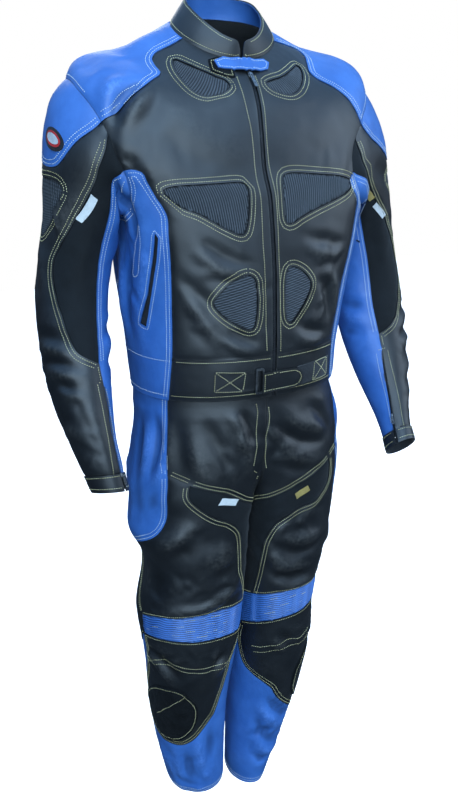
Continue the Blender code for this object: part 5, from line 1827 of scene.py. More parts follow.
def plan_body():
    """Fronts, inserts, yokes, sides, back, hem bands and front zip of the jacket."""
    sheet = Sheet("body", body, 0.0030, -1)
    rows_v = np.linspace(0.0, HEM_BAND_TOP, 98)
    low_v = np.linspace(HEM_BAND_TOP, JACKET_LENGTH, 15)
    zips = {side: sheet.keep(np.stack([zip_edge(rows_v, side), rows_v], -1),
                             "front_" + LABEL[side]) for side in (RIGHT, LEFT)}
    zips_low = {side: sheet.keep(np.stack([zip_edge(low_v, side), low_v], -1), "hem")
                for side in (RIGHT, LEFT)}
    neck_zip = sheet.keep(neck_arc(zips[RIGHT][0, 0], zips[LEFT][0, 0]))
    hem_zip = sheet.keep(np.array([zips_low[RIGHT][-1], zips_low[LEFT][-1]]), "free")
    lines = {}
    for side in (RIGHT, LEFT):
        label, corner = LABEL[side], CORNER[side]
        zip_top, zip_low = zips[side], zips_low[side]
        yoke_f = sheet.line(np.vstack([mirrored(YOKE_FRONT[side], side),
                                       arm_arc(side, corner, corner)]), "yoke")
        yoke_b = sheet.line(np.vstack([mirrored(YOKE_BACK, side),
                                       arm_arc(side, CAP_REAR, CAP_REAR)]), "yoke")
        edge = mirrored(SIDE_FRONT[side], side)
        side_f = sheet.line(np.vstack([arm_arc(side, UNDER_FRONT, UNDER_FRONT), edge[:-1]]), "side")
        side_f_low = sheet.line(edge[-2:], "side")
        side_b = sheet.line(np.vstack([arm_arc(side, SIDE_REAR, SIDE_REAR),
                                       mirrored(SIDE_BACK, side)]), "side")
        hole_front, hole_top, hole_back, hole_low = (
            sheet.keep(arm_arc(side, start, end))
            for start, end in ((UNDER_FRONT, corner), (corner, CAP_REAR), (CAP_REAR, SIDE_REAR),
                               (SIDE_REAR, UNDER_FRONT + 360)))
        if side == RIGHT:
            neck_f = sheet.keep(neck_arc(-NECK_FRONT, zip_top[0, 0])[::-1])
            neck_y = sheet.keep(neck_arc(-NECK_REAR, -NECK_FRONT)[::-1])
        else:
            neck_f = sheet.keep(neck_arc(zip_top[0, 0], NECK_FRONT))
            neck_y = sheet.keep(neck_arc(NECK_FRONT, NECK_REAR))
        hem_top = sheet.line([zip_top[-1], side_f[-1]], "hem")
        hem_end = sheet.line([zip_low[-1], side_f_low[-1]], "free")
        side_end = sheet.line([side_f_low[-1], side_b[-1]], "free")
        lines[side] = dict(yoke_b=yoke_b, hole_back=hole_back, side_b=side_b)
        knits = []
        for part, outlines in (("chest_upper_knit_", CHEST_UPPER), ("chest_knit_", CHEST_MID),
                               ("belly_knit_", BELLY)):
            loop = sheet.loop(mirrored(outlines[side], side), "front_" + label)
            slope = None
            if part.startswith("belly"):
                def slope(phi, middle=loop.mean(0)[0]):
                    return -BELLY_SLOPE * (phi - middle)
            phase = sheet.ribs(loop, RIB_PITCH, RIB_STEP, slope is None, slope)
            knits.append(loop)
            sheet.piece(part + label, loop, KNIT, "grey_knit", lift=-KNIT_SINK,
                        relief=lambda u, v, f=phase: RIB_DEPTH * f(u, v))
            rows(sheet, loop, "yellow", loop.mean(0), KNIT_ROWS, closed=True)
        outline = join(neck_f, yoke_f, hole_front[::-1], side_f, hem_top[::-1], zip_top[::-1])
        sheet.piece("front_" + label, outline, LEATHER, "black_leather", knits)
        sheet.piece("yoke_" + label, join(neck_y, yoke_b, hole_top[::-1], yoke_f[::-1]), LEATHER,
                    "blue_leather")
        holes = ()
        if side == RIGHT:
            pocket = sheet.loop(mirrored(POCKET, side), "side", smooth=False)
            holes = (pocket,)
            sheet.piece("pocket_zip_right", pocket, LEATHER, "zip_tape", lift=-KNIT_SINK)
            rows(sheet, pocket, "pale", pocket.mean(0), (-0.0045,), closed=True)
        sheet.piece("side_" + label, join(side_f, side_f_low, side_end, side_b[::-1], hole_low),
                    LEATHER, "blue_leather", holes)
        sheet.piece("hem_band_" + label, join(hem_top, side_f_low, hem_end[::-1], zip_low[::-1]),
                    LEATHER, "black_leather")
        yoke_at, side_at = (side * 88, 0.06), (side * 88, 0.45)
        for line, colour, toward, away in (
                (yoke_f, "pale", yoke_at, WIDE), (yoke_b, "pale", yoke_at, WIDE),
                (hole_top, "pale", yoke_at, (0.0060,)),
                (np.vstack([side_f, side_f_low[1:]]), "pale", side_at, SIDE),
                (side_b, "pale", side_at, SIDE), (hole_low, "pale", side_at, WIDE),
                (hem_top, "yellow", (side * 25, 0.56), SINGLE),
                (hem_end, "yellow", (side * 25, 0.5), HEM), (side_end, "pale", side_at, HEM)):
            rows(sheet, line, colour, toward, away)
        rows(sheet, [(side * a, BACK_MARK) for a in np.linspace(53, 127, 30)], "pale")
    far_yoke = sheet.keep(lines[RIGHT]["yoke_b"] + TURN, "yoke")
    far_hole = sheet.keep(lines[RIGHT]["hole_back"] + TURN)
    far_side = sheet.keep(lines[RIGHT]["side_b"] + TURN, "side")
    neck_back = sheet.keep(neck_arc(NECK_REAR, 360 - NECK_REAR))
    back_end = sheet.line([lines[LEFT]["side_b"][-1], far_side[-1]], "free")
    outline = join(neck_back, far_yoke, far_hole, far_side, back_end[::-1],
                   lines[LEFT]["side_b"][::-1], lines[LEFT]["hole_back"][::-1],
                   lines[LEFT]["yoke_b"][::-1])
    sheet.piece("back", outline, LEATHER, "black_leather")
    rows(sheet, back_end, "yellow", (180, 0.5), HEM)
    rows(sheet, [(a, BACK_MARK) for a in np.linspace(129, 231, 40)], "yellow")
    outline = join(neck_zip, zips[LEFT], zips_low[LEFT], hem_zip[::-1], zips_low[RIGHT][::-1],
                   zips[RIGHT][::-1])
    sheet.piece("front_zip", outline, TAPE, "zip_tape", lift=-TAPE_SINK)
    for line in ZIP_ROWS:
        rows(sheet, smooth_line(line), "yellow")
    rows(sheet, smooth_line([(-60, 0.317), (-67, 0.382), (-75, 0.386), (-67, 0.339)], True, 6),
         "pale", closed=True)
    rows(sheet, smooth_line([(-97, 0.40), (-102, 0.45), (-107, 0.505)]), "pale")
    plan_overlays(sheet)
    return sheet


def plan_overlays(sheet):
    """Throat pad and tab, belt strap, tongue and patch: layers laid over the fronts."""
    loops = {name: sheet.loop(pairs(outline), name.split("_")[0], smooth=False)
             for name, outline in (("throat_pad", THROAT_PAD), ("throat_tab", THROAT_TAB),
                                   ("belt_strap", BELT_RIGHT), ("belt_tongue", BELT_TONGUE),
                                   ("belt_patch", BELT_PATCH))}
    for name, wall, look, lift in (("throat_pad", 0.0012, "hook_pile", 0.0015),
                                   ("throat_tab", 0.0018, "blue_leather", tab_lift),
                                   ("belt_strap", 0.0018, "black_leather", 0.0021),
                                   ("belt_patch", 0.0018, "belt_web", 0.0021),
                                   ("belt_tongue", 0.0018, "black_leather", tongue_lift)):
        sheet.piece(name, loops[name], wall, look, lift=lift, offset=0)
    for name, colour in (("throat_pad", "yellow"), ("throat_tab", "pale"),
                         ("belt_tongue", "yellow")):
        rows(sheet, loops[name], colour, loops[name].mean(0), (0.0034,), closed=True, over=name)
    for name, cross in (("belt_strap", ((-31.2, 0.5254), (-16.3, 0.5286), (-17.8, 0.5594),
                                        (-32.0, 0.5572))),
                        ("belt_patch", ((25.0, 0.5282), (35.9, 0.5285), (37.7, 0.5599),
                                        (24.5, 0.5627)))):
        box = np.array(cross)
        for a, b in ((0, 2), (1, 3), (0, 1), (1, 2), (2, 3), (3, 0)):
            rows(sheet, np.linspace(box[a], box[b], 12), "yellow", over=name,
                 trim=0.0008)


def tab_lift(u, v):
    """Outer face of the throat tab: over the pad, over the zip, then down on the left."""
    return np.interp(u, [-28, -12, -6, 6, 12, 25],
                     [0.0036, 0.0038, 0.0058, 0.0058, 0.0024, 0.0021])


def tongue_lift(u, v):
    """Outer face of the belt tongue: over the buckle bar, then down on the patch."""
    return np.interp(u, [-8.4, -6.0, 0.0, 9.0, 17.0], [0.0086, 0.0086, 0.0052, 0.0042, 0.0042])


def plan_collar():
    """Stand-up collar and its facing, open at the front."""
    start = float(zip_edge(np.array(0.0), 1))
    end = float(zip_edge(np.array(0.0), -1)) + 360.0
    sheet = Sheet("collar", collar, 0.0013, 1, tall=0.045)
    low = sheet.keep(neck_arc(start, end))
    lean = 3.0
    left_end = sheet.line([[start, 0.0], [start - 0.5, 0.45], [start + lean, 0.90],
                           [start + 9, 1.0]], "free")
    right_end = sheet.line([[end, 0.0], [end + 0.5, 0.45], [end - lean, 0.90],
                            [end - 9, 1.0]], "free")
    top = sheet.line([left_end[-1], right_end[-1]], "free")
    outline = join(low, right_end, top[::-1], left_end[::-1])
    sheet.piece("collar", outline, LEATHER, "black_leather")
    sheet.piece("collar_lining", outline, 0.0010, "blue_leather", lift=-LEATHER - SEAM_GAP,
                offset=0.0008)
    middle = (180, 0.5)
    for line in (left_end[:-3], right_end[:-3], top):
        rows(sheet, line, "yellow", middle, (0.0036,), over="collar")
    rows(sheet, low, "yellow", middle, (0.0042,), over="collar")
    return sheet


# ---------------------------------------------------------------- sleeves
PLACKET = {
    RIGHT: (("yellow", [(-15.5, 0.3432), (-19.7, 0.3843), (-19.3, 0.4212), (-11.7, 0.4504),
                        (-5.7, 0.4695)]),
            ("yellow", [(-15.5, 0.3435), (-22.0, 0.3445), (-29.0, 0.3455)]),
            ("pale", [(-36.0, 0.350), (-45.0, 0.40), (-46.0, 0.44), (-42.0, 0.50)])),
    LEFT: (("yellow", [(-18.0, 0.3640), (-16.8, 0.3956), (-12.5, 0.4550), (-6.8, 0.5131)]),
           ("yellow", [(-18.0, 0.3620), (-29.0, 0.3630), (-40.0, 0.3640)]),
           ("pale", [(-40.5, 0.3662), (-44.5, 0.4050), (-49.9, 0.4486), (-55.0, 0.5000)])),
}


def plan_sleeve(side):
    """Cap, outer, stretch and under panels, insert, cuff and cuff zip of one sleeve."""
    label = LABEL[side]

    def surface(psi, v):
        return sleeve(side, psi, v)
    length = SLEEVE[side]["v"][-1]
    band = length - CUFF_BAND
    sheet = Sheet("arm_" + label[0], surface, 0.0011, -side)
    edges = CUFF_ZIP[side]
    top = CUFF_ZIP_TOP[side]
    zip_v = top + edges["share"] * (length - top)

    def zip_line(column, v):
        return np.stack([np.interp(v, zip_v, edges[column]), v], -1)
    upper_v = np.linspace(top, band, int((band - top) / MESH_STEP))
    lower_v = np.linspace(band, length, 5)
    outer_f = sheet.line(pairs(STRETCH_OUTER[side]), "sleeve_outer")
    inner_f = sheet.line(pairs(STRETCH_INNER[side]), "sleeve_under")
    fore = sheet.line([inner_f[-1], zip_line("leather", np.array([top]))[0]], "sleeve_outer")
    leather = sheet.keep(zip_line("leather", upper_v), "sleeve_outer")
    cloth = sheet.keep(zip_line("cloth", upper_v), "sleeve_under")
    leather_low = sheet.keep(zip_line("leather", lower_v), "cuff_" + label)
    cloth_low = sheet.keep(zip_line("cloth", lower_v), "cuff_" + label)
    far_inner = sheet.keep(inner_f + TURN, "sleeve_under")
    far_fore = sheet.keep(fore + TURN, "sleeve_outer")
    far_cloth = sheet.keep(cloth + TURN, "sleeve_under")
    far_low = sheet.keep(cloth_low + TURN, "cuff_" + label)
    cap = sheet.line(pairs(CAP_EDGE[side]), "sleeve_cap")
    back = sheet.line([(SLEEVE_BACK_SEAM, 0.0), (SLEEVE_BACK_SEAM, band)], "sleeve_outer")
    arcs = {}
    start, corner = STRETCH_CORNER[side], CORNER[side]
    for name, a, b in (("stretch", UNDER_FRONT, start), ("front", start, corner),
                       ("cap", corner, CAP_REAR), ("rear", CAP_REAR, SLEEVE_BACK_SEAM),
                       ("under", SLEEVE_BACK_SEAM, UNDER_FRONT + 360)):
        psi = np.arange(a, b + 0.1, ARC_STEP)
        arcs[name] = sheet.keep(np.stack([psi, 0 * psi], -1))
    seam_l = sheet.line([leather[-1], back[-1]], "cuff_" + label)
    seam_c = sheet.line([back[-1], far_cloth[-1]], "cuff_" + label)
    end = sheet.line([leather_low[-1], far_low[-1]], "free")
    end_z = sheet.keep(np.array([cloth_low[-1], leather_low[-1]]), "free")
    knit = sheet.loop(pairs(ARM_KNIT), "sleeve_outer")
    phase = sheet.ribs(knit, RIB_PITCH, RIB_STEP)
    sheet.piece("sleeve_cap_" + label, join(arcs["cap"], cap[::-1]), LEATHER, "blue_leather")
    outline = join(arcs["front"], cap, arcs["rear"], back, seam_l[::-1], leather[::-1],
                   fore[::-1], outer_f[::-1])
    sheet.piece("sleeve_outer_" + label, outline, LEATHER, "black_leather", (knit,))
    # the arm's knit takes the darker copy of the grey knit: painted shade
    sheet.piece("arm_knit_" + label, knit, KNIT, "dark_knit", lift=-KNIT_SINK,
                relief=lambda u, v: RIB_DEPTH * phase(u, v))
    sheet.piece("sleeve_stretch_" + label, join(arcs["stretch"], outer_f, inner_f[::-1]),
                STRETCH, "stretch_fabric")
    outline = join(arcs["under"], far_inner, far_fore, far_cloth, seam_c[::-1], back[::-1])
    sheet.piece("sleeve_under_" + label, outline, LEATHER, "blue_leather")
    outline = join(seam_l, seam_c, far_low, end[::-1], leather_low[::-1])
    sheet.piece("cuff_" + label, outline, LEATHER, "black_leather", lift=0.0010)
    outline = join(leather, leather_low, end_z[::-1], cloth_low[::-1], cloth[::-1])
    sheet.piece("cuff_zip_" + label, outline, TAPE, "zip_tape", lift=-TAPE_SINK)
    rows(sheet, cap, "pale", (90, 0.02), SIDE)
    rows(sheet, outer_f, "yellow", (60, 0.2), DOUBLE)
    rows(sheet, far_inner, "pale", (290, 0.2), DOUBLE)
    rows(sheet, knit, "yellow", knit.mean(0), KNIT_ROWS, closed=True)
    rows(sheet, back, "yellow", (200, 0.3), SINGLE)
    rows(sheet, back, "pale", (240, 0.3), SINGLE)
    for colour, line in PLACKET[side]:
        rows(sheet, smooth_line(line), colour)
    rows(sheet, fore, "yellow", (10, 0.36), (0.0036,))
    for line in (seam_l, seam_c):
        rows(sheet, line, "yellow", (150, length), SINGLE)
    rows(sheet, end, "yellow", (150, band), SINGLE)
    return sheet


# ---------------------------------------------------------------- trousers
SHIRR_PITCH = 0.0042
SHIRR_DEPTH = 0.00100
BAND_MIDDLE = 0.577      # mean height of the gathered band

# Rows of the fly.
FLY_ROW = {
    RIGHT: ([(6.0, 0.9788), (4.5, 0.9659), (1.5, 0.9291), (-10.9, 0.8708)],
            [(-13.4, 0.8669), (-19.8, 0.8615), (-26.2, 0.8561)],
            [(-26.2, 0.8561), (-28.5, 0.8500), (-30.9, 0.8435)]),
    LEFT: ([(0.1, 0.9706), (-2.5, 0.9400), (-14.2, 0.8980), (-26.0, 0.8599)],
           [(-26.0, 0.8599), (-27.7, 0.8560), (-29.4, 0.8520)]),
}

# Rows across the top of the knee.
KNEE_ROW = {
    RIGHT: ([(92, 0.5037), (61, 0.5190), (46, 0.5187), (22, 0.5085), (6, 0.5044), (-13, 0.5029),
             (-36, 0.5046)],
            [(92, 0.4970), (82, 0.5011), (61, 0.5110), (46, 0.5100), (20, 0.4980), (-1, 0.4946),
             (-14, 0.4957), (-28, 0.4988)]),
    LEFT: ([(-56, 0.4941), (-42, 0.4964), (-16, 0.5052), (2, 0.5062), (20, 0.5002), (40, 0.5120)],
           [(-53, 0.4807), (-38, 0.4844), (-12, 0.4920), (8, 0.4905), (27, 0.4847), (44, 0.4960)]),
}
# Short runs of thread left by the shirring: angle, share of the band's height, degrees long.
BAND_DASH = {
    RIGHT: ((20, 0.86, 22), (-4, 0.84, 14), (34, 0.64, 9), (4, 0.62, 12), (-16, 0.52, 8),
            (24, 0.44, 11), (2, 0.34, 15), (38, 0.28, 8), (12, 0.20, 12), (-10, 0.22, 9),
            (62, 0.55, 10), (74, 0.35, 8), (-28, 0.70, 8)),
    LEFT: ((-30, 0.80, 10), (-4, 0.72, 12), (14, 0.66, 9), (-38, 0.56, 9), (-16, 0.50, 13),
           (10, 0.40, 10), (-34, 0.30, 14), (-8, 0.24, 9), (22, 0.22, 8), (46, 0.60, 10),
           (62, 0.36, 9)),
}


def band_edges(phi):
    """Heights of the upper and lower edge of the gathered band at an angle."""
    return [np.interp(phi, edge["phi"][::-1], edge["z"][::-1]) for edge in (BAND_TOP, BAND_BOTTOM)]


def plan_leg(side):
    """All panels of one trouser half, with the gathered band and the knee patch."""
    label = LABEL[side]

    def surface(phi, z):
        return leg(side, phi, z)
    sheet = Sheet("leg_" + label[0], surface, 0.0020, side)
    hem = TROUSER_HEM[side]
    middle_f = sheet.keep(centre_rows(surface))
    middle_b = sheet.keep(np.stack([180.0 - middle_f[:, 0], middle_f[:, 1]], -1))
    hip_a = sheet.line(pairs(HIP_FRONT_TOP[side]), "hip")
    hip_b = sheet.line(np.vstack([hip_a[-1:], pairs(HIP_LOWER)]), "hip")
    hip_c = sheet.line(np.vstack([hip_b[-1:], pairs(HIP_BACK)]), "hip")
    up_o = sheet.line(pairs(UPPER_SEAM_OUTER[side]), "trouser")
    up_i = sheet.line(pairs(UPPER_SEAM_INNER[side]), "trouser")
    edge = sheet.line(pairs(STRETCH_EDGE[side]), "thigh")
    band = pairs(BAND_TOP)
    band_o = sheet.line(band[:-1], "thigh")
    band_i = sheet.line(band[-2:], "inner")
    band_low = sheet.line(pairs(BAND_BOTTOM), "knee_panel")
    band_end_o = sheet.line([band_o[0], band_low[0]])
    band_end_i = sheet.line([band_i[-1], band_low[-1]])
    out = sheet.line(pairs(OUTSEAM), "thigh")
    inn = sheet.line(pairs(INSEAM), "seat")
    inn_far = sheet.keep(inn + TURN, "seat")
    knee_in = sheet.line([band_i[-1], inn[-1]])
    knee_b = sheet.line(pairs(KNEE_BACK), "seat")
    knee = sheet.line(pairs(KNEE_EDGE[side]), "knee_panel")
    patch = sheet.loop(pairs(KNEE_PATCH[side]), "knee_patch")
    top_f = sheet.line([middle_f[0], hip_a[0]], "free")
    top_h = sheet.line([hip_a[0], hip_c[-1]], "free")
    top_b = sheet.line([hip_c[-1], middle_b[0]], "free")
    calf = sheet.line([inn[-1], (-130.0, hem)])
    calf_far = sheet.keep(calf + TURN)
    foot = sheet.line([calf[-1], calf_far[-1]], "free")
    outline = join(top_f, hip_a, up_o, up_i, middle_f[::-1])
    sheet.piece("trouser_front_" + label, outline, LEATHER, "black_leather")
    sheet.piece("hip_" + label, join(hip_a, hip_b, hip_c, top_h[::-1]), LEATHER, "blue_leather")
    outline = join(up_o[::-1], hip_b, out, band_o, edge[::-1])
    sheet.piece("thigh_" + label, outline, LEATHER, "black_leather")
    outline = join(up_i, inn, knee_in[::-1], band_i[::-1], edge[::-1])
    sheet.piece("inner_leg_" + label, outline, STRETCH, "stretch_fabric")
    outline = join(top_b, middle_b, inn_far, knee_b[::-1], band_end_o[::-1], out[::-1], hip_c)
    sheet.piece("seat_" + label, outline, LEATHER, "black_leather")
    shirr = join(band_o, band_i, band_end_i, band_low[::-1], band_end_o[::-1])

    def wave(phi):
        top, low = band_edges(phi)
        return (top + low) / 2 - BAND_MIDDLE + 0.0012 * np.sin(phi / 4.1) * np.cos(phi / 9.0)
    phase = sheet.ribs(shirr, SHIRR_PITCH, 0.0040, False, wave)
    sheet.piece("knee_band_" + label, shirr, LEATHER, "shirred_leather", held="gathered",
                relief=lambda u, v: SHIRR_DEPTH * (phase(u, v) + 0.2 * np.sin(u / 2.3)))
    sheet.piece("knee_panel_" + label, join(band_low, knee[::-1]), LEATHER, "black_leather")
    sheet.piece("knee_patch_" + label, patch, 0.0025, "hook_pile", lift=0.0028, offset=0,
                relief=lambda u, v: 0.0004 * np.sin(u * 1.7 + 3 * np.sin(v * 260)))
    outline = join(knee_in[::-1], band_end_i, knee[::-1], knee_b, calf_far, foot[::-1],
                   calf[::-1])
    sheet.piece("lower_leg_" + label, outline, LEATHER, "blue_leather")
    hip_at = (90, 0.87)
    for line in (hip_a, hip_b, hip_c):
        rows(sheet, line, "pale", hip_at, SIDE)
    for line, toward, away in ((up_o, (10, 0.93), DOUBLE), (up_i, (10, 0.93), DOUBLE),
                               (edge, (40, 0.70), DOUBLE), (band_o, (30, 0.70), SINGLE),
                               (band_i, (-70, 0.70), SINGLE), (band_low, (30, 0.48), SINGLE),
                               (out, (80, 0.65), SINGLE), (out, (140, 0.65), SINGLE),
                               (knee, (50, 0.42), DOUBLE)):
        rows(sheet, line, "yellow", toward, away)
    for line in KNEE_ROW[side]:
        rows(sheet, smooth_line(line), "yellow")
    for phi, share, wide in BAND_DASH[side]:
        span = np.linspace(phi - wide / 2, phi + wide / 2, 8)
        top, low = band_edges(span)
        rows(sheet, np.stack([span, low + share * (top - low)], -1), "yellow", trim=0.0)
    rows(sheet, np.linspace((30.8, 0.4437), (74.6, 0.3798), 20), "yellow",
         over="knee_patch_" + label)
    rows(sheet, patch, "yellow", patch.mean(0), (0.0042,), closed=True, over="knee_patch_" + label)
    for line in FLY_ROW[side]:
        rows(sheet, smooth_line(line), "yellow")
    rear = middle_b[middle_b[:, 1] > 0.80]
    rows(sheet, rear, "yellow", (150, 0.9), DOUBLE)
    for line, colour, toward, away in (
            (inn_far, "yellow", (200, 0.7), SINGLE), (calf, "pale", (-100, 0.4), DOUBLE),
            (calf_far, "pale", (200, 0.4), SINGLE), (knee_b, "yellow", (180, 0.7), SINGLE),
            (foot, "pale", (0, 0.3), (0.0060, 0.0120))):
        rows(sheet, line, colour, toward, away)
    rows(sheet, np.linspace((98, 0.345), (92, hem + 0.015), 20), "pale")
    return sheet


# ---------------------------------------------------------------- tags and badge
PATCH_STEP = 0.003       # spacing of the points of a tag or badge
PATCH_GAP = 0.0003       # air between it and the cloth
LEAST_SHEET = 0.009      # size under which a mark would count as no sheet of its own; nothing follows from it


def patch_on(name, sheet, outline, thick, look, step=PATCH_STEP):
    """A small flat piece sewn on the finished cloth."""
    outline = np.asarray(outline, float)
    wide, tall = (m[0] for m in sheet.metric(*outline.mean(0)))
    scale = np.array([wide, tall])
    flat = []
    for a, b in zip(outline, np.roll(outline, -1, axis=0)):
        count = max(int(np.linalg.norm((b - a) * scale) / step), 1)
        flat += [a + (b - a) * k / count for k in range(count)]
    flat = np.array(flat) * scale
    n = len(flat)
    low, high = flat.min(0), flat.max(0)
    gu, gv = np.meshgrid(np.arange(low[0], high[0], step), np.arange(low[1], high[1], step))
    grid = np.stack([gu.ravel(), gv.ravel()], -1)
    grid = grid[inside(grid, flat)]
    far, _ = nearest(tree_of(flat3(flat)), flat3(grid)) if len(grid) else (np.zeros(0), None)
    grid = grid[far > step * 0.5]
    points = np.concatenate([flat, grid])
    edges = [(i, (i + 1) % n) for i in range(n)]
    verts, _, faces, _, _, _ = delaunay_2d_cdt([Vector(p) for p in points], edges, [], 0, 1e-8)
    uv = np.array([[p.x, p.y] for p in verts])
    tris = np.array([list(f) for f in faces])
    tris = tris[inside(uv[tris].mean(1), flat)]
    xyz = sheet.surface(uv[:, 0] / scale[0], uv[:, 1] / scale[1])
    outer, way = [], []
    for p in xyz:
        at, out, _, _ = sheet.skin.find_nearest(Vector(p), SKIN_REACH)
        outer.append(at)
        way.append(out)
    outer, way = np.array(outer), np.array(way)
    way = way.mean(0) / np.linalg.norm(way.mean(0))
    top = outer + way * (thick + PATCH_GAP)
    base = outer + way * PATCH_GAP
    a, b, c = tris[0]
    if np.dot(np.cross(top[b] - top[a], top[c] - top[a]), way) < 0:
        tris = tris[:, [0, 2, 1]]
    obj = add_object(name, np.concatenate([top, base]), shell_faces(tris, rim(tris), len(top)),
                     look)
    attach(obj, "plan", np.tile(flat3(uv), (2, 1)))
    place(obj)
    size = high - low
    if size.min() < LEAST_SHEET:
        return


def strip(centre, wide, tall, turn, sheet):
    """Outline of a rectangle of real size on a sheet, turned by degrees."""
    m = [x[0] for x in sheet.metric(*centre)]
    c, s = math.cos(math.radians(turn)), math.sin(math.radians(turn))
    corners = [(-1, -1), (1, -1), (1, 1), (-1, 1)]
    return [(centre[0] + (c * a * wide / 2 - s * b * tall / 2) / m[0],
             centre[1] + (s * a * wide / 2 + c * b * tall / 2) / m[1]) for a, b in corners]


def oval(centre, wide, tall, sheet, count=28):
    """Outline of an oval of real size on a sheet."""
    m = [x[0] for x in sheet.metric(*centre)]
    turn = [2 * math.pi * i / count for i in range(count)]
    return [(centre[0] + wide / 2 * math.cos(t) / m[0], centre[1] + tall / 2 * math.sin(t) / m[1])
            for t in turn]


def build_tags():
    """Badge, a small dark dash on the left sleeve and woven tags, all bare."""
    right, left = SHEETS["arm_r"], SHEETS["arm_l"]
    leg_r, leg_l = SHEETS["leg_r"], SHEETS["leg_l"]
    spot = (68.5, 0.0499)
    patch_on("badge", right, oval(spot, 0.044, 0.028, right), 0.0012, "badge_dark")
    patch_on("badge_ring", right, oval(spot, 0.033, 0.019, right), 0.0017, "badge_red")
    patch_on("badge_field", right, oval(spot, 0.027, 0.0125, right), 0.0021, "badge")
    # a small dark strip of tape colour on the left sleeve, with no opening modelled under it
    patch_on("slit_sleeve_left", left, strip((-36.6, 0.1538), 0.007, 0.0025, 40, left), 0.0005,
             "zip_tape")
    for name, sheet, at, wide, tall, turn, look in (
            ("tag_sleeve_right", right, (17.4, 0.0854), 0.011, 0.041, -27, "tag_white"),
            ("tag_sleeve_left_upper", left, (-8.0, 0.0745), 0.011, 0.021, -22, "tag_gold"),
            ("tag_sleeve_left_lower", left, (6.0, 0.1080), 0.011, 0.034, -24, "tag_white"),
            ("tag_thigh_right", leg_r, (-7.0, 0.8180), 0.030, 0.011, 16, "tag_white"),
            ("tag_thigh_left", leg_l, (1.5, 0.8034), 0.033, 0.012, 18.7, "tag_gold")):
        patch_on(name, sheet, strip(at, wide, tall, turn, sheet), 0.0006, look)


# ---------------------------------------------------------------- zips
TOOTH_PITCH = 0.0026


def teeth(name, sheet, line, span=0.0034):
    """Two interlocking rows of zip teeth along the middle of a tape."""
    xyz = sheet.surface(line[:, 0], line[:, 1])
    length = run(xyz)
    points, faces = [], []
    for i in range(int(length[-1] / (TOOTH_PITCH / 2))):
        s = i * TOOTH_PITCH / 2
        p = Vector([np.interp(s, length, xyz[:, k]) for k in range(3)])
        q = Vector([np.interp(s + 0.001, length, xyz[:, k]) for k in range(3)])
        if (q - p).length < 1e-5:
            continue
        at, out, _, _ = sheet.skin.find_nearest(p, 0.02)
        along = (q - p).normalized()
        across = out.cross(along).normalized() * (1 if i % 2 else -1)
        start = len(points)
        for high, grow in ((0.0, 1.0), (0.0009, 0.72)):
            for a, b in ((-1, -1), (1, -1), (1, 1), (-1, 1)):
                points.append(at + across * (0.0006 + a * grow * span / 2 * 0.72)
                              + along * b * grow * 0.00058 + out * (high + 0.0001))
        faces.append((start + 3, start + 2, start + 1, start))
        faces.append((start + 4, start + 5, start + 6, start + 7))
        for k in range(4):
            n = (k + 1) % 4
            faces.append((start + k, start + n, start + 4 + n, start + 4 + k))
    place(add_object(name, points, faces, "zip_teeth", smooth=False))


def seat(surface, u, v, outward, lift):
    """Frame on a surface: point, across, down along the surface, out."""
    u = np.array([float(u)])
    v = np.array([float(v)])
    n = surface_normal(surface, u, v, outward)[0]
    down = (surface(u, v + 0.001) - surface(u, v - 0.001))[0]
    down -= n * np.dot(n, down)
    down /= np.linalg.norm(down)
    across = np.cross(down, n)
    return surface(u, v)[0] + n * lift, across, down, n


def slider(name, sheet, u, v, size):
    """A zip slider: a waisted body with a bridge for the pull tab."""
    wide, long, high = size
    at, across, down, out = (Vector(a) for a in seat(sheet.surface, u, v, sheet.outward, 0.0))
    points, faces = [], []

    def block(rows_of):
        start = len(points)
        for along, half, low, top in rows_of:
            for side, level in ((-1, low), (-1, top * 0.8), (-0.7, top), (0.7, top),
                                (1, top * 0.8), (1, low)):
                points.append(at + across * side * half + down * along + out * level)
        n = len(rows_of)
        for i in range(n - 1):
            for k in range(6):
                m = (k + 1) % 6
                a, b = start + 6 * i, start + 6 * (i + 1)
                faces.append((a + k, a + m, b + m, b + k))
        faces.append(tuple(start + k for k in range(5, -1, -1)))
        faces.append(tuple(start + 6 * (n - 1) + k for k in range(6)))
    half = wide / 2
    plate_top = high - 0.0014 - 0.0010
    block([(-long / 2, half * 0.62, -0.0012, plate_top * 0.4),
           (-long * 0.36, half * 0.95, -0.0012, plate_top), (0, half * 0.80, -0.0012, plate_top),
           (long * 0.36, half * 0.92, -0.0012, plate_top),
           (long / 2, half * 0.60, -0.0012, plate_top * 0.4)])
    bridge = high - 0.0014
    block([(-long * 0.34, half * 0.26, 0.0, plate_top), (-long * 0.22, half * 0.26, 0.0, bridge),
           (long * 0.10, half * 0.26, 0.0, bridge), (long * 0.26, half * 0.26, 0.0, plate_top)])
    obj = add_object(name, points, faces, "dark_metal")
    bevel = obj.modifiers.new("bevel", "BEVEL")
    bevel.width = 0.00035
    bevel.segments = 2
    bevel.limit_method = "ANGLE"
    place(obj)


def cuff_zip_middle(side, v):
    """Angle of the middle of a cuff zip."""
    edges, top = CUFF_ZIP[side], CUFF_ZIP_TOP[side]
    share = (v - top) / (SLEEVE[side]["v"][-1] - top)
    return np.interp(share, edges["share"], (edges["leather"] + edges["cloth"]) / 2)


def cuff_slider_place(side):
    v = SLEEVE[side]["v"][-1] - CUFF_PULL[side]
    return cuff_zip_middle(side, v), v


FRONT_SLIDER = (0.9, 0.026)
BUCKLE = (-9.3, 0.5445)


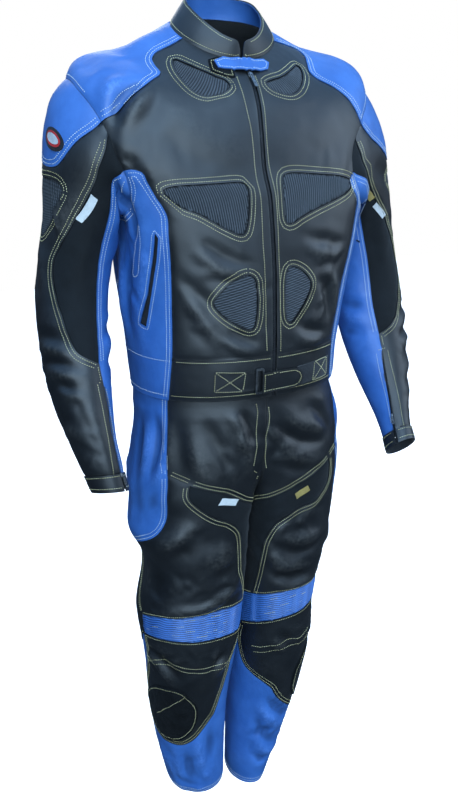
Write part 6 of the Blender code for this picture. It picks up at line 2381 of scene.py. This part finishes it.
def build_zips():
    """Teeth and sliders of the front zip and of both cuff zips."""
    body_sheet = SHEETS["body"]
    v = np.linspace(0.004, JACKET_LENGTH - 0.003, 220)
    middle = np.stack([(zip_edge(v, -1) + zip_edge(v, 1)) / 2, v], -1)
    teeth("zip_teeth_front", body_sheet, middle)
    slider("zip_slider_front", body_sheet, *FRONT_SLIDER, (0.0056, 0.0150, 0.0044))
    for side in (RIGHT, LEFT):
        sheet = SHEETS["arm_" + LABEL[side][0]]
        v = np.linspace(CUFF_ZIP_TOP[side] + 0.006, SLEEVE[side]["v"][-1] - 0.002, 90)
        middle = np.stack([cuff_zip_middle(side, v), v], -1)
        teeth("zip_teeth_cuff_" + LABEL[side], sheet, middle, 0.0026)
        slider("zip_slider_cuff_" + LABEL[side], sheet, *cuff_slider_place(side),
               (0.0030, 0.0080, 0.0040))


# ---------------------------------------------------------------- materials
class Look:
    """Short calls for building the nodes of a material, or of the world."""

    def __init__(self, owner, shader="Principled BSDF"):
        self.owner = owner
        owner.use_nodes = True
        self.tree = owner.node_tree
        self.shader = self.tree.nodes[shader]

    def node(self, kind, settings=None):
        """A new node with some of its inputs or settings given."""
        made = self.tree.nodes.new(kind)
        for key, value in (settings or {}).items():
            if key in made.inputs:
                made.inputs[key].default_value = value
            else:
                setattr(made, key, value)
        return made

    def for_camera(self, others, camera, end):
        """End in one shader for camera rays and in another for all others."""
        mix = self.node("ShaderNodeMixShader")
        self.link(self.node("ShaderNodeLightPath").outputs["Is Camera Ray"], mix.inputs[0])
        self.link(others.outputs[0], mix.inputs[1])
        self.link(camera.outputs[0], mix.inputs[2])
        self.link(mix.outputs[0], self.tree.nodes[end].inputs[0])

    def link(self, source, socket):
        """Feed a socket from another one, or with a value."""
        if isinstance(source, (int, float, tuple)):
            socket.default_value = source
        else:
            self.tree.links.new(source, socket)

    def place(self):
        return self.node("ShaderNodeTexCoord").outputs["Object"]

    def attribute(self, name):
        return self.node("ShaderNodeAttribute", {"attribute_name": name}).outputs["Vector"]

    def scaled(self, vector, scale):
        made = self.node("ShaderNodeMapping", {"Scale": scale})
        self.link(vector, made.inputs["Vector"])
        return made.outputs["Vector"]

    def cloud(self, vector, scale, detail=3.0, rough=0.5):
        made = self.node("ShaderNodeTexNoise", {"Scale": scale, "Detail": detail,
                                                "Roughness": rough})
        self.link(vector, made.inputs["Vector"])
        return made.outputs["Fac"]

    def cells(self, vector, scale, feature="F1", smooth=0.0):
        made = self.node("ShaderNodeTexVoronoi", {"feature": feature, "Scale": scale})
        if feature == "SMOOTH_F1":
            made.inputs["Smoothness"].default_value = smooth
        self.link(vector, made.inputs["Vector"])
        return made.outputs["Distance"]

    def bands(self, vector, pitch, way="X", distort=0.0):
        made = self.node("ShaderNodeTexWave", {"wave_type": "BANDS", "bands_direction": way,
                                               "Scale": 0.31416 / pitch, "Distortion": distort,
                                               "Detail": 1.0})
        self.link(vector, made.inputs["Vector"])
        return made.outputs["Fac"]

    def spread(self, value, low, high, to_low=0.0, to_high=1.0):
        made = self.node("ShaderNodeMapRange", {"From Min": low, "From Max": high,
                                                "To Min": to_low, "To Max": to_high})
        self.link(value, made.inputs["Value"])
        return made.outputs["Result"]

    def maths(self, what, a, b=0.0):
        made = self.node("ShaderNodeMath", {"operation": what})
        self.link(a, made.inputs[0])
        self.link(b, made.inputs[1])
        return made.outputs[0]

    def blend(self, share, a, b):
        made = self.node("ShaderNodeMix", {"data_type": "RGBA"})
        for value, socket in ((share, 0), (a, 6), (b, 7)):
            if isinstance(value, tuple):
                made.inputs[socket].default_value = (*value, 1.0)
            elif isinstance(value, float):
                made.inputs[socket].default_value = value
            else:
                self.link(value, made.inputs[socket])
        return made.outputs[2]

    def part_of(self, vector, axis):
        made = self.node("ShaderNodeSeparateXYZ")
        self.link(vector, made.inputs[0])
        return made.outputs[axis]

    def bump(self, height, depth, strength=1.0, under=None):
        made = self.node("ShaderNodeBump", {"Distance": depth, "Strength": strength})
        self.link(height, made.inputs["Height"])
        if under is not None:
            self.link(under, made.inputs["Normal"])
        return made.outputs["Normal"]

    def surface(self, **values):
        for key, value in values.items():
            socket = self.shader.inputs[key.replace("_", " ")]
            if isinstance(value, tuple) and len(value) == 3 and socket.type == "RGBA":
                socket.default_value = (*value, 1.0)
            else:
                self.link(value, socket)


# worn is the colour of rubbed leather and of the painted highlight on fold ridges
def leather(name, dark, light, worn, rough, coat, furrows=False):
    """Grained leather: pores, soft creasing, edges rubbed lighter, fold ridges lighter as rubbing
    and as painted highlight, darker in the seam grooves, painted shade in the fold troughs and,
    where furrows is set, in the furrows of shirring.
    """
    look = Look(bpy.data.materials.new(name))
    at = look.place()
    facts = look.attribute("facts")
    seam = look.part_of(facts, 0)
    fold = look.part_of(facts, 1)
    mottle = look.cloud(at, 22.0, 4.0, 0.6)
    patchy = look.cloud(at, 7.0, 2.0, 0.5)
    colour = look.blend(look.spread(mottle, 0.30, 0.72), dark, light)
    # fold ridges lighter: partly rubbed leather, partly a painted highlight where the folds stand
    # up
    ridge_highlight = look.spread(fold, 0.0006, 0.0040)
    edge = look.spread(seam, 0.0, 0.0030, 1.0, 0.0)
    # mask of the lighter colour: rubbed edges, and fold ridges that are partly painted highlight
    wear_and_highlight = look.maths("MULTIPLY", look.maths("MAXIMUM", ridge_highlight, edge),
                      look.spread(look.cloud(at, 160.0, 4.0, 0.7), 0.38, 0.68))
    # blend toward the worn colour: rubbed leather, with a painted highlight on the fold ridges
    colour = look.blend(look.maths("MULTIPLY", wear_and_highlight, 0.55), colour, worn)
    # painted shade: the fold troughs are darkened toward a third of the dark colour
    fold_shade = look.spread(fold, -0.0030, -0.0004, 0.55, 0.0)
    # the painted shade of the fold troughs, together with a darker band in the seam grooves
    deep = look.maths("MAXIMUM", fold_shade, look.spread(seam, 0.0, 0.0012, 0.6, 0.0))
    colour = look.blend(deep, colour, tuple(c * 0.35 for c in dark))
    if furrows:
        # painted shade in the furrows of the shirred band: they are darkened nearly to black
        furrow_shade = look.spread(look.part_of(facts, 2), -1.6, 0.3, 0.85, 0.0)
        colour = look.blend(furrow_shade, colour, tuple(c * 0.12 for c in dark))
    gloss = look.spread(patchy, 0.30, 0.70, rough - 0.05, rough + 0.07)
    gloss = look.maths("ADD", gloss, look.spread(mottle, 0.3, 0.7, -0.04, 0.05))
    gloss = look.maths("ADD", gloss, look.maths("MULTIPLY", wear_and_highlight, 0.10))
    bent = look.cloud(look.scaled(at, (1, 1, 0.8)), 60.0, 5.0, 0.62)
    pores = look.cells(at, 900.0, "SMOOTH_F1", 0.35)
    fine = look.cells(at, 1900.0)
    normal = look.bump(bent, 0.0009, 0.22)
    normal = look.bump(pores, 0.00022, 0.32, normal)
    normal = look.bump(fine, 0.00008, 0.25, normal)
    look.surface(Base_Color=colour, Roughness=gloss, Normal=normal, Coat_Weight=coat,
                 Coat_Roughness=0.38)


def woven(name, dark, light, pitch, rough, sheen, depth=0.00018):
    """A fine cloth woven both ways, with slubs and uneven dye."""
    look = Look(bpy.data.materials.new(name))
    plan = look.attribute("plan")
    at = look.place()
    warp = look.bands(plan, pitch, "X", 0.6)
    weft = look.bands(plan, pitch, "Y", 0.6)
    threads = look.maths("MULTIPLY", warp, weft)
    uneven = look.cloud(at, 30.0, 4.0, 0.6)
    colour = look.blend(look.spread(threads, 0.0, 0.8), dark, light)
    colour = look.blend(look.spread(uneven, 0.35, 0.75, 0.0, 0.45), colour,
                        tuple(c * 1.7 for c in light))
    normal = look.bump(look.cloud(at, 120.0, 3.0, 0.6), 0.0006, 0.35)
    normal = look.bump(threads, depth, 0.8, normal)
    gloss = look.spread(uneven, 0.3, 0.7, rough - 0.05, rough + 0.05)
    look.surface(Base_Color=colour, Roughness=gloss, Normal=normal, Sheen_Weight=sheen,
                 Sheen_Roughness=0.45, Specular_IOR_Level=0.2)


def ribbed(name, gain=1.0):
    """Grey rib knit: rows of loops on each rib, with painted shade in the furrows and along the
    seam; gain below 1 darkens the whole knit as painted shade.
    """
    look = Look(bpy.data.materials.new(name))
    plan = look.attribute("plan")
    at = look.place()
    seam = look.part_of(look.attribute("facts"), 0)
    loops = look.bands(plan, 0.0022, "Y", 1.2)
    cords = look.bands(plan, RIB_PITCH, "X", 0.2)
    uneven = look.cloud(at, 40.0, 4.0, 0.6)
    furrow = look.part_of(look.attribute("facts"), 2)
    colour = look.blend(look.spread(loops, 0.1, 0.9), (0.036, 0.041, 0.048), (0.088, 0.098, 0.112))
    colour = look.blend(look.spread(uneven, 0.3, 0.75, 0.0, 0.5), colour, (0.115, 0.128, 0.146))
    # painted shade: gain below 1 makes a darker copy of the knit for places in shade
    colour = look.blend(1.0 - gain, colour, (0.004, 0.005, 0.006))
    # painted shade in the furrows between the ribs
    colour = look.blend(look.spread(furrow, -0.7, 0.5, 0.92, 0.0), colour, (0.008, 0.009, 0.011))
    # painted shade along the seam, where the sunk knit meets the leather
    colour = look.blend(look.spread(seam, 0.0004, 0.0036, 0.85, 0.0), colour, (0.004, 0.004, 0.005))
    normal = look.bump(cords, 0.0004, 0.25)
    normal = look.bump(loops, 0.00030, 0.7, normal)
    normal = look.bump(look.cloud(at, 900.0, 2.0), 0.0002, 0.4, normal)
    gloss = look.spread(uneven, 0.3, 0.7, 0.72, 0.90)
    look.surface(Base_Color=colour, Roughness=gloss, Normal=normal, Sheen_Weight=0.10,
                 Sheen_Roughness=0.4, Specular_IOR_Level=0.3)


def fuzzy(name):
    """Short looped pile: a dense matt fuzz with lighter fibre tips."""
    look = Look(bpy.data.materials.new(name))
    at = look.place()
    fibres = look.cloud(at, 1100.0, 4.0, 0.75)
    tufts = look.cells(at, 420.0, "SMOOTH_F1", 0.5)
    worn = look.cloud(at, 45.0, 4.0, 0.6)
    colour = look.blend(look.spread(fibres, 0.35, 0.70), (0.0012, 0.0014, 0.0016),
                        (0.0070, 0.0078, 0.0086))
    colour = look.blend(look.spread(worn, 0.45, 0.75, 0.0, 0.3), colour, (0.020, 0.022, 0.024))
    normal = look.bump(tufts, 0.0010, 0.8)
    normal = look.bump(fibres, 0.0007, 0.8, normal)
    gloss = look.spread(fibres, 0.3, 0.7, 0.85, 1.0)
    look.surface(Base_Color=colour, Roughness=gloss, Normal=normal, Sheen_Weight=0.03,
                 Sheen_Roughness=0.35, Specular_IOR_Level=0.15)


def metal(name, dark, light, rough, metallic=1.0):
    """Dark plated metal with handling marks."""
    look = Look(bpy.data.materials.new(name))
    at = look.place()
    marks = look.cloud(look.scaled(at, (1, 1, 4)), 260.0, 5.0, 0.7)
    blotch = look.cloud(at, 70.0, 3.0)
    colour = look.blend(look.spread(marks, 0.35, 0.7), dark, light)
    gloss = look.spread(blotch, 0.3, 0.7, rough - 0.08, rough + 0.12)
    normal = look.bump(marks, 0.0001, 0.3)
    look.surface(Base_Color=colour, Roughness=gloss, Normal=normal, Metallic=metallic)


def thread(name, dark, light):
    """Twisted waxed thread."""
    look = Look(bpy.data.materials.new(name))
    at = look.place()
    faded = look.cloud(at, 35.0, 4.0, 0.65)
    twist = look.cloud(at, 1400.0, 2.0)
    colour = look.blend(look.spread(faded, 0.36, 0.66), dark, light)
    colour = look.blend(look.spread(twist, 0.3, 0.7, 0.0, 0.35), colour,
                        tuple(c * 0.45 for c in dark))
    normal = look.bump(twist, 0.0002, 0.5)
    gloss = look.spread(faded, 0.3, 0.7, 0.45, 0.62)
    look.surface(Base_Color=colour, Roughness=gloss, Normal=normal)


BLACK_DARK, BLACK_LIGHT = (0.0040, 0.0048, 0.0058), (0.0078, 0.0088, 0.0102)
BLUE_DARK, BLUE_LIGHT = (0.0300, 0.1130, 0.3650), (0.0500, 0.1620, 0.4750)

BLUE = (BLUE_DARK, BLUE_LIGHT, (0.120, 0.270, 0.680), 0.45, 0.15)

# The maker of each look, and its values: dark and light colour first, then as the maker says.
LOOKS = {
    "black_leather": (leather, BLACK_DARK, BLACK_LIGHT, (0.060, 0.056, 0.050), 0.45, 0.36),
    "blue_leather": (leather, *BLUE),
    # the gathered band: blue leather with painted shade in its furrows
    "shirred_leather": (leather, *BLUE, True),
    "stretch_fabric": (woven, (0.0035, 0.0042, 0.0050), (0.0090, 0.0105, 0.0120), 0.0013, 0.80,
                       0.06),
    "belt_web": (woven, (0.0050, 0.0050, 0.0060), (0.026, 0.028, 0.032), 0.0022, 0.60, 0.20,
                 0.00030),
    "lining": (woven, (0.010, 0.011, 0.013), (0.030, 0.032, 0.036), 0.0018, 0.80, 0.25),
    "zip_tape": (woven, (0.0050, 0.0050, 0.0060), (0.018, 0.019, 0.022), 0.0009, 0.62, 0.10),
    "grey_knit": (ribbed,),
    # a darker copy of the grey knit for the arms, as painted shade
    "dark_knit": (ribbed, 0.55),
    "hook_pile": (fuzzy,),
    "zip_teeth": (metal, (0.020, 0.021, 0.024), (0.075, 0.078, 0.085), 0.38, 0.6),
    "dark_metal": (metal, (0.150, 0.155, 0.162), (0.400, 0.405, 0.415), 0.32),
    "thread_yellow": (thread, (0.520, 0.440, 0.200), (0.800, 0.720, 0.400)),
    "thread_pale": (thread, (0.560, 0.600, 0.600), (0.820, 0.850, 0.820)),
    "tag_white": (woven, (0.420, 0.430, 0.430), (0.640, 0.640, 0.620), 0.0008, 0.70, 0.10),
    "tag_gold": (woven, (0.240, 0.170, 0.050), (0.480, 0.370, 0.120), 0.0008, 0.65, 0.10),
    "badge_dark": (woven, (0.006, 0.006, 0.007), (0.022, 0.022, 0.024), 0.0010, 0.60, 0.10),
    "badge_red": (woven, (0.300, 0.010, 0.012), (0.520, 0.030, 0.030), 0.0010, 0.60, 0.10),
    "badge": (woven, (0.330, 0.340, 0.350), (0.560, 0.570, 0.580), 0.0010, 0.60, 0.10),
}
# Pieces of these looks have a woven lining on the inside.
LINED = ("black_leather", "blue_leather", "stretch_fabric", "shirred_leather")
# Looks that are a variant of another material of the record.
SLOT_OF = {"belt_web": "black_leather", "shirred_leather": "blue_leather",
           "dark_knit": "grey_knit"}


def material(name):
    """The material of a look, made at its first use."""
    key = "look_" + name
    if key not in bpy.data.materials:
        make, *values = LOOKS[name]
        make(key, *values)
    return bpy.data.materials[key]


# ---------------------------------------------------------------- studio
CAMERA_TURN, CAMERA_TILT, CAMERA_ROLL = -27.0, 18.0, 0.7      # degrees
CAMERA_FAR, CAMERA_HIGH = 1.19, 1.33       # from the neck's axis, and above the floor
PHOTO_TALL, FOCAL_PIXELS = 800, 752.0      # height and focal length of the photograph in pixels
SENSOR = 36.0                              # mm
FLOOR_SIZE = 14.0
AIM = (0, 0, -0.45)                        # the point that all lamps face


def build_camera():
    """The camera fitted to the photograph."""
    turn, tilt, roll = (math.radians(a) for a in (CAMERA_TURN, CAMERA_TILT, CAMERA_ROLL))
    back = Vector((math.sin(turn) * math.cos(tilt), -math.cos(turn) * math.cos(tilt),
                   math.sin(tilt)))
    right = Vector((math.cos(turn), math.sin(turn), 0))
    up = back.cross(right)
    x_axis = right * math.cos(roll) - up * math.sin(roll)
    y_axis = right * math.sin(roll) + up * math.cos(roll)
    data = bpy.data.cameras.new("camera")
    data.sensor_width = SENSOR
    data.lens = FOCAL_PIXELS / PHOTO_TALL * SENSOR
    data.clip_start = 0.02
    cam = bpy.data.objects.new("camera", data)
    matrix = Matrix((x_axis, y_axis, back)).transposed().to_4x4()
    matrix.translation = Vector((math.sin(turn) * CAMERA_FAR, -math.cos(turn) * CAMERA_FAR,
                                 CAMERA_HIGH - NECK_HEIGHT))
    cam.matrix_world = matrix
    bpy.context.scene.collection.objects.link(cam)
    bpy.context.scene.camera = cam


def lamp(name, at, toward, size, power, colour):
    """A soft rectangular lamp."""
    data = bpy.data.lights.new(name, "AREA")
    data.shape = "RECTANGLE"
    data.size, data.size_y = size
    data.energy = power
    data.color = colour
    obj = bpy.data.objects.new(name, data)
    obj.location = at
    obj.rotation_mode = "QUATERNION"
    obj.rotation_quaternion = (Vector(toward) - Vector(at)).to_track_quat("-Z", "Y")
    bpy.context.scene.collection.objects.link(obj)


def build_floor():
    """A floor that the camera sees white and that throws little light back."""
    half = FLOOR_SIZE / 2
    mesh = bpy.data.meshes.new("floor")
    mesh.from_pydata([(-half, -half, 0), (half, -half, 0), (half, half, 0), (-half, half, 0)], [],
                     [(0, 1, 2, 3)])
    obj = bpy.data.objects.new("floor", mesh)
    obj.location = (0, 0, -NECK_HEIGHT)
    bpy.context.scene.collection.objects.link(obj)
    look = Look(bpy.data.materials.new("floor"))
    look.surface(Base_Color=look.blend(look.cloud(look.place(), 3.0), (0.80, 0.80, 0.81),
                                       (0.84, 0.84, 0.84)), Roughness=0.85,
                 Emission_Color=(1.0, 0.985, 0.96), Emission_Strength=1.0)
    dim = look.node("ShaderNodeBsdfDiffuse", {"Color": (0.05, 0.05, 0.05, 1.0)})
    look.for_camera(dim, look.shader, "Material Output")
    mesh.materials.append(look.owner)


def build_world():
    """A pale room: bright bluish above, dimmer and warmer low down; plain white behind."""
    world = bpy.data.worlds.new("studio")
    bpy.context.scene.world = world
    look = Look(world, "Background")
    way = look.node("ShaderNodeTexCoord").outputs["Generated"]
    ramp = look.node("ShaderNodeValToRGB")
    look.link(look.spread(look.part_of(way, 2), -1.0, 1.0), ramp.inputs[0])
    stops = ramp.color_ramp.elements
    stops[0].position, stops[0].color = 0.0, (0.012, 0.011, 0.009, 1)
    stops[1].position, stops[1].color = 1.0, (0.34, 0.60, 1.00, 1)
    for share, colour in ((0.50, (0.036, 0.040, 0.048, 1)), (0.64, (0.12, 0.20, 0.32, 1)),
                          (0.82, (0.24, 0.47, 0.86, 1))):
        stops.new(share).color = colour
    look.link(ramp.outputs[0], look.shader.inputs[0])
    look.shader.inputs["Strength"].default_value = 1.25
    plain = look.node("ShaderNodeBackground", {"Color": (1, 1, 1, 1), "Strength": 1.0})
    look.for_camera(look.shader, plain, "World Output")


def build_studio():
    build_camera()
    build_floor()
    build_world()
    for name, at, size, power, colour in (
            ("key", (-1.2, -3.1, 0.1), (3.2, 2.4), 118, (0.59, 0.80, 1.0)),
            ("top", (-0.4, -1.9, 1.9), (2.6, 2.0), 62, (0.50, 0.74, 1.0)),
            ("fill", (2.7, -1.4, 0.5), (2.0, 2.4), 42, (0.66, 0.82, 1.0)),
            ("back", (0.8, 2.6, 1.2), (2.0, 2.0), 34, (0.90, 0.95, 1.0))):
        lamp(name, at, AIM, size, power, colour)
    view = bpy.context.scene.view_settings
    view.view_transform = "Standard"
    view.look = "None"


# ---------------------------------------------------------------- all of it
def main():
    for u, v in (FRONT_SLIDER, BUCKLE):
        CALM.append(body(np.array([u]), np.array([v]))[0])
    for side in (RIGHT, LEFT):
        psi, v = cuff_slider_place(side)
        CALM.append(sleeve(side, np.array([psi]), np.array([v]))[0])
    share_seams()
    sheets = [plan_body(), plan_collar()]
    for side in (RIGHT, LEFT):
        sheets += [plan_sleeve(side), plan_leg(side)]
    for sheet in sheets:
        sheet.triangulate()
    raise_folds(sheets)
    for sheet in sheets:
        finish_sheet(sheet)
    lay_rows()
    build_stitches()
    build_tags()
    build_zips()
    for name in ("zip_pull_front", "zip_pull_cuff_right", "zip_pull_cuff_left", "belt_buckle"):
        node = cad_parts[name]
        node.data.materials.clear()
        node.data.materials.append(material("dark_metal"))
        node["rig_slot"] = "dark_metal"
    build_studio()


main()
